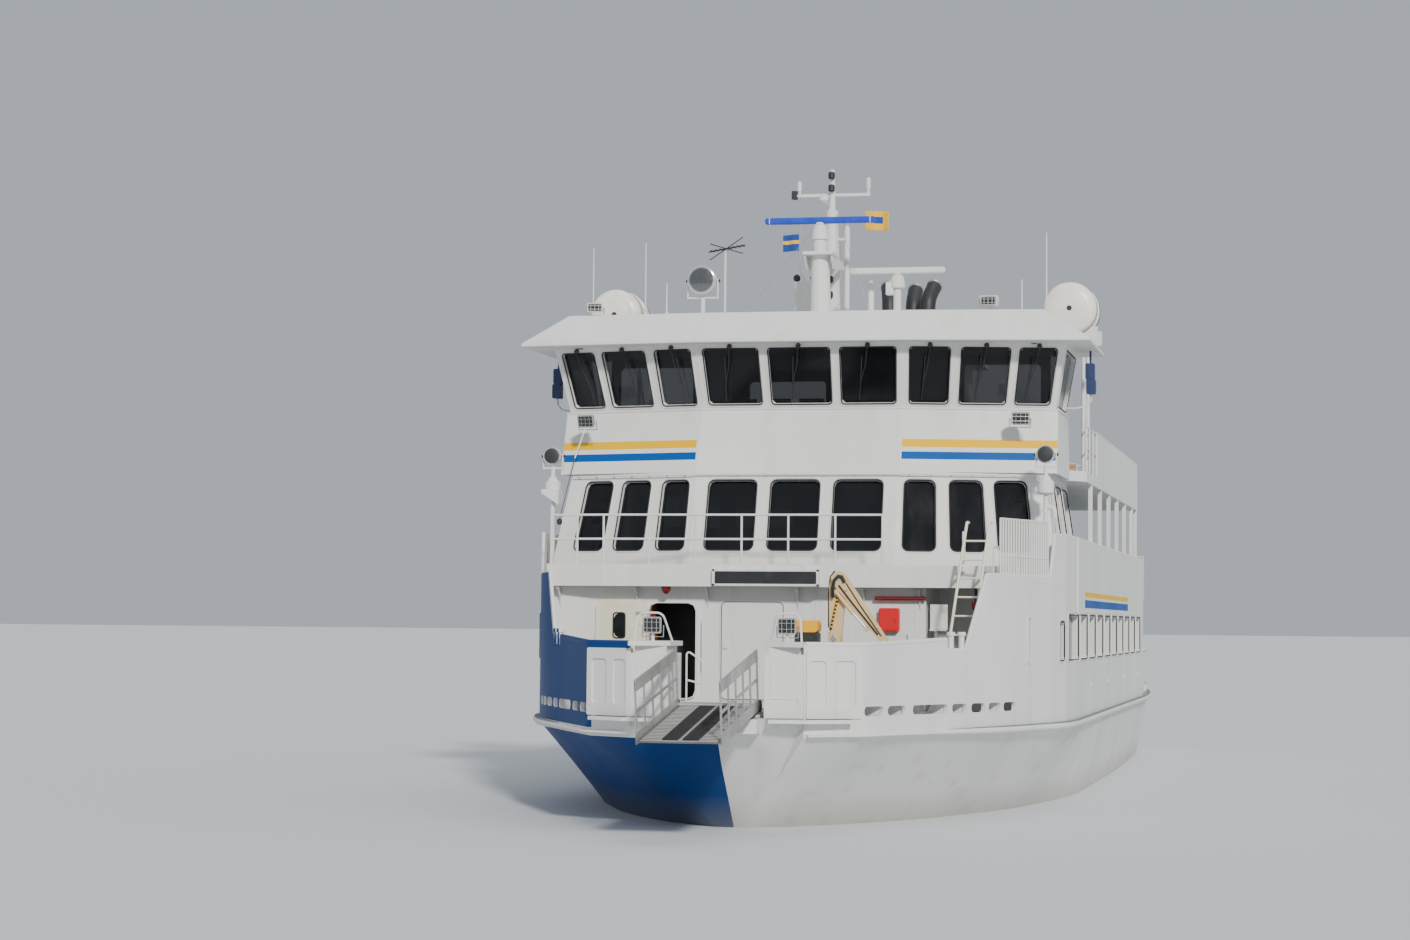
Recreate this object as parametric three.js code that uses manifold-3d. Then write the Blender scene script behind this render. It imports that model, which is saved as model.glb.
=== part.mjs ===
// An archipelago passenger ferry afloat, in millimetres.
// X runs forward to the bow, Y to port and Z up.
// The origin is amidships on the centreline at the waterline.
import * as THREE from "three";
import { mergeVertices } from "three/addons/utils/BufferGeometryUtils.js";
import Module from "manifold-3d";

const wasm = await Module();
wasm.setup();

// Driving dimensions
const GAP = 1; // clearance between pieces that touch on the real ship
const BOW_X = 17700; // flat face of the bow at deck level
const STERN_X = -18000;
const HALF_BEAM = 5000;
const HOUSE_DECK_Z = 1650; // main deck inside the house and aft
const FORE_DECK_Z = 1850; // working deck in the bow
const UPPER_DECK_Z = 4100;
const SUN_DECK_Z = 6350;
const DECK_PLATE = 90;
const SUN_PLATE = 200;
const WALL = 80; // cabin wall with its lining
const SIDE_WALL = 120; // main deck side with deep window reveals
const PLATE = 70; // bulwark with its stiffening
const HOUSE_FRONT_X = 12150;
const HOUSE_AFT_X = -11000;
const UPPER_FRONT_X = 11450; // foot of the raked front at upper deck level
const FRONT_RAKE = 0.3; // the front leans aft by this much for each unit of height
const UPPER_AFT_X = 5700;
const SILL_WINDOW_Z = 7330; // foot of the wheelhouse windows
const ROOF_EDGE_Z = 8540;
const ROOF_TOP_Z = 9150;
const WHEELHOUSE_WING_AFT_X = 7500;
const WHEELHOUSE_AFT_X = 4800;
const WHEELHOUSE_CORE_Y = 2500; // half width of the wheelhouse behind its wings

// Finishes
function finish(color, roughness, metalness = 0) {
  return new THREE.MeshStandardMaterial({ color, roughness, metalness });
}
const whitePaint = finish(0xf1f1ef, 0.35);
const bluePaint = finish(0x22436b, 0.35);
const darkGlass = finish(0x10151a, 0.08);
const rampMetal = finish(0xa3a29c, 0.5, 0.7);
const craneCream = finish(0xdcc594, 0.5);
const yellowPaint = finish(0xe8b616, 0.5);
const scannerBlue = finish(0x1b4fb5, 0.4);
const blackPaint = finish(0x1d1f22, 0.6);
const signBlack = finish(0x15181a, 0.3);
const seatFabric = finish(0x33507a, 0.9);
const bronze = finish(0xb08a4a, 0.35, 0.9);
const raftWhite = finish(0xf4f3ee, 0.45);
const lampGrey = finish(0x8f9498, 0.4, 0.6);

// Solids

function solid(geometry) {
  const bare = geometry.index ? geometry.toNonIndexed() : geometry.clone();
  bare.deleteAttribute("normal");
  bare.deleteAttribute("uv");
  const merged = mergeVertices(bare, 1e-2);
  return new wasm.Manifold(
    new wasm.Mesh({
      numProp: 3,
      vertProperties: merged.attributes.position.array,
      triVerts: new Uint32Array(merged.index.array),
    }),
  );
}

function join(list) {
  return list.reduce((all, one) => all.add(one));
}

function cut(body, list) {
  return list.reduce((all, one) => all.subtract(one), body);
}

function box(x0, x1, y0, y1, z0, z1) {
  const g = new THREE.BoxGeometry(x1 - x0, y1 - y0, z1 - z0);
  return solid(g.translate((x0 + x1) / 2, (y0 + y1) / 2, (z0 + z1) / 2));
}

// Extrudes an outline of [a, b] points: along z in plan, along y from the side, along x from the front.
function prism(outline, along, low, high) {
  const shape = new THREE.Shape(outline.map(([a, b]) => new THREE.Vector2(a, b)));
  const g = new THREE.ExtrudeGeometry(shape, { depth: high - low, bevelEnabled: false });
  g.translate(0, 0, low);
  const turn = new THREE.Matrix4();
  if (along === "x") turn.set(0, 0, 1, 0, 1, 0, 0, 0, 0, 1, 0, 0, 0, 0, 0, 1);
  if (along === "y") turn.set(1, 0, 0, 0, 0, 0, -1, 0, 0, 1, 0, 0, 0, 0, 0, 1);
  g.applyMatrix4(turn);
  if (along === "y") g.translate(0, low + high, 0);
  return solid(g);
}

function rod(from, to, radius, sides = 4, tipRadius = radius) {
  const a = new THREE.Vector3(...from);
  const b = new THREE.Vector3(...to);
  const g = new THREE.CylinderGeometry(tipRadius, radius, a.distanceTo(b), sides);
  g.applyQuaternion(
    new THREE.Quaternion().setFromUnitVectors(new THREE.Vector3(0, 1, 0), b.clone().sub(a).normalize()),
  );
  const middle = a.add(b).multiplyScalar(0.5);
  return solid(g.translate(middle.x, middle.y, middle.z));
}

// Triangles that close a ring of [x, y, z] points, found in the plane that the ring faces most.
function capFaces(ring) {
  const normal = new THREE.Vector3();
  ring.forEach((p, i) => {
    const q = ring[(i + 1) % ring.length];
    normal.add(new THREE.Vector3(...p).cross(new THREE.Vector3(...q)));
  });
  const sizes = normal.toArray().map(Math.abs);
  const drop = sizes.indexOf(Math.max(...sizes));
  const [a, b] = [1, 2, 0, 1].slice(drop, drop + 2);
  const flat = ring.map((p) => new THREE.Vector2(p[a], p[b]));
  const turned = THREE.ShapeUtils.area(flat) < 0;
  const order = ring.map((_, i) => (turned ? ring.length - 1 - i : i));
  const faces = THREE.ShapeUtils.triangulateShape(order.map((i) => flat[i]), []);
  return faces.map((face) => {
    const corners = face.map((i) => order[i]);
    return turned ? corners.toReversed() : corners;
  });
}

// Skins a row of rings, each a list of the same number of [x, y, z] points, and closes both ends.
function loft(rings) {
  const n = rings[0].length;
  const points = rings.flat(2);
  const faces = [];
  for (let r = 0; r + 1 < rings.length; r++) {
    for (let i = 0; i < n; i++) {
      const a = r * n + i;
      const b = r * n + ((i + 1) % n);
      faces.push(a, b, b + n, a, b + n, a + n);
    }
  }
  const last = (rings.length - 1) * n;
  for (const [a, b, c] of capFaces(rings[0])) faces.push(a, c, b);
  for (const [a, b, c] of capFaces(rings.at(-1))) faces.push(last + a, last + b, last + c);
  const g = new THREE.BufferGeometry();
  g.setAttribute("position", new THREE.Float32BufferAttribute(points, 3));
  g.setIndex(faces);
  const made = solid(g);
  if (made.volume() > 0) return made;
  g.setIndex(faces.reverse());
  return solid(g);
}

const mirrored = (body) => body.mirror([0, 1, 0]);

// A wall that stands on a path. Each post of the path is {x, y, foot, head, headX, headY}, where headX and
// headY let it lean. The wall's outer face is on the path, and its thickness goes inside, to the right of
// the way the path runs.
function wall(posts, thickness, inset = 0) {
  const lines = ["foot", "head"].map((end) =>
    posts.map((p) => (end === "foot" ? [p.x, p.y] : [p.headX ?? p.x, p.headY ?? p.y])),
  );
  const offset = (line, i, by) => {
    const way = (a, b) => {
      const d = Math.hypot(b[0] - a[0], b[1] - a[1]);
      return [(b[0] - a[0]) / d, (b[1] - a[1]) / d];
    };
    const before = i > 0 ? way(line[i - 1], line[i]) : way(line[i], line[i + 1]);
    const after = i + 1 < line.length ? way(line[i], line[i + 1]) : before;
    const normal = [before[1] + after[1], -before[0] - after[0]];
    const long = Math.hypot(...normal);
    const spread = (before[1] * normal[0] - before[0] * normal[1]) / long;
    return line[i].map((value, k) => value + (normal[k] / long) * (by / spread));
  };
  return loft(
    posts.map((p, i) => {
      const footOut = offset(lines[0], i, inset);
      const footIn = offset(lines[0], i, inset + thickness);
      const headOut = offset(lines[1], i, inset);
      const headIn = offset(lines[1], i, inset + thickness);
      return [
        [...footOut, p.foot],
        [...headOut, p.head],
        [...headIn, p.head],
        [...footIn, p.foot],
      ];
    }),
  );
}

// A window through the face between posts a and b of a wall, where u runs along the face and v up it,
// both from 0 to 1.
function windowThrough(a, b, u0, u1, v0, v1, radius) {
  const depth = 400;
  const smallRadius = 95;
  const at = (u, v) => {
    const foot = [a.x + (b.x - a.x) * u, a.y + (b.y - a.y) * u, a.foot + (b.foot - a.foot) * u];
    const headA = [a.headX ?? a.x, a.headY ?? a.y, a.head];
    const headB = [b.headX ?? b.x, b.headY ?? b.y, b.head];
    const head = headA.map((h, k) => h + (headB[k] - h) * u);
    return new THREE.Vector3(...foot.map((f, k) => f + (head[k] - f) * v));
  };
  const corners = [at(u0, v0), at(u1, v0), at(u1, v1), at(u0, v1)];
  const ring = [];
  corners.forEach((corner, i) => {
    const toLast = corners[(i + 3) % 4].clone().sub(corner).setLength(radius);
    const toNext = corners[(i + 1) % 4].clone().sub(corner).setLength(radius);
    for (const t of radius > smallRadius ? [0, 0.5, 1] : [0, 1]) {
      const angle = (t * Math.PI) / 2;
      ring.push(
        corner
          .clone()
          .addScaledVector(toLast, 1 - Math.sin(angle))
          .addScaledVector(toNext, 1 - Math.cos(angle)),
      );
    }
  });
  const along = corners[1].clone().sub(corners[0]);
  const across = along.cross(corners[3].clone().sub(corners[0])).setLength(depth);
  return loft([1, -1].map((side) => ring.map((p) => p.clone().addScaledVector(across, side).toArray())));
}

const ferry = new THREE.Group();

function add(name, body, material, group = ferry) {
  const m = body.getMesh();
  const positions = new Float32Array(m.numVert * 3);
  for (let i = 0; i < m.numVert; i++) {
    positions.set(m.vertProperties.subarray(i * m.numProp, i * m.numProp + 3), i * 3);
  }
  const g = new THREE.BufferGeometry();
  g.setAttribute("position", new THREE.BufferAttribute(positions, 3));
  g.setIndex(new THREE.BufferAttribute(new Uint32Array(m.triVerts), 1));
  const mesh = new THREE.Mesh(g.toNonIndexed(), material);
  mesh.geometry.computeVertexNormals();
  mesh.name = name;
  group.add(mesh);
  return mesh;
}

// Hull

const KNUCKLE_Z = 1550;
const BOW_FLAT_Y = 1430; // half width of the bow where it faces straight ahead
const BOW_CORNER = [17140, 2277]; // the bow's sides turn inwards here
const SHAFT_Y = 2000;
const SHAFT_Z = -1500;
const PROPELLER_X = -14500;
const RUDDER_X = -15900;

// Stations from stern to bow. lean is how far the keel lies aft of the deck there.
// Columns: x, lean, keelZ, bottomY, bottomZ, bilgeY, bilgeZ, waterY, deckY, deckZ
const stations = [
  [STERN_X, 0, -350, 2600, -300, 3900, -150, 4150, 4350, HOUSE_DECK_Z],
  [-16500, 0, -520, 2900, -450, 4100, -260, 4350, 4620, HOUSE_DECK_Z],
  [-13500, 0, -900, 3000, -800, 4250, -520, 4500, 4850, HOUSE_DECK_Z],
  [-9000, 0, -2100, 2600, -1750, 4300, -950, 4600, HALF_BEAM, HOUSE_DECK_Z],
  [-5000, 0, -2600, 2400, -2300, 4350, -1300, 4650, HALF_BEAM, HOUSE_DECK_Z],
  [4000, 0, -2600, 2200, -2300, 4200, -1350, 4620, HALF_BEAM, HOUSE_DECK_Z],
  [9000, 300, -2550, 1300, -2150, 3200, -1300, 4050, HALF_BEAM, HOUSE_DECK_Z],
  [10400, 450, -2510, 1040, -2090, 2770, -1280, 3740, 4930, HOUSE_DECK_Z],
  [11250, 570, -2480, 870, -2045, 2490, -1265, 3470, 4745, HOUSE_DECK_Z],
  [HOUSE_FRONT_X, 700, -2450, 700, -2000, 2200, -1250, 3150, 4475, HOUSE_DECK_Z],
  [HOUSE_FRONT_X + 10, 700, -2450, 700, -2000, 2200, -1250, 3145, 4472, FORE_DECK_Z],
  [13300, 1000, -2400, 500, -1950, 1850, -1200, 2750, 4090, FORE_DECK_Z],
  [14600, 1500, -2300, 350, -1850, 1350, -1150, 2200, 3500, FORE_DECK_Z],
  [16150, 2200, -2130, 210, -1680, 780, -1040, 1400, 2760, FORE_DECK_Z],
  [BOW_CORNER[0], 2700, -1910, 145, -1470, 405, -930, 740, BOW_CORNER[1], FORE_DECK_Z],
  [BOW_X, 3000, -1750, 120, -1350, 220, -850, 300, BOW_FLAT_Y, FORE_DECK_Z],
];

function hullRing([x, lean, keelZ, bottomY, bottomZ, bilgeY, bilgeZ, waterY, deckY, deckZ]) {
  const side = [
    [120, keelZ],
    [bottomY, bottomZ],
    [bilgeY, bilgeZ],
    [waterY, 0],
    [deckY, KNUCKLE_Z],
    [deckY, deckZ],
  ];
  const port = side.map(([y, z]) => {
    const aft = z >= KNUCKLE_Z ? 0 : (lean * (deckZ - z)) / (deckZ - keelZ);
    return [x - aft, y, z];
  });
  return [...port, ...port.toReversed().map(([a, b, c]) => [a, -b, c])];
}

// Plan of the deck edge on the port side from stern to bow.
const deckEdge = stations.map((s) => [s[0], s[8]]);

function rubbingStrake() {
  const proud = 100;
  const foot = 1510;
  const head = 1640;
  const path = deckEdge
    .filter(([x]) => x < BOW_X - 100)
    .map(([x, y]) => ({ x, y: y + proud, foot, head }));
  path.push({ x: BOW_X + 50, y: BOW_FLAT_Y + 50, foot: foot + 50, head: head - 20 });
  return wall(path, proud + 50);
}

// A pair of mooring posts on a foot plate
function bitts(x, y, z) {
  const reach = 280;
  const height = 420;
  const posts = [-reach, reach].map((dx) => rod([x + dx, y, z], [x + dx, y, z + height], 95, 10));
  return join([box(x - 450, x + 450, y - 150, y + 150, z - 20, z + 40), ...posts]);
}

const SILL_END_X = BOW_X - 270;
const NOSE_Z = 1840;
const LEDGE_X = BOW_X + 250;
const BITTS = [[14700, 2800, FORE_DECK_Z], [-16400, 3500, HOUSE_DECK_Z]];

function hull() {
  const body = loft(stations.map(hullRing));
  const innerRampX = SILL_END_X - 1400;
  const innerRampSide = [[innerRampX, 1800], [SILL_END_X, 1800], [SILL_END_X, 1960], [innerRampX, 1855]];
  const innerRamp = prism(innerRampSide, "y", -760, 760);
  const nose = box(BOW_X - 400, BOW_X + 200, -700, 700, 1600, NOSE_Z);
  const slot = box(SILL_END_X, BOW_X + 10, -770, 770, NOSE_Z, FORE_DECK_Z + 10);
  const ledgePlan = [[BOW_X - 20, 800], [LEDGE_X, 900], [LEDGE_X, 1500], [BOW_X - 250, 2190], [BOW_X - 460, 2100]];
  const ledge = prism(ledgePlan, "z", NOSE_Z - 70, NOSE_Z);
  const skegSide = [[-9500, -1900], [-9500, -2550], [-13200, -2300], [-14300, -700], [-12500, -800]];
  const skeg = prism(skegSide, "y", -120, 120);
  const shaft = rod([-9200, SHAFT_Y, -1350], [PROPELLER_X + 215, SHAFT_Y, SHAFT_Z], 110, 10);
  const struts = [-550, 550].map((dy) =>
    rod([PROPELLER_X + 520, SHAFT_Y, SHAFT_Z], [PROPELLER_X + 700, SHAFT_Y + dy, -650], 60),
  );
  const moorings = BITTS.map((place) => bitts(...place));
  const port = join([ledge, shaft, ...struts, rubbingStrake(), ...moorings]);
  return join([cut(body, [slot]), innerRamp, nose, skeg, port, mirrored(port)]);
}
add("hull", hull(), whitePaint);

// Bow plating, blocks and gangway ramp

const BULWARK_Z = 3030;
const BLOCK_OUT_Y = 1420;
const WING_Z = 4230;
const bowPlan = [
  [HOUSE_FRONT_X + 12, 4471],
  [13300, 4090],
  [14600, 3500],
  [16150, 2760],
  BOW_CORNER,
  [BOW_X, BOW_FLAT_Y],
];

// Freeing ports in the bow plating. Columns: aft x, fore x
const freeingPorts = [
  [16600, 17080],
  [16030, 16490],
  [14900, 15840],
  [14370, 14770],
  [13840, 14230],
  [13350, 13730],
  [12810, 13250],
];

// A rounded opening through a wall that stands upright on a plan path of rising x.
function opening(path, x0, x1, z0, z1, radius) {
  const k = path.findIndex(([x]) => x >= x1);
  const [ax, ay] = path[k - 1];
  const [bx, by] = path[k];
  const on = (x) => ({ x, y: ay + ((by - ay) * (x - ax)) / (bx - ax), foot: z0, head: z1 });
  return windowThrough(on(x0), on(x1), 0, 1, 0, 1, radius);
}

function bowPlating() {
  const on = (x) => {
    const k = bowPlan.findIndex(([px]) => px >= x);
    const [ax, ay] = bowPlan[Math.max(k - 1, 0)];
    const [bx, by] = bowPlan[Math.max(k, 1)];
    return ay + ((by - ay) * (x - ax)) / (bx - ax);
  };
  // Columns: x, top z. The plating steps up by a slanted edge from a mooring notch to the wing wall.
  const notchZ = 2945;
  const notchFore = 14905;
  const tops = [
    [HOUSE_FRONT_X + 12, WING_Z],
    [13300, WING_Z],
    [13760, WING_Z],
    [14370, notchZ],
    [14900, notchZ],
    [notchFore, BULWARK_Z + 80],
    [16150, BULWARK_Z + 35],
    [BOW_CORNER[0], BULWARK_Z],
    [BOW_X, BULWARK_Z],
  ];
  const posts = tops.map(([x, head]) => ({ x, y: on(x), foot: FORE_DECK_Z + GAP, head }));
  const plating = wall(posts, PLATE);
  const ports = freeingPorts.map(([x0, x1]) => opening(bowPlan, x0, x1, 1885, 2040, 70));
  const mooringSlot = opening(bowPlan, 12200, 12330, 2720, 3480, 50);
  const capPosts = posts.slice(5, 8);
  const capRail = capPosts.slice(1).map((p, i) => {
    const q = capPosts[i];
    return rod([q.x, q.y - 40, q.head], [p.x, p.y - 40, p.head], 45);
  });
  const bracketTop = 2500;
  const brackets = [16545, 15935, 14835, 14300, 13300].map((x) =>
    box(x - 8, x + 8, on(x) - 380, on(x) - 30, FORE_DECK_Z + GAP, bracketTop),
  );
  const pocket = panelAt(-60, 90, 2040, 2770);
  const blockSpace = box(BOW_X - 1000, BOW_X + 200, 0, BLOCK_OUT_Y + GAP, 0, WING_Z);
  const houseSpace = box(HOUSE_FRONT_X - 100, HOUSE_FRONT_X + 12, 0, HALF_BEAM, 0, WING_Z + 100);
  const openings = [...ports, mooringSlot, pocket(0.075, 0.367), pocket(0.522, 0.876)];
  return cut(join([plating, ...capRail, ...brackets, bowPanel()]), [...openings, blockSpace, houseSpace]);
}

const PANEL_LONG = Math.hypot(BOW_X - BOW_CORNER[0], BOW_CORNER[1] - BOW_FLAT_Y);

// Makes boxes set along the turned bow face, between shares of its length from the flat bow outwards.
// in0 and in1 are depths inwards from the face.
function panelAt(in0, in1, z0, z1) {
  const turn = THREE.MathUtils.radToDeg(Math.atan2(BOW_CORNER[1] - BOW_FLAT_Y, BOW_CORNER[0] - BOW_X));
  return (from, to) =>
    box(from * PANEL_LONG, to * PANEL_LONG, in0, in1, z0, z1)
      .rotate([0, 0, turn])
      .translate([BOW_X, BOW_FLAT_Y, 0]);
}

// Thick frame on the turned bow face, a little proud of the plating
function bowPanel() {
  return panelAt(-30, 150, FORE_DECK_Z + GAP, BULWARK_Z - 90)(0.03, 0.985);
}

// Cage of upright bars that stands on the port plating and goes on over the side of the house
function portCage() {
  const line = [[13290, 4052], [HOUSE_FRONT_X, 4430], [11330, 4672]];
  const counts = [9, 6];
  const bars = [];
  line.slice(1).forEach((end, i) => {
    const start = line[i];
    for (const z of [4560, 5200]) bars.push(rod([...start, z], [...end, z], 20));
    for (let k = i === 0 ? 0 : 1; k <= counts[i]; k++) {
      const [x, y] = start.map((c, j) => c + ((end[j] - c) * k) / counts[i]);
      const foot = x > HOUSE_FRONT_X + 40 ? WING_Z - 10 : WING_Z + 2;
      bars.push(rod([x, y, foot], [x, y, 5210], 18));
    }
  });
  return join(bars);
}
add("bow_plating_port", join([bowPlating(), portCage()]), whitePaint);
add("bow_plating_starboard", mirrored(bowPlating()), bluePaint);

const BLOCK_IN_Y = 780;

function bowBlock() {
  const block = box(BOW_X - 900, BOW_X, BLOCK_IN_Y, BLOCK_OUT_Y, FORE_DECK_Z + GAP, 2870);
  const neck = box(BOW_X - 850, BOW_X - 60, BLOCK_IN_Y + 60, BLOCK_OUT_Y - 60, 2860, 3000);
  const platformPlan = [
    [BOW_X - 1000, BLOCK_IN_Y],
    [BOW_X - 80, BLOCK_IN_Y],
    [BOW_X + 170, BLOCK_OUT_Y],
    [BOW_X - 1000, BLOCK_OUT_Y],
  ];
  const platform = prism(platformPlan, "z", 2990, 3065);
  const hoop = [
    [-420, BLOCK_IN_Y + 40, 3050],
    [-160, BLOCK_IN_Y + 150, 3520],
    [-160, BLOCK_OUT_Y - 90, 3520],
    [-60, BLOCK_OUT_Y - 40, 3050],
  ].map(([x, y, z]) => [BOW_X + x, y, z]);
  const guard = hoop.slice(1).map((p, i) => rod(hoop[i], p, 18));
  const lamp = box(BOW_X - 300, BOW_X - 190, 980, 1240, 3190, 3420);
  const lampFoot = box(BOW_X - 270, BOW_X - 220, 1090, 1130, 3050, 3200);
  return join([block, neck, platform, ...guard, lamp, lampFoot]);
}
add("bow_block_port", bowBlock(), whitePaint);
add("bow_block_starboard", mirrored(bowBlock()), whitePaint);

const RAMP_HINGE = [BOW_X - 200, 0, 2040];
const RAMP_LENGTH = 2960;
const RAMP_SLOPE_DEG = 9.33;
const RAMP_HALF_WIDTH = 650;
const RAIL_HEIGHT = 920;
const RAMP_POSTS_X = [60, 620, 1180, 1740, 2300, 2860];

// The ramp is drawn level, from its hinge along x, and then tipped to where it lies on the quay.
function ramp() {
  const deckSide = [[0, -70], [2450, -70], [RAMP_LENGTH, -18], [RAMP_LENGTH, 0], [0, 0]];
  const deck = prism(deckSide, "y", -RAMP_HALF_WIDTH, RAMP_HALF_WIDTH);
  const barrel = rod([0, -RAMP_HALF_WIDTH, 0], [0, RAMP_HALF_WIDTH, 0], 45, 10);
  const sides = [1, -1].flatMap((s) => {
    const y0 = s > 0 ? RAMP_HALF_WIDTH - 5 : -RAMP_HALF_WIDTH - 25;
    const posts = RAMP_POSTS_X.map((x) => box(x, x + 45, y0, y0 + 30, -60, RAIL_HEIGHT));
    return [
      ...posts,
      box(60, 2905, y0 + 2, y0 + 28, RAIL_HEIGHT - 170, RAIL_HEIGHT + 10),
      box(60, 2905, y0 + 5, y0 + 25, 420, 470),
      box(40, 2905, y0 + 3, y0 + 27, -60, 120),
    ];
  });
  return join([deck, barrel, ...sides]).rotate([0, RAMP_SLOPE_DEG, 0]).translate(RAMP_HINGE);
}
add("gangway_ramp", ramp(), rampMetal);

// Main deck house

const BULKHEAD_PORT_Y = 2600;
const BULKHEAD_STARBOARD_Y = -4330;
const RECESS_X = 10900;
const MAIN_HEAD_Z = UPPER_DECK_Z - DECK_PLATE - GAP;
const DOOR_HINGE_Y = -2470;
const DOOR_WIDTH = 950;
const DOOR_TOP_Z = 3770;
const SIDE_Y = 4990;

// The side of the house is straight and then curves in towards the bow.
const foreCurve = [
  [9000, SIDE_Y],
  [10400, 4920],
  [11250, 4735],
];

const sidePlan = [
  [HOUSE_AFT_X, 4905],
  [-9000, SIDE_Y],
  ...foreCurve,
  [HOUSE_FRONT_X - GAP, 4465],
];

function upright(plan, foot, head) {
  return plan.map(([x, y]) => ({ x, y, foot, head }));
}

function frontBulkhead() {
  const plan = [
    [RECESS_X, 4670],
    [RECESS_X, BULKHEAD_PORT_Y + 60],
    [HOUSE_FRONT_X, BULKHEAD_PORT_Y],
    [HOUSE_FRONT_X, BULKHEAD_STARBOARD_Y],
  ];
  const posts = upright(plan, FORE_DECK_Z + GAP, MAIN_HEAD_Z);
  const shell = wall(posts, WALL);
  const lower = wall(upright(plan, HOUSE_DECK_Z + GAP, FORE_DECK_Z + 20), WALL);
  const y0 = DOOR_HINGE_Y + 30;
  const y1 = DOOR_HINGE_Y + DOOR_WIDTH - 50;
  const z0 = FORE_DECK_Z + 150;
  const z1 = DOOR_TOP_Z - 60;
  const rim = 22;
  const x = HOUSE_FRONT_X;
  const doorway = prism(roundedRect(y0, y1, z0, z1, 140), "x", x - 300, x + 100);
  const coaming = prism(roundedRect(y0 - rim, y1 + rim, z0 - rim, z1 + rim, 160), "x", x - 10, x + 50);
  return cut(join([shell, lower, coaming]), [doorway]);
}

function roundedRect(a0, a1, b0, b1, r, steps = 2) {
  const ring = [];
  const corners = [
    [a1 - r, b0 + r, -90],
    [a1 - r, b1 - r, 0],
    [a0 + r, b1 - r, 90],
    [a0 + r, b0 + r, 180],
  ];
  for (const [a, b, start] of corners) {
    for (let i = 0; i <= steps; i++) {
      const angle = THREE.MathUtils.degToRad(start + (90 * i) / steps);
      ring.push([a + r * Math.cos(angle), b + r * Math.sin(angle)]);
    }
  }
  return ring;
}
add("front_bulkhead", frontBulkhead(), whitePaint);

// The bow door stands folded right back against the bulkhead.
function bowDoor() {
  const y0 = DOOR_HINGE_Y - 10 - DOOR_WIDTH;
  const y1 = DOOR_HINGE_Y - 10;
  const x = HOUSE_FRONT_X;
  const leaf = prism(roundedRect(y0, y1, FORE_DECK_Z + 110, DOOR_TOP_Z, 120), "x", x + 8, x + 53);
  const light = prism(roundedRect(y0 + 340, y1 - 190, 3080, 3520, 100), "x", x, x + 60);
  return cut(leaf, [light]);
}
add("bow_door", bowDoor(), craneCream);

const BAY_COUNT = 10;
const BAY_PITCH = 1900;
const BAY_FORE_X = 10160;
const PILLAR = 420;

function mainSide() {
  const bays = [];
  for (let i = 0; i < BAY_COUNT; i++) {
    const fore = BAY_FORE_X - i * BAY_PITCH;
    bays.push(opening(sidePlan, fore - BAY_PITCH + PILLAR, fore, 2740, 3560, 60));
  }
  const foreWindow = opening(sidePlan, 10500, 10780, 2740, 3430, 60);
  return cut(wall(upright(sidePlan, HOUSE_DECK_Z + GAP, MAIN_HEAD_Z), SIDE_WALL), [...bays, foreWindow]);
}
add("main_side_port", mainSide(), whitePaint);
add("main_side_starboard", mirrored(mainSide()), whitePaint);

function mainGlass() {
  const plan = [[-8950, SIDE_Y], ...foreCurve.slice(0, 2), [10812, 4830]];
  return wall(upright(plan, 2660, 3640), 12, SIDE_WALL + GAP);
}
add("main_glass_port", mainGlass(), darkGlass);
add("main_glass_starboard", mirrored(mainGlass()), darkGlass);

const AFT_DOOR_HALF_Y = 450;

// An upright wall across the ship that faces aft, with one doorway and a window each side of it.
function aftWall(x, halfY, foot, head, windows) {
  const reach = [x - 50, x + 200];
  const doorway = box(...reach, -AFT_DOOR_HALF_Y, AFT_DOOR_HALF_Y, foot + 120, foot + 1930);
  const panes = windows.map(([y0, y1]) =>
    prism(roundedRect(y0, y1, foot + 1000, foot + 1850, 100), "x", ...reach),
  );
  return cut(box(x, x + WALL, -halfY, halfY, foot, head), [doorway, ...panes]);
}

// A hinged leaf that closes a doorway from outside, on the aft side of a wall.
function aftDoor(x, y0, y1, foot) {
  const leaf = prism(roundedRect(y0 - 40, y1 + 40, foot + 85, foot + 1965, 90), "x", x - 50, x - 6);
  const light = prism(roundedRect(y0 + 180, y1 - 180, foot + 1200, foot + 1750, 90), "x", x - 60, x);
  return cut(leaf, [light]);
}

const MAIN_AFT_WINDOWS = [[-3900, -2900], [-2500, -1500], [1500, 2500], [2900, 3900]];
const mainAftWall = aftWall(HOUSE_AFT_X, 4780, HOUSE_DECK_Z + GAP, MAIN_HEAD_Z, MAIN_AFT_WINDOWS);
add("main_aft_wall", mainAftWall, whitePaint);
add("main_aft_door", aftDoor(HOUSE_AFT_X, -AFT_DOOR_HALF_Y, AFT_DOOR_HALF_Y, HOUSE_DECK_Z), craneCream);

// Upper deck

const UPPER_EDGE_AFT_X = -11700;
const CASING_X = [-4700, -2500];
const CASING_HALF_Y = 850;
const FASCIA_TOP_Z = 4400;

function railing(points, foot, height, posts, radius = 20) {
  const made = [];
  points.slice(1).forEach(([x1, y1], i) => {
    const [x0, y0] = points[i];
    for (const z of [foot + height, foot + height * 0.5]) made.push(rod([x0, y0, z], [x1, y1, z], radius));
    const count = posts[i];
    for (let k = i === 0 ? 0 : 1; k <= count; k++) {
      const x = x0 + ((x1 - x0) * k) / count;
      const y = y0 + ((y1 - y0) * k) / count;
      made.push(rod([x, y, foot - 20], [x, y, foot + height + radius * 0.8], radius + 1));
    }
  });
  return join(made);
}

// Forward edge of the upper deck in plan, from port to starboard
const FASCIA_PLAN = [[12400, 4305], [12600, 3210], [12600, -3210], [12400, -4305]];

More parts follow.
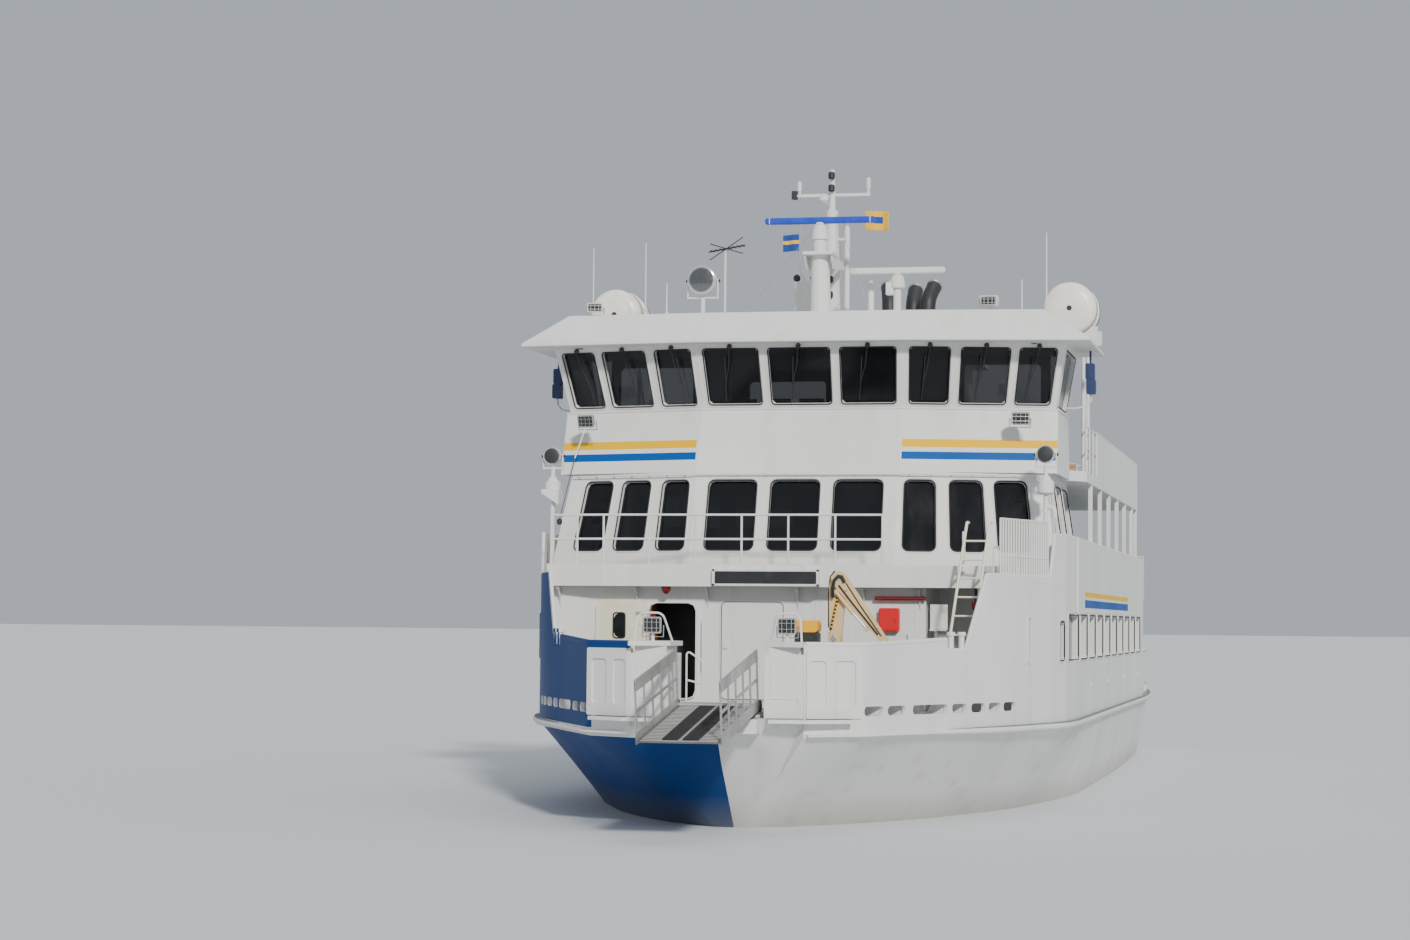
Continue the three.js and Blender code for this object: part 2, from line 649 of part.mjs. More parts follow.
// Toe strip and guard rail along the fascia up to the head of the ladder
function frontRail() {
  const stripPlan = [[12600, 1910], ...FASCIA_PLAN.slice(2)];
  const strip = wall(upright(stripPlan, FASCIA_TOP_Z + GAP, FASCIA_TOP_Z + 12), 60);
  const rail = railing([[12570, 1880], [12570, -3200], [12375, -4230]], FASCIA_TOP_Z + 22, 870, [7, 2]);
  return join([strip, rail]);
}

// A plan outline closed by its own mirror image in the centreline.
function bothSides(half) {
  return [...half, ...half.toReversed().map(([x, y]) => [x, -y])];
}

function upperDeck() {
  const half = [
    ...FASCIA_PLAN.slice(0, 2).toReversed(),
    [HOUSE_FRONT_X, 4385],
    [HOUSE_FRONT_X, 4465],
    ...foreCurve.toReversed(),
    [-9000, SIDE_Y],
    [UPPER_EDGE_AFT_X, 4880],
  ];
  const plate = prism(bothSides(half), "z", UPPER_DECK_Z - DECK_PLATE, UPPER_DECK_Z);
  const fascia = wall(upright(FASCIA_PLAN, UPPER_DECK_Z - DECK_PLATE, FASCIA_TOP_Z), 60);
  // Landing between the fascia and the port wing wall, at the head of the ladder
  const landingPlan = [[12430, 3900], [13280, 3900], [13280, 3990], [12600, 4220], [12430, 4270]];
  const landing = prism(landingPlan, "z", 4150, 4200);
  const casingTop = SUN_DECK_Z - SUN_PLATE - GAP;
  const casing = box(...CASING_X, -CASING_HALF_Y, CASING_HALF_Y, UPPER_DECK_Z - 10, casingTop);
  const benches = [];
  for (const x of [3900, 2100, 300, -1500]) {
    for (const y of [-2800, 2800]) benches.push(bench(x, y, UPPER_DECK_Z));
  }
  return join([plate, fascia, landing, casing, ...benches]);
}

// A two-sided deck bench that runs across the ship: seat plank, back and end frames.
function bench(x, y, z) {
  const halfLong = 900;
  const seat = box(x - 420, x + 420, y - halfLong, y + halfLong, z + 410, z + 450);
  const back = box(x - 25, x + 25, y - halfLong, y + halfLong, z + 400, z + 850);
  const ends = [-halfLong + 60, halfLong - 110].map((dy) =>
    box(x - 380, x + 380, y + dy, y + dy + 50, z - 10, z + 420),
  );
  return join([seat, back, ...ends]);
}
add("upper_deck", upperDeck(), whitePaint);
add("front_rail", frontRail(), whitePaint);

// Posts of a three-sided front with a face across the ship, a face each side that runs aft, and short
// returns along the sides. The side faces stay flat because their heads run parallel to their feet.
function threeSided(front) {
  const { cornerX, cornerY, outerX, outerY, headCornerX, headCornerY, headOuterY, sideX, foot, head } = front;
  const sweep = (cornerX - outerX) / (outerY - cornerY);
  const headOuterX = headCornerX - sweep * (headOuterY - headCornerY);
  const half = [
    { x: sideX, y: outerY, headX: Math.min(sideX, headOuterX - 200), headY: headOuterY },
    { x: outerX, y: outerY, headX: headOuterX, headY: headOuterY },
    { x: cornerX, y: cornerY, headX: headCornerX, headY: headCornerY },
  ].map((p) => ({ ...p, foot, head }));
  return [...half, ...half.toReversed().map((p) => ({ ...p, y: -p.y, headY: -p.headY }))];
}

// Raked front of the upper saloon, from port to starboard
const UPPER_FOOT_Z = UPPER_DECK_Z + GAP;
const UPPER_HEAD_Z = SUN_DECK_Z - SUN_PLATE - GAP;
const saloonFront = threeSided({
  cornerX: UPPER_FRONT_X,
  cornerY: 1900,
  outerX: 10500,
  outerY: 4800,
  headCornerX: UPPER_FRONT_X - FRONT_RAKE * (UPPER_HEAD_Z - UPPER_FOOT_Z),
  headCornerY: 1880,
  headOuterY: 4480,
  sideX: 10300,
  foot: UPPER_FOOT_Z,
  head: UPPER_HEAD_Z,
});

// Window spans along one face of a three-sided front. Columns: start, end, as shares of the face.
const SALOON_CENTRE = [[0.068, 0.308], [0.379, 0.621], [0.692, 0.932]];
const SALOON_OUTER = [[0.05, 0.255], [0.35, 0.57], [0.65, 0.865]];
const SALOON_V = [0.29, 0.925];

function frontWindows(posts, centreSpans, outerSpans, [v0, v1], radius) {
  const [a, b, c, d] = posts.slice(1, 5);
  return [
    ...outerSpans.map(([u0, u1]) => windowThrough(b, a, u0, u1, v0, v1, radius)),
    ...centreSpans.map(([u0, u1]) => windowThrough(b, c, u0, u1, v0, v1, radius)),
    ...outerSpans.map(([u0, u1]) => windowThrough(c, d, u0, u1, v0, v1, radius)),
  ];
}
const saloonPanes = frontWindows(saloonFront, SALOON_CENTRE, SALOON_OUTER, SALOON_V, 110);
add("saloon_front", cut(wall(saloonFront, WALL), saloonPanes), whitePaint);

const saloonSide = [
  { x: UPPER_AFT_X, y: 4800, headX: UPPER_AFT_X, headY: 4480 },
  { ...saloonFront[0], x: saloonFront[0].x - GAP, headX: saloonFront[0].headX - GAP },
].map((p) => ({ ...p, foot: UPPER_FOOT_Z, head: UPPER_HEAD_Z }));

const SALOON_SIDE_SPANS = [[0.05, 0.31], [0.36, 0.62], [0.67, 0.93]];

function saloonSideWall() {
  const [a, b] = saloonSide;
  const panes = SALOON_SIDE_SPANS.map(([u0, u1]) => windowThrough(a, b, u0, u1, 0.47, 0.925, 110));
  return cut(wall(saloonSide, WALL), panes);
}
add("saloon_side_port", saloonSideWall(), whitePaint);
add("saloon_side_starboard", mirrored(saloonSideWall()), whitePaint);

// The same posts cut down to a lower foot and head.
function trimmed(posts, z0, z1) {
  return posts.map((p) => {
    const at = (z) => {
      const t = (z - p.foot) / (p.head - p.foot);
      return [p.x + ((p.headX ?? p.x) - p.x) * t, p.y + ((p.headY ?? p.y) - p.y) * t];
    };
    const [x, y] = at(z0);
    const [headX, headY] = at(z1);
    return { x, y, headX, headY, foot: z0, head: z1 };
  });
}

function saloonGlass() {
  const side = { ...saloonSide[0], x: UPPER_AFT_X + 150, headX: UPPER_AFT_X + 150 };
  const ring = [side, ...saloonFront.slice(1, -1), { ...side, y: -side.y, headY: -side.headY }];
  return wall(trimmed(ring, 4640, 6100), 12, WALL + 4);
}
add("saloon_glass", saloonGlass(), darkGlass);

const SALOON_AFT_WINDOWS = [[-3700, -2500], [-2200, -1000], [1000, 2200], [2500, 3700]];
const saloonAftWall = aftWall(UPPER_AFT_X, 4330, UPPER_FOOT_Z, UPPER_HEAD_Z, SALOON_AFT_WINDOWS);
add("saloon_aft_wall", saloonAftWall, whitePaint);
add("saloon_aft_door", aftDoor(UPPER_AFT_X, -AFT_DOOR_HALF_Y, AFT_DOOR_HALF_Y, UPPER_DECK_Z), craneCream);

const UPPER_RAIL_Z = 5000;
const SUN_AFT_X = -7500;
const GALLERY_POSTS_X = [5550, 3250, 950, -1350, -3650, -5950, -7350];
const STAIR_Y = [2600, 3500];

function upperBulwark(side) {
  // Columns: x, y, foot, head
  const rows = [
    [UPPER_EDGE_AFT_X, 4880, UPPER_FOOT_Z, UPPER_RAIL_Z],
    [-9000, SIDE_Y - 2, UPPER_FOOT_Z, UPPER_RAIL_Z],
    [9000, SIDE_Y - 2, UPPER_FOOT_Z, UPPER_RAIL_Z],
    [10400, 4918, UPPER_FOOT_Z, UPPER_RAIL_Z],
    [10980, 4792, UPPER_FOOT_Z, UPPER_RAIL_Z],
    [11250, 4733, UPPER_FOOT_Z, WING_Z],
    [HOUSE_FRONT_X - GAP, 4463, UPPER_FOOT_Z, WING_Z],
  ];
  const plating = wall(rows.map(([x, y, foot, head]) => ({ x, y, foot, head })), 60);
  const pillars = GALLERY_POSTS_X.map((x) =>
    box(x - 55, x + 55, SIDE_Y - 80, SIDE_Y - 2, UPPER_RAIL_Z - 20, UPPER_HEAD_Z),
  );
  const lastY = side > 0 ? STAIR_Y[1] + 60 : -STAIR_Y[0] + 60;
  const railX = UPPER_EDGE_AFT_X + 40;
  const rail = railing([[railX, 4850], [railX, lastY]], UPPER_FOOT_Z + 21, 1000, [side > 0 ? 2 : 8]);
  const body = join([plating, ...pillars, rail]);
  return side > 0 ? body : mirrored(body);
}
add("upper_bulwark_port", upperBulwark(1), whitePaint);
add("upper_bulwark_starboard", upperBulwark(-1), whitePaint);

// Flight of stairs along the ship with two stringers, treads and handrails
function stairs(xLow, zLow, xHigh, zHigh, y0, y1, count) {
  const slope = [xHigh - xLow, zHigh - zLow];
  const stringer = [
    [xLow, zLow],
    [xLow + 260, zLow],
    [xHigh, zHigh - 200],
    [xHigh, zHigh],
  ];
  const parts = [prism(stringer, "y", y0, y0 + 35), prism(stringer, "y", y1 - 35, y1)];
  for (let i = 1; i < count; i++) {
    const x = xLow + (slope[0] * i) / count;
    const z = zLow + (slope[1] * i) / count;
    parts.push(box(x - 20, x + 230, y0 + 10, y1 - 10, z - 90, z - 60));
  }
  for (const y of [y0 + 18, y1 - 18]) {
    parts.push(rod([xLow + 60, y, zLow + 980], [xHigh - 30, y, zHigh + 950], 20));
    parts.push(rod([xLow + 60, y, zLow + 30], [xLow + 60, y, zLow + 995], 20));
    parts.push(rod([xHigh - 30, y, zHigh - 60], [xHigh - 30, y, zHigh + 965], 20));
  }
  return join(parts);
}
const aftStairs = stairs(-14500, HOUSE_DECK_Z + GAP, UPPER_EDGE_AFT_X - 5, UPPER_DECK_Z, ...STAIR_Y, 12);
add("aft_stairs", aftStairs, whitePaint);
add("sun_deck_stairs", stairs(-9900, UPPER_FOOT_Z, SUN_AFT_X - 5, SUN_DECK_Z, -450, 450, 11), whitePaint);

// Sun deck, bridge and wheelhouse

const SUN_FOOT_Z = SUN_DECK_Z + GAP;

function sunDeck() {
  const half = [
    [10640, 1840],
    [9700, 4600],
    [7450, 4600],
    [6900, SIDE_Y],
    [SUN_AFT_X, SIDE_Y],
  ];
  const benches = [];
  for (const x of [3300, 1500, -300, -5700]) {
    for (const y of [-2800, 2800]) benches.push(bench(x, y, SUN_DECK_Z));
  }
  return join([prism(bothSides(half), "z", SUN_DECK_Z - SUN_PLATE, SUN_DECK_Z), ...benches]);
}
add("sun_deck", sunDeck(), whitePaint);

const BAND_FOOT_Z = SUN_DECK_Z - SUN_PLATE + GAP;
const bandPosts = threeSided({
  cornerX: 10800,
  cornerY: 1900,
  outerX: 10000,
  outerY: 4710,
  headCornerX: 10430,
  headCornerY: 1870,
  headOuterY: 4690,
  sideX: WHEELHOUSE_WING_AFT_X,
  foot: BAND_FOOT_Z,
  head: SILL_WINDOW_Z,
});
add("bridge_band", wall(bandPosts, 60), whitePaint);

const LEDGE_TOP_Z = SILL_WINDOW_Z + 30;
const WINDOW_HEAD_Z = ROOF_EDGE_Z - GAP;
const bridgePosts = threeSided({
  cornerX: 10260,
  cornerY: 1870,
  outerX: 9560,
  outerY: 4640,
  headCornerX: 10740,
  headCornerY: 1940,
  headOuterY: 4860,
  sideX: WHEELHOUSE_WING_AFT_X,
  foot: LEDGE_TOP_Z - 10,
  head: WINDOW_HEAD_Z,
});
const BRIDGE_CENTRE = [[0.03, 0.3], [0.35, 0.65], [0.7, 0.97]];
const BRIDGE_OUTER = [[0.047, 0.296], [0.368, 0.668], [0.729, 0.955]];
const BRIDGE_V = [0.075, 0.925];

function wheelhouseFront() {
  const ledge = wall(
    bandPosts.map((p) => ({ x: p.headX, y: p.headY, foot: SILL_WINDOW_Z + GAP, head: LEDGE_TOP_Z })),
    320,
    -15,
  );
  const sidePanes = [[0, 1], [5, 4]].map(([i, k]) =>
    windowThrough(bridgePosts[i], bridgePosts[k], 0.12, 0.9, ...BRIDGE_V, 60),
  );
  const frontPanes = frontWindows(bridgePosts, BRIDGE_CENTRE, BRIDGE_OUTER, BRIDGE_V, 60);
  return cut(join([wall(bridgePosts, WALL), ledge]), [...frontPanes, ...sidePanes]);
}
add("wheelhouse_front", wheelhouseFront(), whitePaint);

function wheelhouseGlass() {
  const aftGap = 90;
  const ring = bridgePosts.map((p) => {
    const isFront = p.x > WHEELHOUSE_WING_AFT_X;
    return isFront ? p : { ...p, x: p.x + aftGap, headX: p.headX + aftGap };
  });
  return wall(trimmed(ring, 7400, 8500), 12, WALL + 3);
}
add("wheelhouse_glass", wheelhouseGlass(), darkGlass);

const BRIDGE_DOOR_Y = [700, 1500];

function wheelhouseAft() {
  const plan = [
    [WHEELHOUSE_WING_AFT_X, -4350],
    [WHEELHOUSE_WING_AFT_X, -WHEELHOUSE_CORE_Y],
    [WHEELHOUSE_AFT_X, -WHEELHOUSE_CORE_Y],
    [WHEELHOUSE_AFT_X, WHEELHOUSE_CORE_Y],
    [WHEELHOUSE_WING_AFT_X, WHEELHOUSE_CORE_Y],
    [WHEELHOUSE_WING_AFT_X, 4350],
  ];
  const posts = upright(plan, SUN_FOOT_Z, WINDOW_HEAD_Z);
  const doorZ = [SUN_FOOT_Z + 120, SUN_FOOT_Z + 1930];
  const doorway = box(WHEELHOUSE_AFT_X - 50, WHEELHOUSE_AFT_X + 200, ...BRIDGE_DOOR_Y, ...doorZ);
  const panes = [
    windowThrough(posts[0], posts[1], 0.1, 0.9, 0.45, 0.93, 60),
    windowThrough(posts[4], posts[5], 0.1, 0.9, 0.45, 0.93, 60),
    windowThrough(posts[2], posts[3], 0.08, 0.4, 0.5, 0.9, 60),
  ];
  return cut(wall(posts, WALL), [doorway, ...panes]);
}
add("wheelhouse_aft", wheelhouseAft(), whitePaint);
add("wheelhouse_door", aftDoor(WHEELHOUSE_AFT_X, ...BRIDGE_DOOR_Y, SUN_DECK_Z), craneCream);

const PEDESTAL = [8500, 1510];
const SEARCHLIGHT = [9500, -2080, 9870];

function wheelhouseRoof() {
  const brimZ = ROOF_EDGE_Z + 60;
  const tray = (low, high) => {
    const ring = (half, z) => bothSides(half).map(([x, y]) => [x, y, z]);
    return loft([ring(low, ROOF_EDGE_Z), ring(low, brimZ), ring(high, ROOF_TOP_Z)]);
  };
  const wings = tray(
    [[7200, 5350], [10620, 5350], [11060, 1990]],
    [[7550, 4500], [10300, 4500], [10540, 1830]],
  );
  const core = tray(
    [[4500, 2800], [9000, 2800]],
    [[4850, 2450], [9000, 2450]],
  );
  const [px, py] = PEDESTAL;
  const pedestal = join([
    rod([px, py, ROOF_TOP_Z - 50], [px, py, 9800], 75, 10),
    rod([px, py, 9780], [px, py, 10030], 150, 10, 110),
  ]);
  const [sx, sy, sz] = SEARCHLIGHT;
  const lampR = 280;
  const armY = lampR + 30;
  const footZ = sz - lampR - 50;
  const arm = (y0) => box(sx - 30, sx + 30, y0, y0 + 20, footZ, sz + 20);
  const searchlight = join([
    rod([sx, sy, ROOF_TOP_Z - 50], [sx, sy, footZ - 40], 45, 8),
    rod([sx, sy, footZ - 60], [sx, sy, footZ + 5], 120, 10),
    rod([sx - 160, sy, sz], [sx + 160, sy, sz], lampR, 16),
    box(sx - 30, sx + 30, sy - armY, sy + armY, footZ, footZ + 30),
    arm(sy - armY),
    arm(sy + armY - 20),
    rod([sx, sy - armY, sz], [sx, sy + armY, sz], 15),
  ]);
  return join([wings, core, pedestal, searchlight]);
}
add("wheelhouse_roof", wheelhouseRoof(), whitePaint);

const MAST_X = 7150;
const BRACKET_X = 8500;

function mast() {
  const roof = ROOF_TOP_Z + GAP;
  const base = box(MAST_X - 260, BRACKET_X + 130, -190, 190, roof, roof + 30);
  const post = rod([MAST_X, 0, roof], [MAST_X, 0, 11500], 185, 12, 120);
  const topmast = rod([MAST_X, 0, 11450], [MAST_X, 0, 12320], 70, 8, 45);
  const column = rod([BRACKET_X - 120, 0, roof + 15], [BRACKET_X - 60, 0, 10450], 210, 10, 170);
  const shelf = box(MAST_X, BRACKET_X + 260, -290, 290, 10440, 10500);
  const motor = join([
    rod([BRACKET_X, 0, 10490], [BRACKET_X, 0, 10760], 130, 10),
    rod([BRACKET_X, 0, 10750], [BRACKET_X, 0, 11030], 165, 10, 120),
  ]);
  const spreader = box(MAST_X - 30, MAST_X + 30, -700, 760, 11780, 11840);
  const tips = [
    [-660, 12100],
    [720, 12150],
  ].map(([y, z]) => rod([MAST_X, y, 11800], [MAST_X, y, z], 45, 8));
  const pole = rod([MAST_X + 50, 310, roof], [MAST_X + 50, 310, 11200], 55, 8);
  const poleArm = box(MAST_X + 20, MAST_X + 80, 0, 310, 10900, 10950);
  const halyards = [-640, 640].flatMap((y) => [
    rod([MAST_X, y, 10300], [MAST_X, y, 11800], 6),
    rod([MAST_X, y, 10300], [MAST_X, 0, roof + 60], 6),
  ]);
  const uprights = [base, post, topmast, column, pole, poleArm];
  return join([...uprights, shelf, motor, spreader, ...tips, ...halyards]);
}
add("mast", mast(), whitePaint);

// Thin cloth flags beside the halyards. Columns: name, y low, y high, z low, z high
const flags = [
  ["flag_starboard", -1010, -650, 10700, 11050],
  ["flag_port", 650, 1150, 11080, 11480],
];
for (const [name, y0, y1, z0, z1] of flags) {
  add(name, box(MAST_X - 6, MAST_X + 6, y0, y1, z0, z1), yellowPaint);
}

function scanner(x, y, z, halfLong) {
  const bar = prism(roundedRect(-75, 75, 0, 125, 40), "x", -halfLong, halfLong);
  return join([bar.rotate([0, 0, 90]).translate([x, y, z]), rod([x, y, z - 22], [x, y, z + 20], 90, 10)]);
}
add("radar_scanner_high", scanner(BRACKET_X, 0, 11060, 1075), scannerBlue);
add("radar_scanner_low", scanner(...PEDESTAL, 10060, 920), whitePaint);

const RAFT_Y = 4600;
const RAFT_Z = 9587;
const RAFT_R = 525;

const STAND_X = [5300, 6300];
const STAND_Y = [4100, 4870];

function raftStand() {
  const saddleR = RAFT_R + 35;
  const posts = STAND_X.flatMap((x) => STAND_Y.map((y) => rod([x, y, SUN_FOOT_Z], [x, y, 9000], 40)));
  const saddle = [50, 25, 0, -25, -50].map((deg) => {
    const angle = THREE.MathUtils.degToRad(deg);
    return [RAFT_Y + saddleR * Math.sin(angle), RAFT_Z - saddleR * Math.cos(angle)];
  });
  const outline = [[4050, 8940], [5150, 8940], [5150, saddle[0][1]], ...saddle, [4050, saddle[0][1]]];
  const cradle = STAND_X.map((x) => prism(outline, "x", x - 30, x + 30));
  const rails = STAND_Y.map((y) => box(STAND_X[0] - 20, STAND_X[1] + 20, y - 25, y + 25, 8900, 8960));
  const braces = STAND_Y.map((y) => rod([STAND_X[0], y, 6700], [STAND_X[1], y, 8600], 22));
  return join([...posts, ...cradle, ...rails, ...braces]);
}
add("raft_stand_port", raftStand(), whitePaint);
add("raft_stand_starboard", mirrored(raftStand()), whitePaint);

function raft() {
  const drum = rod([5160, RAFT_Y, RAFT_Z], [6440, RAFT_Y, RAFT_Z], RAFT_R, 20);
  const band = rod([5775, RAFT_Y, RAFT_Z], [5825, RAFT_Y, RAFT_Z], RAFT_R + 12, 20);
  return join([drum, band]);
}
add("raft_port", raft(), raftWhite);
add("raft_starboard", mirrored(raft()), raftWhite);

function funnel() {
  const [x0, x1] = CASING_X;
  const y = CASING_HALF_Y;
  const trunk = loft([
    [[x0, -y, SUN_FOOT_Z], [x1, -y, SUN_FOOT_Z], [x1, y, SUN_FOOT_Z], [x0, y, SUN_FOOT_Z]],
    [[x0, -700, 10450], [x1 - 300, -700, 10450], [x1 - 300, 700, 10450], [x0, 700, 10450]],
  ]);
  // Exhaust pipes turned aft. Columns: x, y
  const pipes = [[-3300, -450], [-3300, 450], [-4000, 0]].map(([x, py]) =>
    join([
      rod([x, py, 10400], [x, py, 10900], 190, 12),
      rod([x + 60, py, 10820], [x - 420, py * 1.2, 11250], 190, 12),
    ]),
  );
  return join([trunk, ...pipes]);
}
add("funnel", funnel(), whitePaint);

const SUN_RAIL_Z = 7250;

function sunBulwark() {
  const platePlan = [[SUN_AFT_X + 10, SIDE_Y - 2], [4400, SIDE_Y - 2]];
  const plating = wall(upright(platePlan, SUN_FOOT_Z, SUN_RAIL_Z), 50);
  const railY = SIDE_Y - 27;
  const aftX = SUN_AFT_X + 35;
  const fore = railing([[4390, railY], [6850, railY]], SUN_FOOT_Z + 21, 860, [3]);
  const aft = railing([[aftX, railY], [aftX, 500]], SUN_FOOT_Z + 21, 860, [5]);
  return join([plating, fore, aft]);
}
add("sun_bulwark_port", sunBulwark(), whitePaint);
add("sun_bulwark_starboard", mirrored(sunBulwark()), whitePaint);

// Front fittings

add("sign_board", box(12602, 12700, -1170, 770, 4020, 4320), signBlack);

function ladder() {
  const foot = [13700, 3250, FORE_DECK_Z + 30];
  const headAt = [12900, 3620, 5150];
  const along = (t, dy) => foot.map((f, k) => f + (headAt[k] - f) * t + (k === 1 ? dy : 0));
  const rails = [-200, 200].map((dy) => rod(along(0, dy), along(1, dy), 28));
  const rungs = [];
  const count = 11;
  for (let k = 1; k < count; k++) rungs.push(rod(along(k / count, -200), along(k / count, 200), 18));
  // Stays from the rails back to the deck's edge
  const stays = [-200, 200].map((dy) => {
    const [x, y, z] = along(0.74, dy);
    return rod([x, y, z], [12605 - ((y - 3210) * 200) / 1095, y, z], 16);
  });
  return join([...rails, ...rungs, ...stays]);
}
add("foredeck_ladder", ladder(), raftWhite);

// A pipe that stands at the front corner of the saloon and carries an air vent and a searchlight.
function lampPost() {
  const [x, y] = [10960, 4600];
  const pipe = rod([x, y, UPPER_FOOT_Z], [x, y, 6290], 42, 8);
  const can = rod([x, y, 5720], [x, y, 6060], 150, 12);
  const neck = join([
    rod([x, y, 5700], [x + 120, y + 40, 5560], 50, 8),
    rod([x + 110, y + 40, 5620], [x + 110, y + 40, 5440], 50, 8),
  ]);
  const lampZ = 6445;
  const yoke = box(x - 25, x + 25, y - 200, y + 200, 6270, 6300);
  const arms = [-200, 180].map((dy) => box(x - 25, x + 25, y + dy, y + dy + 20, 6280, lampZ + 5));
  const lampBody = rod([x - 150, y, lampZ], [x + 120, y, lampZ], 165, 14);
  const pin = rod([x, y - 190, lampZ], [x, y + 190, lampZ], 14);
  return join([pipe, can, neck, yoke, ...arms, lampBody, pin]);
}
add("lamp_post_port", lampPost(), lampGrey);
add("lamp_post_starboard", mirrored(lampPost()), lampGrey);

function sternBulwark() {
  const half = [
    [HOUSE_AFT_X - GAP, 4890],
    [-13500, 4830],
    [-16500, 4600],
    [-17550, 4430],
    [-17960, 4050],
  ];
  const plan = [...half.map(([x, y]) => [x, -y]), ...half.toReversed()];
  const plating = wall(upright(plan, HOUSE_DECK_Z + GAP, 2780), 60);
  const cap = wall(upright(plan, 2740, 2790), 140, -40);
  const edge = half.slice(0, 3).toReversed();
  const ports = [[-12900, -11900], [-16000, -15000], [-14900, -13900]].flatMap(([x0, x1]) => {
    const one = opening(edge, x0, x1, 1710, 1930, 90);
    return [one, mirrored(one)];
  });
  return cut(join([plating, cap]), ports);
}
add("stern_bulwark", sternBulwark(), whitePaint);

const HELM_DESK_SIDE = [
  [8700, SUN_FOOT_Z],
  [9500, SUN_FOOT_Z],
  [9550, 7250],
  [9000, 7330],
  [8700, 7150],
];
add("bridge_console", prism(HELM_DESK_SIDE, "y", -1800, 1800), blackPaint);

// Rows of seats across the upper saloon on one floor runner
function saloonSeats() {
  const floor = UPPER_FOOT_Z;
  const halfLong = 3000;
  const runner = box(6300, 9700, -30, 30, floor, floor + 60);
  const rows = [6500, 7500, 8500, 9500].map((x) =>
    join([
      box(x - 350, x + 150, -halfLong, halfLong, floor + 380, floor + 480),
      box(x - 350, x - 250, -halfLong, halfLong, floor + 380, floor + 1080),
      box(x - 120, x - 60, -halfLong + 400, halfLong - 400, floor + 40, floor + 400),
    ]),
  );
  return join([runner, ...rows]);
}
add("saloon_seats", saloonSeats(), seatFabric);

// Deck crane with slewing column, boom and jib

const CRANE = [15800, 1600];
const SLEW_Z = 2563; // joint between the base and the turning column
const BOOM_PIN_Z = 3120;
const JIB_PIN = [CRANE[1] + 60, 4120];

function craneBase() {
  const [x, y] = CRANE;
  const foot = FORE_DECK_Z + GAP;
  const half = 330;
  const plate = box(x - half, x + half, y - half, y + half, foot, 1890);
  return join([rod([x, y, foot], [x, y, SLEW_Z - 3], 200, 14), plate]);
}
add("crane_base", craneBase(), craneCream);

function craneColumn() {
  const [x, y] = CRANE;
  const turret = rod([x, y, SLEW_Z + 3], [x, y, 2850], 210, 14);
  const cheek = [[y - 140, 2830], [y + 140, 2830], [y + 90, 3230], [y - 90, 3230]];
  const cheeks = [-150, 110].map((dx) => prism(cheek, "x", x + dx, x + dx + 40));
  const winchShelf = box(x - 160, x + 160, y - 640, y - 120, 2700, 2790);
  const winch = join([winchShelf, box(x - 180, x + 180, y - 660, y - 260, 2780, 3420)]);
  return join([turret, ...cheeks, winch]);
}
add("crane_column", craneColumn(), craneCream);

function craneBoom() {
  const [x, y] = CRANE;
  const [py, pz] = JIB_PIN;
  const outline = [
    [y - 75, BOOM_PIN_Z - 80],
    [y + 75, BOOM_PIN_Z - 80],
    [py + 70, pz - 150],
    [py + 90, pz + 90],
    [py - 90, pz + 90],
    [py - 110, pz - 150],
  ];
  const beam = prism(outline, "x", x - 100, x - 10);
  const pin = rod([x - 104, y, BOOM_PIN_Z], [x + 104, y, BOOM_PIN_Z], 38, 10);
  return join([beam, pin]);
}
add("crane_boom", craneBoom(), craneCream);

function craneJib() {
  const [x] = CRANE;
  const [py, pz] = JIB_PIN;
  const length = 1330;
  const hangDeg = 53;
  const beam = prism([[-70, 80], [80, 80], [length, 50], [length, -50], [80, -80], [-70, -80]], "x", 0, 90);
  const turned = beam.rotate([-hangDeg, 0, 0]).translate([x + 8, py, pz]);
  return join([turned, rod([x - 4, py, pz], [x + 104, py, pz], 40, 10)]);
}
add("crane_jib", craneJib(), craneCream);

// Propellers and rudders

function propeller(y) {
  const pitchDeg = 32;
  const blade = box(-18, 18, -170, 170, 80, 600).rotate([0, 0, pitchDeg]);
  const blades = [0, 90, 180, 270].map((deg) => blade.rotate([deg, 0, 0]));
  const hub = rod([-190, 0, 0], [190, 0, 0], 120, 12, 95);
  return join([hub, ...blades]).translate([PROPELLER_X, y, SHAFT_Z]);
}
add("propeller_port", propeller(SHAFT_Y), bronze);
add("propeller_starboard", propeller(-SHAFT_Y), bronze);

function rudder(y) {
  const section = bothSides([[480, 0], [330, 55], [0, 70], [-480, 15]]).slice(0, -1);
  const blade = prism(section, "z", -2150, -900);
  const stock = rod([0, 0, -950], [0, 0, -565], 60, 10);
  return join([blade, stock]).translate([RUDDER_X, y, 0]);
}
add("rudder_port", rudder(SHAFT_Y), whitePaint);
add("rudder_starboard", rudder(-SHAFT_Y), whitePaint);

export default ferry;
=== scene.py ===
# %% [markdown]
# # Dressing a passenger ferry
#
# The ship is a working boat of white painted plates with dark windows, an aluminium gangway and a small
# deck crane. Its large plates are already right in the frame, so they only need paint. What is round, curved,
# thin or soft is made again here as a finer mesh in the same place, because a facet shows at once on a pipe.

# %% Load the frame
from math import atan2, cos, exp, hypot, pi, radians, sin, sqrt

import bpy
import bmesh
from mathutils import Matrix, Vector


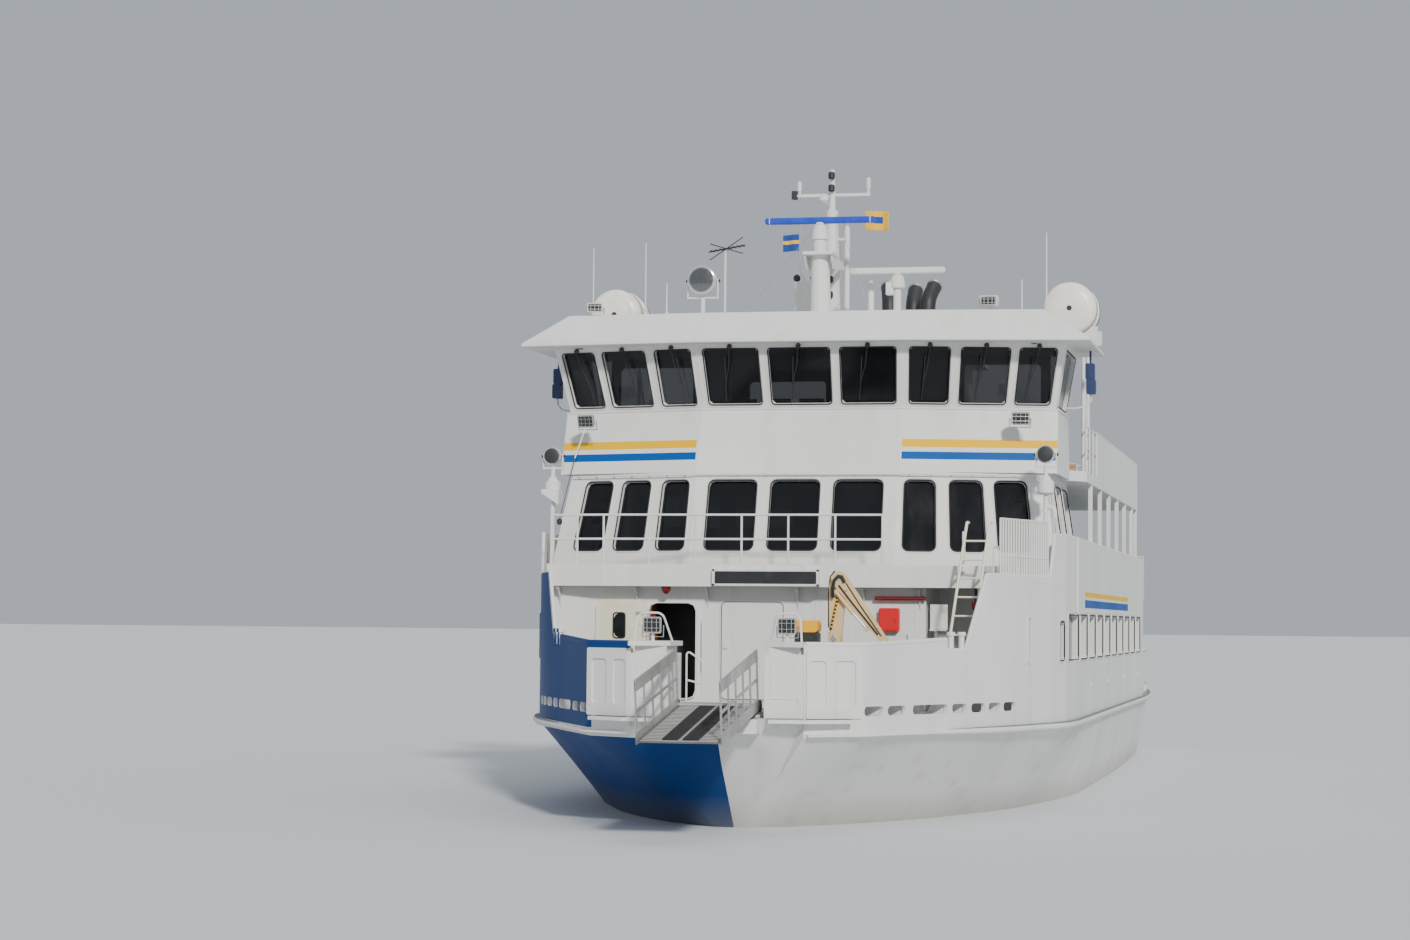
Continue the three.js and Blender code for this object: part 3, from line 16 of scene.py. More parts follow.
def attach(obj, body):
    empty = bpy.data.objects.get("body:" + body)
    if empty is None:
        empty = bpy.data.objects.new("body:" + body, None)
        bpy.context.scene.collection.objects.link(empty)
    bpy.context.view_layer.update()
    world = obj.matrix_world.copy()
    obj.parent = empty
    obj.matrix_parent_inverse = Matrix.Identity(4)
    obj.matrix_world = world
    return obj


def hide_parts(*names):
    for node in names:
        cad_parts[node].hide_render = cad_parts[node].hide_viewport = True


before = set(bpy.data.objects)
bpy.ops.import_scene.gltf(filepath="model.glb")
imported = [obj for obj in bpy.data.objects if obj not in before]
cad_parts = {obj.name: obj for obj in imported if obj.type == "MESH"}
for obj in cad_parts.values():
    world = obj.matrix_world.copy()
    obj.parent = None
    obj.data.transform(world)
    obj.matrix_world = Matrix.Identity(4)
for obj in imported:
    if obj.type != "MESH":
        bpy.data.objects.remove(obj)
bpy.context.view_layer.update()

# %% [markdown]
# ## Camera
#
# A ship looks like itself only from the height and distance it was seen from. The camera stands ahead of the
# bow, a little to port, on the height of the fore deck, and its lens is long, so the decks hardly converge.
# Its turn is built from three directions, because a camera looks down its own -Z with +Y up.

# %% Place the camera
PHOTO_WIDTH = 1410
FOCAL_PIXELS = 2892
SENSOR_MM = 36.0
EYE = Vector((63.13, 9.75, 3.40))
YAW, PITCH, ROLL = (radians(a) for a in (12.37, 2.98, 0.50))


def put(name, data):
    """A new object in the scene."""
    made = bpy.data.objects.new(name, data)
    bpy.context.collection.objects.link(made)
    return made


def make_camera():
    ahead = Vector((-cos(YAW) * cos(PITCH), -sin(YAW) * cos(PITCH), sin(PITCH)))
    level = ahead.cross(Vector((0, 0, 1))).normalized()
    upright = level.cross(ahead)
    right = cos(ROLL) * level + sin(ROLL) * upright
    up = -sin(ROLL) * level + cos(ROLL) * upright
    data = bpy.data.cameras.new("camera")
    data.sensor_width = SENSOR_MM
    data.lens = SENSOR_MM * FOCAL_PIXELS / PHOTO_WIDTH
    data.clip_end = 2000
    camera = put("camera", data)
    turn = Matrix((right, up, -ahead)).transposed()
    camera.matrix_world = Matrix.Translation(EYE) @ turn.to_4x4()
    bpy.context.scene.camera = camera
    print("The lens is", round(data.lens, 1), "mm")


make_camera()

# %% [markdown]
# ## Floor and light
#
# The ship floats, so the floor lies at the waterline and hides what is below it. The light comes low from
# the port bow. One wide soft lamp gives the same side of every form its light, and a pale world fills the
# rest, so no shadow is hard.

# %% Lay the floor and hang the lamps
FLOOR_REACH = 900.0


def make_floor():
    r = FLOOR_REACH
    mesh = bpy.data.meshes.new("floor")
    mesh.from_pydata([(-r, -r, 0), (r, -r, 0), (r, r, 0), (-r, r, 0)], [], [(0, 1, 2, 3)])
    paper = bpy.data.materials.new("floor_paper")
    paper.use_nodes = True
    shader = paper.node_tree.nodes["Principled BSDF"]
    shader.inputs["Base Color"].default_value = (0.66, 0.68, 0.70, 1)
    shader.inputs["Roughness"].default_value = 0.9
    mesh.materials.append(paper)
    put("floor", mesh)


def make_lamp(name, azimuth, elevation, strength, angle, colour):
    a, e = radians(azimuth), radians(elevation)
    toward = Vector((cos(a) * cos(e), sin(a) * cos(e), sin(e)))
    data = bpy.data.lights.new(name, "SUN")
    data.energy = strength
    data.angle = radians(angle)
    data.color = colour
    lamp = put(name, data)
    lamp.rotation_mode = "QUATERNION"
    lamp.rotation_quaternion = toward.to_track_quat("Z", "Y")


def make_world():
    world = bpy.data.worlds.new("studio")
    world.use_nodes = True
    sky = world.node_tree.nodes["Background"]
    sky.inputs["Color"].default_value = (0.78, 0.84, 0.92, 1)
    sky.inputs["Strength"].default_value = 0.58
    bpy.context.scene.world = world


make_floor()
make_world()
make_lamp("key", azimuth=24, elevation=26, strength=3.4, angle=5, colour=(1.0, 0.97, 0.92))
make_lamp("top", azimuth=120, elevation=70, strength=0.5, angle=40, colour=(0.92, 0.96, 1.0))
print("The floor lies at the waterline and", len(bpy.data.lights), "lamps light the ship")

# %% [markdown]
# ## A bench for mixing finishes
#
# A finish is never one flat colour: paint on a ship is dulled by salt, runs with dirty rain and shows the
# frames behind the plate as faint ripples. Each of these is a noise read at the point's own place on the
# ship, so it has the right size and stays where it is when the ship is seen from another side. The class
# below keeps the wiring short: it adds a node, sets its sockets by name and joins what is itself a socket.

# %% Colours
def varnish(weight, roughness):
    """A clear coat over the colour."""
    return {"Coat Weight": weight, "Coat Roughness": roughness}


def colour_of(red, green, blue):
    """A colour given in steps of 255, made linear."""
    return tuple((c / 255) ** 2.2 for c in (red, green, blue)) + (1.0,)


def shade(colour, share):
    """A darker shade of a colour."""
    return tuple(c * share for c in colour[:3]) + (1.0,)


print("A grey that looks half as bright as white is", round(colour_of(128, 128, 128)[0], 2), "of it")

# %% Finish
class Nodes:
    """A node tree with short ways to add to it. A socket is set to a value or joined to another socket."""

    def __init__(self, tree, kinds):
        self.tree = tree
        self.kinds = kinds

    def give(self, node, sockets):
        for name, value in sockets.items():
            if isinstance(value, bpy.types.NodeSocket):
                self.tree.links.new(value, node.inputs[name])
            else:
                node.inputs[name].default_value = value

    def node(self, kind, sockets=None, **settings):
        made = self.tree.nodes.new(self.kinds + kind)
        for name, value in settings.items():
            setattr(made, name, value)
        self.give(made, sockets or {})
        return made


class Finish(Nodes):
    """One material."""

    def __init__(self, name, colour, roughness, metallic=0.0, more=None):
        self.material = bpy.data.materials.new(name)
        self.material.use_nodes = True
        super().__init__(self.material.node_tree, "ShaderNode")
        self.shader = self.tree.nodes["Principled BSDF"]
        self.give(self.shader, {"Base Color": colour, "Roughness": roughness, "Metallic": metallic})
        self.give(self.shader, more or {})
        self.place = self.node("TexCoord")
        self.colour = colour

    def reckon(self, operation, a, b=0.0):
        return self.node("Math", {0: a, 1: b}, operation=operation).outputs[0]

    def over_limit(self, value, limit):
        return self.reckon("GREATER_THAN", value, limit)

    def under_limit(self, value, limit):
        return self.reckon("LESS_THAN", value, limit)

    def size(self, value):
        """The value without its sign."""
        return self.reckon("ABSOLUTE", value)

    def axis(self, letter, source="Object"):
        split = self.node("SeparateXYZ", {0: self.place.outputs[source]})
        return split.outputs[letter]

    def facing(self, letter):
        return self.axis(letter, "Normal")

    def noise(self, scale, stretch=(1, 1, 1), detail=4.0):
        spread = self.node("Mapping", {"Vector": self.place.outputs["Object"], "Scale": stretch})
        grain = {"Vector": spread.outputs[0], "Scale": scale, "Detail": detail}
        return self.node("TexNoise", grain).outputs["Fac"]

    def fade(self, value, low, high, start=0.0, end=1.0):
        reach = {"Value": value, "From Min": low, "From Max": high, "To Min": start, "To Max": end}
        return self.node("MapRange", reach).outputs[0]

    def within(self, value, low, high):
        return self.all_of(self.over_limit(value, low), self.under_limit(value, high))

    def all_of(self, *masks):
        result = masks[0]
        for mask in masks[1:]:
            result = self.reckon("MULTIPLY", result, mask)
        return result

    def over(self, colour, mask):
        """Lays a colour over what is there, where the mask is one."""
        mix = self.node("Mix", {0: mask, 6: self.colour, 7: colour}, data_type="RGBA")
        self.colour = mix.outputs[2]
        self.give(self.shader, {"Base Color": self.colour})

    def rough(self, value, low, high):
        self.give(self.shader, {"Roughness": self.fade(value, 0.3, 0.7, low, high)})

    def bump(self, height, distance, strength=0.5):
        raised = {"Height": height, "Distance": distance, "Strength": strength}
        before = self.shader.inputs["Normal"].links
        if before:
            raised["Normal"] = before[0].from_socket
        self.give(self.shader, {"Normal": self.node("Bump", raised).outputs[0]})


tools = [name for name in vars(Finish) if not name.startswith("_")]
print("A finish is mixed with", len(tools), "tools:", ", ".join(tools))

# %% [markdown]
# ## Ship's paint
#
# White gloss on steel plate: clouds of slightly duller white, long runs where rain washes the dirt down,
# rusty specks and the soft ripple of plate that was welded to frames. One function mixes this white, and the
# walls that carry bands of colour or a deck underfoot lay these over it, by place.

# %% Paint
WHITE = (0.76, 0.76, 0.745, 1)
GRIME = colour_of(170, 160, 142)
RUST = colour_of(128, 72, 38)
DECK_GREY = colour_of(112, 120, 120)
STRIPE_YELLOW = colour_of(240, 186, 6)
STRIPE_BLUE = colour_of(4, 84, 160)
# Blue paint, made darker than the paint itself by painted shade, because the starboard side lies in shade.
SHADED_HULL_BLUE = colour_of(28, 64, 118)
ANTIFOULING = colour_of(96, 34, 30)
PAINT_ROUGH = (0.48, 0.62)
HOUSE_DECK, FORE_DECK, UPPER_DECK, SUN_DECK = 1.65, 1.85, 4.10, 6.35


def paint(name, streaks=0.20, ripple=0.004):
    mix = Finish(name, WHITE, PAINT_ROUGH[0], more={"Specular IOR Level": 0.12, **varnish(0.02, 0.5)})
    cloud = mix.noise(0.45)
    mix.over(shade(WHITE, 0.9), mix.fade(cloud, 0.35, 0.7, 0.0, 0.8))
    run = mix.fade(mix.noise(1.0, (2.6, 2.6, 0.16), 7.0), 0.54, 0.78, 0.0, streaks)
    mix.over(GRIME, run)
    mix.over(RUST, mix.fade(mix.noise(5.0, (1, 1, 0.35), 3.0), 0.74, 0.80, 0.0, streaks))
    mix.rough(cloud, *PAINT_ROUGH)
    mix.bump(mix.noise(0.9, (1, 1, 1.4), 2.0), ripple, 0.6)
    return mix


def deck_paint(mix, *levels):
    """Grey gritty paint on what faces up at the given heights."""
    up = mix.over_limit(mix.facing("Z"), 0.7)
    height = mix.axis("Z")
    worn = mix.fade(mix.noise(1.6, detail=6.0), 0.45, 0.75, 0.0, 0.6)
    for level in levels:
        here = mix.all_of(up, mix.within(height, level - 0.03, level + 0.03))
        mix.over(DECK_GREY, here)
        mix.over(colour_of(150, 152, 148), mix.all_of(here, worn))
    mix.bump(mix.all_of(up, mix.noise(160.0, detail=1.0)), 0.002, 0.3)
    return mix


def stripes(mix, here, yellow, blue):
    height = mix.axis("Z")
    mix.over(STRIPE_YELLOW, mix.all_of(here, mix.within(height, *yellow)))
    mix.over(STRIPE_BLUE, mix.all_of(here, mix.within(height, *blue)))
    return mix


# %% Paints that know their place
def band_paint():
    mix = paint("band_paint")
    across = mix.size(mix.axis("Y"))
    outer = mix.all_of(mix.within(across, 1.93, 4.70), mix.over_limit(mix.facing("X"), 0.2))
    return stripes(mix, outer, (6.615, 6.765), (6.388, 6.53)).material


def side_paint():
    mix = paint("side_paint", streaks=0.28)
    across = mix.size(mix.facing("Y"))
    outboard = mix.over_limit(mix.size(mix.axis("Y")), 4.87)
    outer = mix.all_of(outboard, mix.over_limit(across, 0.5), mix.within(mix.axis("X"), -4.36, 7.26))
    return stripes(mix, outer, (3.915, 4.09), (3.705, 3.86)).material


def hull_paint():
    """White to port, blue darkened by painted shade to starboard, and dark red below the waterline."""
    mix = paint("hull_paint", streaks=0.34, ripple=0.010)
    height = mix.axis("Z")
    below = mix.all_of(mix.under_limit(mix.axis("Y"), 0.0), mix.under_limit(height, 1.505),
                       mix.over_limit(mix.facing("X"), -0.7))
    outward = mix.all_of(mix.under_limit(mix.axis("Y"), -1.45), mix.under_limit(mix.facing("Y"), -0.1))
    above = mix.all_of(outward, mix.over_limit(height, 1.645), mix.under_limit(mix.axis("X"), 17.2))
    mix.over(SHADED_HULL_BLUE, mix.reckon("MAXIMUM", below, above))
    deck_paint(mix, HOUSE_DECK, FORE_DECK)
    scum = mix.fade(mix.axis("Z"), 0.0, 0.55, 0.4, 0.0)
    mix.over(colour_of(140, 138, 112), scum)
    mix.over(ANTIFOULING, mix.under_limit(mix.axis("Z"), -0.02))
    return mix.material


def starboard_paint():
    """Blue paint darkened by painted shade outside, and white inside and on the front."""
    mix = paint("starboard_paint")
    aft = mix.under_limit(mix.axis("X"), 17.13)
    over_panel = mix.over_limit(mix.axis("Z"), 2.945)
    mix.over(SHADED_HULL_BLUE, mix.all_of(
        mix.reckon("MAXIMUM", aft, over_panel), mix.under_limit(mix.facing("Y"), -0.2),
        mix.under_limit(mix.axis("Z"), 4.235)))
    return mix.material


WHITE_PAINT = paint("white_paint").material
DECKHOUSE_PAINT = deck_paint(paint("deckhouse_paint"), UPPER_DECK, SUN_DECK).material
BAND_PAINT = band_paint()
SIDE_PAINT = side_paint()
HULL_PAINT = hull_paint()
STARBOARD_PAINT = starboard_paint()
print("Six paints are mixed")

# %% [markdown]
# ## Metal, glass, rubber and plastic
#
# Aluminium that is never painted turns matt and blotchy, glass on a ship is tinted nearly black, and rubber
# is dull where it ages. Each function says what makes its material differ from a plain colour.

# %% Other finishes
def weathered_metal(name, colour, roughness, grain=30.0, metallic=0.85):
    mix = Finish(name, colour, roughness, metallic)
    blotch = mix.noise(2.2, detail=6.0)
    mix.over(shade(colour, 0.72), mix.fade(blotch, 0.4, 0.7, 0.0, 0.9))
    mix.rough(blotch, roughness - 0.08, roughness + 0.16)
    mix.bump(mix.noise(grain, detail=3.0), 0.0015, 0.4)
    return mix.material


def tinted_glass(name, see_through):
    more = {"Alpha": 1.0 - see_through, "Specular IOR Level": 0.35}
    mix = Finish(name, (0.006, 0.007, 0.009, 1), 0.05, more=more)
    mix.over((0.014, 0.016, 0.018, 1), mix.fade(mix.noise(0.7), 0.45, 0.8, 0.0, 0.7))
    mix.rough(mix.noise(3.0, (1, 1, 0.4), 4.0), 0.03, 0.11)
    mix.bump(mix.noise(0.6), 0.004, 0.15)
    return mix.material


def dull_plastic(name, colour, roughness=0.55, more=None):
    mix = Finish(name, colour, roughness, more=more)
    wear = mix.noise(3.5, detail=5.0)
    pale = tuple(min(1.0, c * 1.25 + 0.01) for c in colour[:3]) + (1.0,)
    mix.over(pale, mix.fade(wear, 0.45, 0.75, 0.0, 0.6))
    mix.rough(wear, roughness - 0.1, min(1.0, roughness + 0.15))
    mix.bump(mix.noise(90.0, detail=2.0), 0.0008, 0.4)
    return mix.material


def worn_paint(name, colour, under, roughness=0.42):
    """Paint that is chipped through to what is under it."""
    mix = Finish(name, colour, roughness, more=varnish(0.15, 0.3))
    cloud = mix.noise(1.4, detail=6.0)
    mix.over(shade(colour, 0.8), mix.fade(cloud, 0.4, 0.75, 0.0, 0.8))
    chips = mix.fade(mix.noise(14.0, (1, 1, 0.7), 5.0), 0.66, 0.70)
    mix.over(under, chips)
    mix.rough(cloud, roughness - 0.08, roughness + 0.2)
    mix.bump(mix.reckon("SUBTRACT", mix.noise(20.0), chips), 0.002, 0.5)
    return mix.material


def woven_cloth(name, colour, other):
    mix = Finish(name, colour, 0.85, more={"Sheen Weight": 0.3})
    across = mix.node("TexWave", {"Scale": 150.0, "Vector": mix.place.outputs["Object"]})
    mix.over(other, mix.fade(mix.noise(6.0, detail=4.0), 0.4, 0.7, 0.0, 0.5))
    mix.bump(across.outputs["Fac"], 0.0006, 0.4)
    return mix.material


def planed_wood(name, colour, dark):
    mix = Finish(name, colour, 0.45, more=varnish(0.3, 0.25))
    grain = mix.noise(6.0, (1, 0.12, 1), 8.0)
    mix.over(dark, mix.fade(grain, 0.42, 0.66))
    mix.rough(grain, 0.35, 0.6)
    mix.bump(grain, 0.001, 0.5)
    return mix.material


# %% Every other material of the ship
ALUMINIUM = weathered_metal("ramp_aluminium", (0.50, 0.50, 0.48, 1), 0.46)
RAMP_TREAD = weathered_metal("ramp_tread", (0.17, 0.165, 0.155, 1), 0.6, grain=70.0, metallic=0.5)
STEEL = weathered_metal("bright_steel", (0.62, 0.62, 0.61, 1), 0.3)
CHROME = weathered_metal("mirror_chrome", (0.80, 0.80, 0.79, 1), 0.12, metallic=1.0)
BRONZE = weathered_metal("cast_bronze", (0.60, 0.40, 0.16, 1), 0.35, metallic=1.0)
SALOON_GLASS = tinted_glass("saloon_glass_tint", 0.10)
BRIDGE_GLASS = tinted_glass("bridge_glass_tint", 0.30)
LENS_GLASS = tinted_glass("lens_glass", 0.55)
RUBBER = dull_plastic("black_rubber", (0.016, 0.016, 0.017, 1), 0.7)
BLACK = dull_plastic("black_plastic", (0.022, 0.023, 0.025, 1), 0.5)
SIGN = dull_plastic("sign_screen", (0.010, 0.012, 0.013, 1), 0.3, more=varnish(0.6, 0.1))
SHELL = dull_plastic("raft_shell", colour_of(238, 234, 222), 0.4, more=varnish(0.2, 0.2))
SCANNER_BLUE = dull_plastic("scanner_blue", colour_of(22, 66, 186), 0.35, more=varnish(0.3, 0.1))
SCANNER_DARK = dull_plastic("instrument_blue", colour_of(34, 52, 92), 0.45)
RED = worn_paint("signal_red", colour_of(214, 22, 26), colour_of(150, 30, 28), 0.35)
DARK_RED = worn_paint("dark_red", colour_of(116, 20, 24), colour_of(70, 20, 20), 0.4)
CREAM = worn_paint("door_cream", colour_of(233, 226, 203), colour_of(196, 184, 150), 0.35)
CRANE_CREAM = worn_paint("crane_cream", colour_of(222, 190, 138), colour_of(140, 104, 66))
YELLOW = worn_paint("cover_yellow", colour_of(246, 176, 8), colour_of(170, 120, 30), 0.5)
ORANGE_WOOD = planed_wood("varnished_wood", colour_of(176, 92, 40), colour_of(112, 48, 20))
BENCH_WOOD = planed_wood("bench_wood", colour_of(182, 138, 88), colour_of(120, 82, 46))
SEAT_CLOTH = woven_cloth("seat_cloth", colour_of(52, 76, 122), colour_of(34, 52, 92))
LAMP_FINISHES = [BLACK, STEEL, LENS_GLASS, CHROME]
print(len(bpy.data.materials), "materials in all")

# %% [markdown]
# ## Corners and faces
#
# Plates, boxes and pipes are easiest to build as rings of corners with a skin between them. One class gathers
# them, so that a fitting of twenty small parts is still one mesh. The finish of each face is kept beside
# it. At the end the normals are turned outwards and only edges sharper than an angle stay hard.

# %% Arcs and rings
def arc(centre, radius, start, end, steps):
    """Corners (a, b) on an arc from start to end in degrees."""
    turns = [radians(start + (end - start) * i / steps) for i in range(steps + 1)]
    return [(centre[0] + radius * cos(t), centre[1] + radius * sin(t)) for t in turns]


def rounded(a0, a1, b0, b1, r, steps=4):
    """Outline of a rectangle with round corners."""
    return (arc((a1 - r, b0 + r), r, -90, 0, steps) + arc((a1 - r, b1 - r), r, 0, 90, steps)
            + arc((a0 + r, b1 - r), r, 90, 180, steps) + arc((a0 + r, b0 + r), r, 180, 270, steps))


def around(count):
    """Angles in even steps round a circle."""
    return [2 * pi * k / count for k in range(count)]


def rings_along(path, radius, sides, wrap=False):
    """Round rings across a path, each turned as little as can be from the one before."""
    path = [Vector(p) for p in path]
    rings = []
    side = None
    for i, p in enumerate(path):
        back = path[i - 1] if i or wrap else p
        ahead = path[(i + 1) % len(path)] if i + 1 < len(path) or wrap else p
        way = ((ahead - p).normalized() + (p - back).normalized()).normalized()
        side = side or way.orthogonal().normalized()
        side = (side - way * side.dot(way)).normalized()
        other = way.cross(side)
        rings.append([p + radius * (cos(t) * side + sin(t) * other) for t in around(sides)])
    return rings


# %% Form
class Form:
    """Corners and faces of one piece, in metres. A mark is the number of a face's finish."""

    def __init__(self):
        self.corners = []
        self.faces = []
        self.marks = []

    def skin(self, rings, mark=0, wrap=False):
        n = len(rings[0])
        rows = len(rings)
        start = len(self.corners)
        self.corners += [tuple(p) for ring in rings for p in ring]
        for r in range(rows if wrap else rows - 1):
            a = start + r * n
            b = start + (r + 1) % rows * n
            self.faces += [(a + i, a + (i + 1) % n, b + (i + 1) % n, b + i) for i in range(n)]
        if not wrap:
            self.faces.append(tuple(range(start + n - 1, start - 1, -1)))
            self.faces.append(tuple(range(start + (rows - 1) * n, start + rows * n)))
        self.marks += [mark] * (len(self.faces) - len(self.marks))
        return self

    def prism(self, outline, along, low, high, mark=0):
        """Outline corners are x, y along z, then x, z along y and y, z along x."""
        def place(a, b, c):
            return {"z": (a, b, c), "y": (a, c, b), "x": (c, a, b)}[along]
        return self.skin([[place(a, b, c) for a, b in outline] for c in (low, high)], mark)

    def block(self, low, high, mark=0):
        (x0, y0, z0), (x1, y1, z1) = low, high
        return self.prism([(x0, y0), (x1, y0), (x1, y1), (x0, y1)], "z", z0, z1, mark)

    def pipe(self, path, radius, sides=10, mark=0, wrap=False):
        return self.skin(rings_along(path, radius, sides, wrap), mark, wrap)

    def turned(self, start, end, profile, sides=24, mark=0):
        """A turned form from start to end. A profile is rows of share of the way and radius, or two end
        radii, or one radius."""
        if not isinstance(profile, list):
            profile = list(zip((0, 1), profile if isinstance(profile, tuple) else (profile, profile)))
        start, end = Vector(start), Vector(end)
        way = (end - start).normalized()
        side = way.orthogonal().normalized()
        other = way.cross(side)
        ring = [cos(t) * side + sin(t) * other for t in around(sides)]
        rings = [[start.lerp(end, share) + radius * p for p in ring] for share, radius in profile]
        return self.skin(rings, mark)

    def upright(self, x, y, low, high, profile, sides=24, mark=0):
        return self.turned((x, y, low), (x, y, high), profile, sides, mark)

    def moved(self, matrix):
        self.corners = [tuple(matrix @ Vector(c)) for c in self.corners]
        return self

    def on_side(self, hand):
        """The form to port as drawn, where hand is 1, or its mirror image to starboard, where it is -1."""
        self.corners = [(x, hand * y, z) for x, y, z in self.corners]
        return self

    def add(self, other):
        start = len(self.corners)
        self.corners += other.corners
        self.faces += [tuple(start + i for i in face) for face in other.faces]
        self.marks += other.marks
        return self

    def both_sides(self):
        return self.add(gather([self]).on_side(-1))

    def mesh(self, name, finishes):
        made = bpy.data.meshes.new(name)
        made.from_pydata(self.corners, [], self.faces)
        for finish in finishes:
            made.materials.append(finish)
        made.polygons.foreach_set("material_index", self.marks)
        clean(made)
        return made


print("A block has", len(Form().block((0, 0, 0), (1, 1, 1)).faces), "faces")

# %% From forms to pieces
SMOOTH_UP_TO = 35
BEVEL_FROM = 40


def gather(forms):
    """Several forms as one."""
    whole = Form()
    for form in forms:
        whole.add(form)
    return whole


def at(x, outline):
    """An outline in y and z, set up across the ship at x."""
    return [(x, y, z) for y, z in outline]


def clean(mesh):
    """Turns faces outwards and keeps only the edges over an angle hard."""
    work = bmesh.new()
    work.from_mesh(mesh)
    bmesh.ops.recalc_face_normals(work, faces=work.faces)
    work.to_mesh(mesh)
    work.free()
    mesh.shade_smooth()
    mesh.set_sharp_from_angle(angle=radians(SMOOTH_UP_TO))


def settle(made, body="ship", replaces=()):
    """Sets an object on its body and hides the parts of the frame that it replaces."""
    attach(made, body)
    if replaces:
        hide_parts(*replaces)
    return made


def piece(form, name, finishes=(WHITE_PAINT,), body="ship", replaces=(), bevel=0.0):
    made = put(name, form.mesh(name, finishes))
    if bevel:
        edge = made.modifiers.new("edge", "BEVEL")
        edge.width = bevel
        edge.segments = 2
        edge.limit_method = "ANGLE"
        edge.angle_limit = radians(BEVEL_FROM)
    return settle(made, body, replaces)


def repaint(finish, *nodes):
    for name in nodes:
        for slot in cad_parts[name].material_slots:
            slot.material = finish


# %% [markdown]
# ## Trees that repeat and follow
#
# A ship has hundreds of metres of railing, pipe and moulding. All of it is a round bar on a line, so one
# Geometry Nodes tree draws a bar on every edge that it is given. A second tree sets copies of a small pattern
# on points, for rungs, slats, bolts and pickets. Each tree has named inputs, makes its copies real and sets
# the finish, because an exported file keeps only real meshes. The result is taken as a plain mesh.

# %% Tree
class Tree(Nodes):
    """A Geometry Nodes tree with named inputs."""

    def __init__(self, name, **inputs):
        super().__init__(bpy.data.node_groups.new(name, "GeometryNodeTree"), "GeometryNode")
        face = self.tree.interface
        face.new_socket("Shape", in_out="INPUT", socket_type="NodeSocketGeometry")
        for label, kind in inputs.items():
            face.new_socket(label, in_out="INPUT", socket_type="NodeSocket" + kind)
        face.new_socket("Shape", in_out="OUTPUT", socket_type="NodeSocketGeometry")
        self.given = self.tree.nodes.new("NodeGroupInput").outputs
        self.result = self.tree.nodes.new("NodeGroupOutput")

    def end(self, shape):
        real = self.node("RealizeInstances", {0: shape})
        coated = self.node("SetMaterial", {"Geometry": real.outputs[0], "Material": self.given["Finish"]})
        self.give(self.result, {0: coated.outputs[0]})
        return self

    def grow(self, name, mesh, **values):
        """Runs the tree on a mesh and gives back a plain mesh."""
        seed = put(name + "_seed", mesh)
        nodes = seed.modifiers.new("nodes", "NODES")
        nodes.node_group = self.tree
        for item in self.tree.interface.items_tree:
            if item.in_out == "INPUT" and item.name in values:
                nodes[item.identifier] = values[item.name]
        bpy.context.view_layer.update()
        evaluated = seed.evaluated_get(bpy.context.evaluated_depsgraph_get())
        made = bpy.data.meshes.new_from_object(evaluated)
        bpy.data.objects.remove(seed)
        made.name = name
        clean(made)
        return made


# %% Two trees
def bar_tree():
    tree = Tree("bars_on_edges", Radius="Float", Bend="Float", Sides="Int", Finish="Material")
    line = tree.node("MeshToCurve", {"Mesh": tree.given["Shape"]})
    bent = tree.node("FilletCurve", {"Curve": line.outputs[0], "Radius": tree.given["Bend"], "Count": 4,
                                     "Limit Radius": True}, mode="POLY")
    ring = {"Resolution": tree.given["Sides"], "Radius": tree.given["Radius"]}
    profile = tree.node("CurvePrimitiveCircle", ring, mode="RADIUS")
    bar = {"Curve": bent.outputs[0], "Profile Curve": profile.outputs[0], "Fill Caps": True}
    return tree.end(tree.node("CurveToMesh", bar).outputs[0])


def copy_tree():
    tree = Tree("copies_on_points", Pattern="Object", Finish="Material")
    pattern = tree.node("ObjectInfo", {"Object": tree.given["Pattern"]})
    turn = tree.node("InputNamedAttribute", {"Name": "turn"}, data_type="FLOAT_VECTOR")
    size = tree.node("InputNamedAttribute", {"Name": "size"}, data_type="FLOAT_VECTOR")
    spread = {"Points": tree.given["Shape"], "Instance": pattern.outputs["Geometry"],
              "Rotation": turn.outputs[0], "Scale": size.outputs[0]}
    return tree.end(tree.node("InstanceOnPoints", spread).outputs[0])


BARS = bar_tree()
COPIES = copy_tree()
print("Two trees are ready:", BARS.tree.name, "and", COPIES.tree.name)


# %% Bars and copies
def edge_mesh(paths):
    """A mesh of edges along paths. A path whose last corner is its first is closed."""
    corners, edges = [], []
    for path in paths:
        closed = tuple(path[0]) == tuple(path[-1])
        start = len(corners)
        corners += [tuple(p) for p in (path[:-1] if closed else path)]
        count = len(corners) - start
        edges += [(start + i, start + (i + 1) % count) for i in range(count if closed else count - 1)]
    mesh = bpy.data.meshes.new("paths")
    mesh.from_pydata(corners, edges, [])
    return mesh


def bars(name, paths, radius, finish=WHITE_PAINT, body="ship", replaces=(), bend=0.0, sides=8):
    """Round bars along paths, as one piece."""
    mesh = BARS.grow(name, edge_mesh(paths), Radius=radius, Bend=bend, Sides=sides, Finish=finish)
    return settle(put(name, mesh), body, replaces)


def copies(name, pattern, places, finish, body="ship", replaces=()):
    """Copies of a form. Places are (point, turn in degrees, size)."""
    model = put(name + "_pattern", pattern.mesh(name + "_pattern", [finish]))
    mesh = bpy.data.meshes.new("points")
    mesh.from_pydata([tuple(p) for p, _, _ in places], [], [])
    turns = [radians(a) for _, turn, _ in places for a in turn]
    sizes = [float(s) for _, _, size in places for s in size]
    mesh.attributes.new("turn", "FLOAT_VECTOR", "POINT").data.foreach_set("vector", turns)
    mesh.attributes.new("size", "FLOAT_VECTOR", "POINT").data.foreach_set("vector", sizes)
    grown = COPIES.grow(name, mesh, Pattern=model, Finish=finish)
    bpy.data.objects.remove(model)
    return settle(put(name, grown), body, replaces)


UNIT = (1, 1, 1)
LEVEL = (0, 0, 0)
SIDES = (("port", 1), ("starboard", -1))

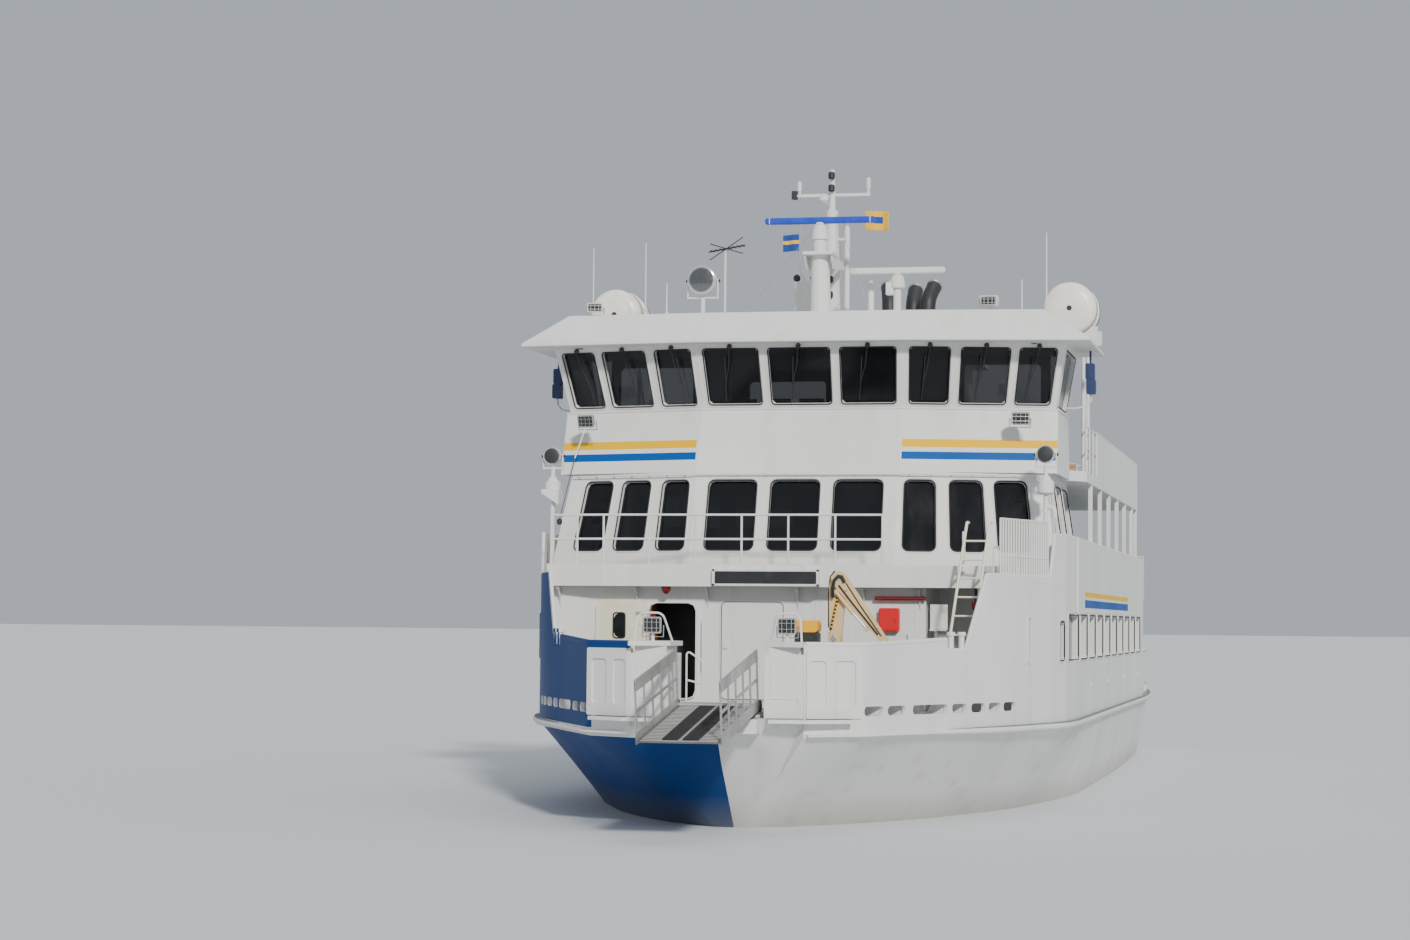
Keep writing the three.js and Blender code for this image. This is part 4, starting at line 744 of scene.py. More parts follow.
# %% [markdown]
# ## Paint what stays
#
# Flat plates, walls and windows are already the right shape in the frame. Each of them only gets its paint,
# and the walls that carry bands of colour get the paint that knows where the bands run.

# %% Repaint the frame's own plates
repaint(WHITE_PAINT, *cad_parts)
repaint(DECKHOUSE_PAINT, "upper_deck", "sun_deck")
repaint(BAND_PAINT, "bridge_band")
repaint(SIDE_PAINT, "main_side_port", "main_side_starboard")
repaint(SALOON_GLASS, "main_glass_port", "main_glass_starboard", "saloon_glass")
repaint(BRIDGE_GLASS, "wheelhouse_glass")
repaint(BLACK, "bridge_console")
repaint(SIGN, "sign_board")
repaint(CREAM, "bow_door", "main_aft_door", "saloon_aft_door", "wheelhouse_door", "foredeck_ladder")
repaint(CRANE_CREAM, "crane_base", "crane_column", "crane_boom", "crane_jib")
repaint(BRONZE, "propeller_port", "propeller_starboard")
repaint(HULL_PAINT, "hull", "rudder_port", "rudder_starboard", "stern_bulwark")
repaint(STARBOARD_PAINT, "bow_plating_starboard")
repaint(ALUMINIUM, "gangway_ramp")
repaint(SEAT_CLOTH, "saloon_seats")
repaint(SHELL, "raft_port", "raft_starboard")
print(len(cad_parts), "plates are painted")

# %% [markdown]
# ## Hull
#
# A hull is drawn by stations: sections across the ship at a few places along it. Here each station is a row
# of widths and heights, a smooth curve runs through each column from bow to stern, and another through each
# section from the keel to the knuckle, where the side turns upright. A skin over many such sections has no
# facets, which straight plates from station to station would show as hard upright bands at the bow.

# %% Stations
BOW_X, STERN_X, DECK_STEP_X = 17.7, -18.0, 12.155
BOW_CORNER_X = 17.14
KNUCKLE_Z = 1.55
LEAN_FROM_Z = 1.75
# Columns: x, lean, keel z, bottom y, bottom z, bilge y, bilge z, waterline y, deck y
STATIONS = [
    (STERN_X, 0.0, -0.35, 2.60, -0.30, 3.90, -0.15, 4.15, 4.35),
    (-16.5, 0.0, -0.52, 2.90, -0.45, 4.10, -0.26, 4.35, 4.62),
    (-13.5, 0.0, -0.90, 3.00, -0.80, 4.25, -0.52, 4.50, 4.85),
    (-9.0, 0.0, -2.10, 2.60, -1.75, 4.30, -0.95, 4.60, 5.00),
    (-5.0, 0.0, -2.60, 2.40, -2.30, 4.35, -1.30, 4.65, 5.00),
    (4.0, 0.0, -2.60, 2.20, -2.30, 4.20, -1.35, 4.62, 5.00),
    (9.0, 0.3, -2.55, 1.30, -2.15, 3.20, -1.30, 4.05, 5.00),
    (10.4, 0.45, -2.51, 1.04, -2.09, 2.77, -1.28, 3.74, 4.93),
    (11.25, 0.57, -2.48, 0.87, -2.045, 2.49, -1.265, 3.47, 4.745),
    (12.15, 0.7, -2.45, 0.70, -2.00, 2.20, -1.25, 3.15, 4.475),
    (13.3, 1.0, -2.40, 0.50, -1.95, 1.85, -1.20, 2.75, 4.09),
    (14.6, 1.5, -2.30, 0.35, -1.85, 1.35, -1.15, 2.20, 3.50),
    (16.15, 2.2, -2.13, 0.21, -1.68, 0.78, -1.04, 1.40, 2.76),
    (BOW_CORNER_X, 2.7, -1.91, 0.145, -1.47, 0.405, -0.93, 0.74, 2.277),
    (BOW_X, 3.0, -1.75, 0.12, -1.35, 0.22, -0.85, 0.30, 1.43),
]
print(len(STATIONS), "stations over", BOW_X - STERN_X, "m")


# %% Curves through the stations
def slope(rows, i, k):
    """Steepness of column k at row i, flat where the column turns back. The last stretch is straight."""
    def rise(a, b):
        return (rows[b][k] - rows[a][k]) / (rows[b][0] - rows[a][0])
    if i == 0:
        return rise(0, 1)
    if i >= len(rows) - 2:
        return rise(i - 1, i)
    before, after = rise(i - 1, i), rise(i, i + 1)
    return 0.0 if before * after <= 0 else 2 * before * after / (before + after)


def smooth_at(rows, x, k):
    """Column k of a table at x, on a smooth curve through its rows."""
    i = max(j for j in range(len(rows) - 1) if rows[j][0] <= x or j == 0)
    step = rows[i + 1][0] - rows[i][0]
    t = (x - rows[i][0]) / step
    a, b = rows[i][k], rows[i + 1][k]
    if i == len(rows) - 2:
        return a + (b - a) * t
    pull_a, pull_b = slope(rows, i, k) * step, slope(rows, i + 1, k) * step
    return (a * (1 + 2 * t) * (1 - t) ** 2 + pull_a * t * (1 - t) ** 2
            + b * t * t * (3 - 2 * t) - pull_b * t * t * (1 - t))


def deck_y(x):
    return smooth_at(STATIONS, x, 8)


def deck_out(x):
    """Outward direction of the deck's edge at x, to port."""
    rise = (deck_y(min(x + 0.02, BOW_X)) - deck_y(x - 0.02)) / 0.04
    return Vector((-rise, 1.0, 0.0)).normalized()


def curve_through(points, steps):
    """Points on a smooth curve through a few points."""
    points = [Vector(p) for p in points]
    padded = [points[0]] + points + [points[-1]]
    out = [points[0]]
    for p0, p1, p2, p3 in zip(padded, padded[1:], padded[2:], padded[3:]):
        for s in range(1, steps + 1):
            t = s / steps
            out.append(0.5 * (2 * p1 + (p2 - p0) * t + (2 * p0 - 5 * p1 + 4 * p2 - p3) * t * t
                              + (3 * p1 - p0 - 3 * p2 + p3) * t ** 3))
    return out


# %% Hull shell
def section(x):
    """Port half of the hull's section, from the keel up to the deck's edge."""
    lean, keel, bottom_y, bottom_z, bilge_y, bilge_z, water_y, edge_y = (
        smooth_at(STATIONS, x, k) for k in range(1, 9))
    shape = [(0.12, keel), (bottom_y, bottom_z), (bilge_y, bilge_z), (water_y, 0.0), (edge_y, KNUCKLE_Z)]
    points = []
    for y, z in shape:
        aft = 0.0 if z >= KNUCKLE_Z else lean * (LEAN_FROM_Z - z) / (LEAN_FROM_Z - keel)
        points.append((x - aft, y, z))
    top = FORE_DECK if x > DECK_STEP_X else HOUSE_DECK
    return curve_through(points, 4) + [Vector((x, edge_y, top))]


def spread(start, end, step):
    """Even steps from start to end."""
    count = max(1, round(abs(end - start) / step))
    return [start + (end - start) * i / count for i in range(count + 1)]


HULL_X = (spread(STERN_X, 8.0, 1.0) + spread(8.4, 12.15, 0.4) + spread(12.16, BOW_CORNER_X, 0.22)
          + [17.42, BOW_X])


def hull_shell():
    form = Form()
    rings = []
    for x in HULL_X:
        port = section(x)
        rings.append(port + [Vector((p.x, -p.y, p.z)) for p in reversed(port)])
    form.skin(rings)
    print("The hull is skinned over", len(rings), "sections")
    return form


piece(hull_shell(), "hull_shell", [HULL_PAINT], replaces=["hull"])

# %% [markdown]
# ## What the hull carries
#
# A rubbing strake runs round the knuckle and takes the knocks, the flat nose carries the gangway, and pairs
# of posts stand at bow and stern. The strake is half round, so its section is an arc, set out along the
# deck's edge by the edge's own outward direction. It thins out towards the bow.

# %% Strake, nose, posts and shafts
STRAKE_PROUD = 0.10
SHAFT_Y, SHAFT_Z, PROPELLER_X, RUDDER_X = 2.0, -1.5, -14.5, -15.9
BITTS = [(14.7, 2.8, FORE_DECK), (-16.4, 3.5, HOUSE_DECK)]


def strake():
    rings = []
    for x in spread(STERN_X + 0.02, BOW_CORNER_X, 0.3) + spread(BOW_CORNER_X + 0.1, BOW_X - 0.02, 0.2):
        thin = min(1.0, max(0.4, (BOW_X - x) / 4.0))
        edge = Vector((x, deck_y(x), 1.575))
        section = arc((STRAKE_PROUD - 0.065, 0.0), 0.065, -90, 90, 6)
        outline = [(-0.05, -0.065)] + section + [(-0.05, 0.065)]
        rings.append([edge + deck_out(x) * a + Vector((0, 0, b * thin)) for a, b in outline])
    return Form().skin(rings)


def bitts(form, x, y, z):
    form.prism(rounded(x - 0.45, x + 0.45, y - 0.15, y + 0.15, 0.05), "z", z, z + 0.04)
    profile = [(0, 0.095), (0.8, 0.095), (0.84, 0.125), (0.93, 0.125), (1, 0.10)]
    for dx in (-0.28, 0.28):
        form.upright(x + dx, y, z + 0.03, z + 0.42, profile, 20)
    form.pipe([(x - 0.38, y, z + 0.22), (x + 0.38, y, z + 0.22)], 0.035)


def side_fittings():
    """Everything on the port side of the hull, to be mirrored."""
    form = strake()
    plan = [(17.68, 0.80), (17.95, 0.90), (17.95, 1.50), (17.45, 2.19), (17.24, 2.10)]
    form.prism(plan, "z", 1.775, 1.84)
    for y in (1.0, 1.2, 1.4):
        form.prism([(17.69, 1.78), (17.9, 1.78), (17.69, 1.66)], "y", y, y + 0.012)
    form.pipe([(-9.2, SHAFT_Y, -1.35), (PROPELLER_X + 0.215, SHAFT_Y, SHAFT_Z)], 0.11, 20)
    for dy in (-0.55, 0.55):
        foot = (PROPELLER_X + 0.52, SHAFT_Y, SHAFT_Z)
        form.pipe([foot, (PROPELLER_X + 0.70, SHAFT_Y + dy, -0.65)], 0.06, 12)
    for place in BITTS:
        bitts(form, *place)
    return form


def centre_fittings():
    form = Form().block((17.3, -0.70, 1.60), (17.9, 0.70, 1.84))
    form.prism([(16.03, 1.80), (17.43, 1.80), (17.43, 1.95), (16.03, 1.855)], "y", -0.76, 0.76)
    skeg = [(-9.5, -1.9), (-9.5, -2.55), (-13.2, -2.3), (-14.3, -0.7), (-12.5, -0.8)]
    return form.prism(skeg, "y", -0.12, 0.12)


for side, hand in SIDES:
    piece(side_fittings().on_side(hand), "hull_fittings_" + side, [HULL_PAINT], bevel=0.006)
piece(centre_fittings(), "bow_nose", [HULL_PAINT], bevel=0.012)
print("Strakes, bow nose, four pairs of posts and two shafts are in place")

# %% [markdown]
# ## Bow plating
#
# The bow's sides are bent plate on the same curve as the deck's edge, high by the house and stepped down
# towards the gangway. Seven freeing ports let spray run off the deck, and an upright slot stands aft of them.
# Holes are cut last, as a carpenter would: one form is taken out of the other by a boolean.

# %% Bow plating
PLATE = 0.07
WING_Z, BULWARK_Z = 4.23, 3.03
NOTCH_Z = 2.945
# Columns: x, top of the plating
PLATING_TOPS = [(12.162, WING_Z), (13.76, WING_Z), (14.37, NOTCH_Z), (14.90, NOTCH_Z), (14.91, 3.11),
                (16.15, 3.065), (BOW_CORNER_X, BULWARK_Z), (BOW_X, BULWARK_Z)]
# Columns: aft end, fore end
FREEING_PORTS = [(16.60, 17.08), (16.03, 16.49), (14.90, 15.84), (14.37, 14.77), (13.84, 14.23),
                 (13.35, 13.73), (12.81, 13.25)]
UPRIGHT_SLOT = (12.20, 12.33, 2.72, 3.48)
PANEL_LONG = hypot(BOW_X - BOW_CORNER_X, 2.277 - 1.43)
PANEL_TURN = Matrix.Translation((BOW_X, 1.43, 0)) @ Matrix.Rotation(
    atan2(2.277 - 1.43, BOW_CORNER_X - BOW_X), 4, "Z")
PANEL_RECESSES = [(0.075, 0.367), (0.522, 0.876)]
NOTCH_POSTS_X = (14.47, 14.77)
print("The turned panel is", round(PANEL_LONG, 2), "m long")


# %% Ways to cut
def straight_at(rows, x):
    """Second column of a table at x, on straight lines between rows."""
    for (x0, a), (x1, b) in zip(rows, rows[1:]):
        if x <= x1:
            return a + (b - a) * max(0.0, x - x0) / (x1 - x0)
    return rows[-1][1]


def carve(mesh, tool):
    """Takes one closed form out of a mesh and gives back a plain mesh."""
    body, knife = put("body", mesh), put("knife", tool.mesh("knife", []))
    cut = body.modifiers.new("cut", "BOOLEAN")
    cut.object = knife
    cut.operation = "DIFFERENCE"
    cut.solver = "EXACT"
    bpy.context.view_layer.update()
    made = bpy.data.meshes.new_from_object(body.evaluated_get(bpy.context.evaluated_depsgraph_get()))
    for thing in (body, knife):
        bpy.data.objects.remove(thing)
    clean(made)
    return made


def edge_hole(form, x0, x1, z0, z1, radius):
    """A round-cornered hole through the plating, square to it."""
    a, b = (Vector((x, deck_y(x), 0)) for x in (x0, x1))
    way = (b - a).normalized()
    through = Vector((-way.y, way.x, 0)) * 0.3
    outline = rounded(0, (b - a).length, z0, z1, radius)
    ring = [a + way * s + Vector((0, 0, z)) for s, z in outline]
    form.skin([[p - through for p in ring], [p + through for p in ring]])


# %% Plating, panel and trim
def bow_plating():
    form = Form()
    rings = []
    marks = [x for x, _ in PLATING_TOPS]
    for x in sorted(set(spread(12.162, BOW_X, 0.18) + marks)):
        out = Vector((x, deck_y(x), 0))
        inner = out - deck_out(x) * PLATE
        foot, head = Vector((0, 0, FORE_DECK)), Vector((0, 0, straight_at(PLATING_TOPS, x)))
        rings.append([out + foot, out + head, inner + head, inner + foot])
    form.skin(rings)
    tool = Form()
    for x0, x1 in FREEING_PORTS:
        edge_hole(tool, x0, x1, 1.885, 2.04, 0.07)
    edge_hole(tool, *UPRIGHT_SLOT, 0.05)
    return carve(form.mesh("plating", []), tool)


def bow_panel():
    """The thick frame on the turned face of the bow, drawn flat and then turned into place."""
    outline = rounded(0.03 * PANEL_LONG, 0.985 * PANEL_LONG, FORE_DECK, BULWARK_Z - 0.09, 0.03)
    form = Form().prism(outline, "y", -0.03, 0.15).moved(PANEL_TURN)
    tool = Form()
    for start, end in PANEL_RECESSES:
        tool.prism(rounded(start * PANEL_LONG, end * PANEL_LONG, 2.04, 2.77, 0.07), "y", -0.06, 0.09)
    return carve(form.mesh("panel", []), tool.moved(PANEL_TURN))


def plate_top(x):
    """A point over the middle of the plating's top edge."""
    return Vector((x, deck_y(x), straight_at(PLATING_TOPS, x))) - deck_out(x) * (PLATE / 2)


def bow_trim():
    """Cap rail, knees behind the plating, posts in the notch and a lip round the slot."""
    fore = spread(14.92, BOW_CORNER_X, 0.2) + [17.3, BOW_X - 0.02]
    form = Form().pipe([plate_top(x) for x in fore], 0.045, 12)
    wing = [plate_top(x) for x in spread(12.2, 13.76, 0.25)]
    form.pipe(wing + [plate_top(14.37), plate_top(14.9)], 0.032, 10)
    for x in NOTCH_POSTS_X:
        foot = plate_top(x)
        form.turned(foot, foot + Vector((0, 0, 0.30)), [(0, 0.05), (0.75, 0.05), (0.8, 0.075), (1, 0.07)], 16)
    for x in (16.545, 15.935, 14.835, 14.3, 13.3):
        y = deck_y(x) - 0.03
        knee = [(y, FORE_DECK), (y - 0.38, FORE_DECK), (y - 0.06, 2.5), (y, 2.5)]
        form.prism(knee, "x", x - 0.008, x + 0.008)
    x0, x1, z0, z1 = UPRIGHT_SLOT
    middle = (x0 + x1) / 2
    lip = rounded(x0 - 0.02, x1 + 0.02, z0 - 0.02, z1 + 0.02, 0.07)
    out = deck_out(middle)
    centre = Vector((middle, deck_y(middle), 0)) + out * 0.01
    along = Vector((out.y, -out.x, 0))
    return form.pipe([centre + along * (x - middle) + Vector((0, 0, z)) for x, z in lip], 0.014, 6, wrap=True)


# %% Join the sides of the bow
def joined(meshes, name, finish):
    """Several meshes as one."""
    work = bmesh.new()
    for mesh in meshes:
        work.from_mesh(mesh)
    made = bpy.data.meshes.new(name)
    work.to_mesh(made)
    work.free()
    made.materials.append(finish)
    return made


def make_bow_side(side, hand, finish):
    beside_block = Form().block((16.7, 0.0, 0.0), (17.9, 1.421, 4.0))
    meshes = [carve(form, beside_block) for form in (bow_plating(), bow_panel())]
    meshes.append(bow_trim().mesh("trim", []))
    name = "bow_skin_" + side
    mesh = joined(meshes, name, finish)
    mesh.transform(Matrix.Diagonal((1, hand, 1, 1)))
    clean(mesh)
    settle(put(name, mesh), replaces=["bow_plating_" + side])


make_bow_side("port", 1, WHITE_PAINT)
make_bow_side("starboard", -1, STARBOARD_PAINT)
print(2 * len(FREEING_PORTS), "freeing ports are cut")

# %% [markdown]
# ## Floodlights
#
# The same square floodlight hangs on the bow platforms, under the bridge and on the roof: a dark box with
# cooling fins, a bright frame, a lens set back in it and a wire guard. It is drawn once, facing along +X at
# the origin, and then turned and carried to each place.

# %% Floodlight
def floodlight(width, height, place, turn=0.0, tilt=0.0):
    """A lamp of a given size. Turn is about Z and tilt lowers its face, in degrees."""
    w, h = width / 2, height / 2
    rim = rounded(-w, w, -h, h, 0.03)
    inner = rounded(-w + 0.025, w - 0.025, -h + 0.025, h - 0.025, 0.02)
    back = [(-0.12, y * 0.7, z * 0.7) for y, z in rounded(-w, w, -h, h, 0.02)]
    form = Form().skin([back, at(0.0, rim)])
    for k in range(5):
        z = -h * 0.6 + k * h * 0.3
        form.block((-0.16, -w * 0.6, z - 0.004), (-0.06, w * 0.6, z + 0.004))
    form.skin([at(0.0, rim), at(0.025, rim), at(0.025, inner), at(0.012, inner)], 1)
    form.skin([at(0.013, inner), [(0.018, y * 0.98, z * 0.98) for y, z in inner]], 3)
    form.prism([(y * 0.97, z * 0.97) for y, z in inner], "x", 0.020, 0.024, 2)
    for k in range(1, 4):
        y = -w + width * k / 4
        form.pipe([(0.034, y, -h + 0.01), (0.034, y, h - 0.01)], 0.005, 6, 1)
    for z in (-h * 0.35, h * 0.35):
        form.pipe([(0.034, -w + 0.01, z), (0.034, w - 0.01, z)], 0.005, 6, 1)
    bracket = [(-0.05, -w - 0.02, 0.0), (-0.05, -w - 0.02, -h - 0.05), (-0.05, w + 0.02, -h - 0.05),
               (-0.05, w + 0.02, 0.0)]
    form.pipe(bracket, 0.012, 6, 1)
    turned = Matrix.Rotation(radians(turn), 4, "Z") @ Matrix.Rotation(radians(tilt), 4, "Y")
    return form.moved(Matrix.Translation(place) @ turned)


print("A floodlight has", len(floodlight(0.3, 0.2, (0, 0, 0)).faces), "faces")

# %% [markdown]
# ## Bow blocks
#
# A box each side of the gangway carries a small platform with a floodlight behind a hoop of tube. The
# platform juts out past its box and is folded down at its edge, so it reads as bent plate, not as a slab.

# %% Bow blocks
BLOCK_Y = (0.78, 1.42)


def bow_block():
    """A box, its lid and a platform with a folded edge. The end of the bow is at x = 0."""
    low, high = BLOCK_Y
    form = Form().block((-0.9, low, FORE_DECK), (0, high, 2.87))
    form.block((-0.85, low + 0.06, 2.86), (-0.06, high - 0.06, 3.0))
    plan = [(-1.0, low), (-0.08, low), (0.17, high), (-1.0, high)]
    form.prism(plan, "z", 3.03, 3.065)
    for a, b in zip(plan, plan[1:] + plan[:1]):
        a, b = Vector(a), Vector(b)
        way = (b - a).normalized() * 0.012
        inward = Vector((-way.y, way.x))
        form.prism([tuple(p) for p in (a, b, b + inward, a + inward)], "z", 2.985, 3.04)
    form.prism([(0, 2.15), (0.012, 2.15), (0.012, 2.8), (0, 2.8)], "y", low + 0.1, high - 0.1)
    return form.upright(-0.25, 1.11, 3.05, 3.2, [(0, 0.06), (0.2, 0.03), (1, 0.03)], 16)


HOOP = [(-0.42, 0.82, 3.05), (-0.16, 0.93, 3.52), (-0.16, 1.33, 3.52), (-0.06, 1.38, 3.05)]
for side, hand in SIDES:
    block = bow_block().moved(Matrix.Translation((BOW_X, 0, 0))).on_side(hand)
    piece(block, "bow_box_" + side, replaces=["bow_block_" + side], bevel=0.012)
    hoop = [(BOW_X + x, hand * y, z) for x, y, z in HOOP]
    bars("bow_hoop_" + side, [hoop], 0.018, bend=0.12, sides=12)
    lamp = floodlight(0.31, 0.27, (BOW_X - 0.2, hand * 1.11, 3.32))
    piece(lamp, "bow_lamp_" + side, LAMP_FINISHES)
print("Two bow boxes with hoops and floodlights")

# %% [markdown]
# ## Gangway ramp
#
# The ramp is an aluminium grating between two guard rails, hinged at the bow. It is drawn level from its
# hinge and tipped by its slope at the end, so its numbers stay simple. Broad boards cap the rails, and cross
# ribs keep shoes from slipping: these are copies of one small bar.

# %% Gangway ramp
RAMP_HINGE = Vector((17.5, 0.0, 2.04))
RAMP_SLOPE = 9.33
RAMP_LENGTH = 2.96
RAMP_HALF = 0.65
RAIL_HIGH = 0.92
RAMP_POSTS = (0.06, 0.62, 1.18, 1.74, 2.30, 2.86)
RIB_PITCH = 0.11
TIPPED = Matrix.Translation(RAMP_HINGE) @ Matrix.Rotation(radians(RAMP_SLOPE), 4, "Y")


def ramp_frame():
    form = Form()
    deck = [(0.0, -0.07), (2.45, -0.07), (RAMP_LENGTH, -0.018), (RAMP_LENGTH, 0.0), (0.0, 0.0)]
    form.prism(deck, "y", -RAMP_HALF, RAMP_HALF, 1)
    form.pipe([(0, -RAMP_HALF, 0), (0, RAMP_HALF, 0)], 0.045, 20)
    for y in (-0.4, 0.0, 0.4):
        form.block((0.50, y - 0.03, -0.10), (2.4, y + 0.03, -0.06))
    for side in (1, -1):
        y0 = RAMP_HALF - 0.005 if side > 0 else -RAMP_HALF - 0.025
        for x in RAMP_POSTS:
            form.block((x, y0 + 0.002, -0.06), (x + 0.045, y0 + 0.028, RAIL_HIGH - 0.01))
        form.prism(rounded(0.06, 2.905, RAIL_HIGH - 0.17, RAIL_HIGH + 0.01, 0.02), "y", y0, y0 + 0.03)
        form.prism(rounded(0.06, 2.905, 0.42, 0.47, 0.012), "y", y0 + 0.004, y0 + 0.026)
        form.prism(rounded(0.04, 2.905, -0.06, 0.12, 0.015), "y", y0 + 0.003, y0 + 0.027)
    return form.moved(TIPPED)


def ramp_ribs():
    bar = Form().prism([(-0.012, 0.0), (-0.006, 0.009), (0.006, 0.009), (0.012, 0.0)], "y", -0.6, 0.6)
    turn = (0, RAMP_SLOPE, 0)
    places = [(TIPPED @ Vector((x, 0, 0)), turn, UNIT) for x in spread(0.12, 2.88, RIB_PITCH)]
    copies("ramp_ribs", bar, places, ALUMINIUM, "gangway_ramp_body")
    print(len(places), "ribs lie across the ramp")


piece(ramp_frame(), "ramp_frame", [ALUMINIUM, RAMP_TREAD], "gangway_ramp_body", replaces=["gangway_ramp"],
      bevel=0.003)
ramp_ribs()

# %% [markdown]
# ## Ramp mats and hinges
#
# Two ribbed rubber mats lie side by side on the planks, and round rollers at the foot of the rails carry the
# hinge. The mats are rubber, so they stay dark between pale boards.

# %% Ramp mats and hinges
def ramp_mats():
    form = Form()
    for y in (-0.29, 0.03):
        form.prism(rounded(0.10, 2.80, y, y + 0.26, 0.03), "z", 0.002, 0.014)
        for x in spread(0.16, 2.74, 0.06):
            form.block((x - 0.010, y + 0.01, 0.012), (x + 0.010, y + 0.25, 0.018))
    for y in (-0.70, 0.65):
        form.turned((0, y, 0), (0, y + 0.05, 0), [(0, 0.08), (0.1, 0.095), (0.9, 0.095), (1, 0.08)])
    return form.moved(TIPPED)


piece(ramp_mats(), "ramp_mats", [RUBBER], "gangway_ramp_body")
print("Two mats and two rollers ride on the ramp")

# %% [markdown]
# ## Front wall of the house
#
# The wall behind the fore deck faces a place of work, so it carries a closed panel, a locker for hoses, lamps
# under the overhang and grab bars. Behind the open doorway, black walls and a ceiling are painted shade for
# the dark inside of the ship, so daylight doesn't show through it. Curved knees under the overhang carry the
# deck above, and welded seams divide the wall.

# %% Front wall fittings
WALL_X = 12.15
AT_WALL = Matrix.Translation((WALL_X, 0, 0))
OVERHANG_Z = 3.99
BAR_STANDS_OFF = 0.07


def lobby():
    """Thin black walls and a ceiling behind the doorway: painted shade for the dark inside of the ship."""
    form = Form().block((10.90, -2.85, 1.66), (10.93, -1.15, 3.98))
    for y in (-2.85, -1.18):
        form.block((10.90, y, 1.66), (12.05, y + 0.03, 3.98))
    return form.block((10.90, -2.85, 3.95), (12.05, -1.15, 3.98))


def wall_fittings():
    """The closed panel, seams and knees, and an angle in the recess. All are drawn on a wall at x = 0."""
    form = Form().prism(rounded(-1.13, 0.06, 1.96, 3.77, 0.10), "x", 0.001, 0.022)
    for z in (2.35, 3.40):
        form.block((0.02, 0.00, z - 0.07), (0.05, 0.12, z + 0.07))
    form.block((0.02, -1.06, 2.90), (0.05, -0.98, 3.02))
    for y in (0.62, 1.22, 2.42, -3.62, -4.12):
        form.block((0.001, y - 0.012, FORE_DECK), (0.010, y + 0.012, OVERHANG_Z))
    curve = [(0.03 + 0.36 * (1 - cos(t)), 3.62 + 0.36 * sin(t)) for t in (0.3, 0.6, 0.9, 1.2, 1.5)]
    for y in (-4.10, -2.66, -1.35, 0.30, 1.50, 2.50):
        form.prism([(0.002, 3.60)] + curve + [(0.002, OVERHANG_Z)], "y", y - 0.01, y + 0.01)
    form.block((-0.08, 2.67, 3.25), (0.04, 2.98, 3.28))
    return form.block((-0.08, 2.67, 3.25), (-0.05, 2.98, 3.72))


def grab_bar(start, end):
    """A handle between two places (y, z) on the wall."""
    corners = ((0, start), (BAR_STANDS_OFF, start), (BAR_STANDS_OFF, end), (0, end))
    return [(WALL_X + out, *place) for out, place in corners]


def hose_locker():
    form = Form().prism(rounded(1.78, 2.14, 3.24, 3.65, 0.03), "x", 0.002, 0.16)
    form.prism(rounded(1.80, 2.12, 3.26, 3.63, 0.02), "x", 0.16, 0.172)
    return form.pipe([(0.18, 2.08, 3.40), (0.18, 2.08, 3.50)], 0.01, 8)


def red_lamps():
    """A tube light, a dome under the overhang and a small dome in the recess."""
    form = Form().pipe([(0.11, 1.70, 3.82), (0.11, 2.61, 3.82)], 0.035, 16)
    for y in (1.75, 2.56):
        form.block((0.002, y - 0.02, 3.80), (0.11, y + 0.02, 3.84))
    dome = [(0, 0.085), (0.25, 0.085), (0.55, 0.078), (0.85, 0.05), (1, 0.015)]
    form.upright(0.30, -2.06, 4.008, 3.87, dome, 20)
    dome = [(0, 0.02), (0.6, 0.02), (0.62, 0.07), (0.9, 0.06), (1, 0.01)]
    return form.upright(-0.13, 3.47, 4.008, 3.60, dome)


def inner_door():
    """A wooden leaf that stands open inside the doorway."""
    form = Form().prism(rounded(11.60, 12.08, 1.96, 3.72, 0.03), "y", -2.455, -2.420)
    for x0, x1 in ((11.65, 11.82), (11.86, 12.03)):
        form.prism(rounded(x0, x1, 2.10, 3.58, 0.02), "y", -2.424, -2.412)
    return form


# The black walls behind the doorway are painted shade for the dark inside of the ship.
piece(lobby(), "lobby", [BLACK])
piece(wall_fittings().moved(AT_WALL), "wall_fittings", bevel=0.004)
uprights = ((-1.44, 2.5, 3.4), (0.28, 2.4, 3.2), (2.30, 2.4, 3.2))
grabs = [grab_bar((y, low), (y, high)) for y, low, high in uprights]
grabs.append(grab_bar((-4.2, 2.75), (-3.6, 2.75)))
bars("wall_grab_bars", grabs, 0.014, bend=0.03, sides=10)
piece(hose_locker().moved(AT_WALL), "hose_locker", [RED], bevel=0.004)
piece(red_lamps().moved(AT_WALL), "red_lamps", [DARK_RED])
piece(inner_door(), "inner_door", [ORANGE_WOOD], bevel=0.003)
loop = at(WALL_X + 0.022, rounded(-1.10, 0.03, 1.99, 3.74, 0.09))
bars("panel_seal", [loop + loop[:1]], 0.008, RUBBER)
print("The front wall has its panel, locker, lamps and knees")

# %% [markdown]
# ## Doors
#
# A ship's door is a flat leaf with two pressed outlines that stiffen it, a small window in a rubber seal,
# heavy hinges and a lever. All four doors are of this kind, so one function dresses a leaf. Everything rides
# on the leaf's own body and turns with it.

# %% Doors
def flat_loop(x, y0, y1, z0, z1, radius):
    """A closed rounded outline on a plane across the ship."""
    ring = at(x, rounded(y0, y1, z0, z1, radius))
    return ring + ring[:1]


LEAF_THICK = 0.044


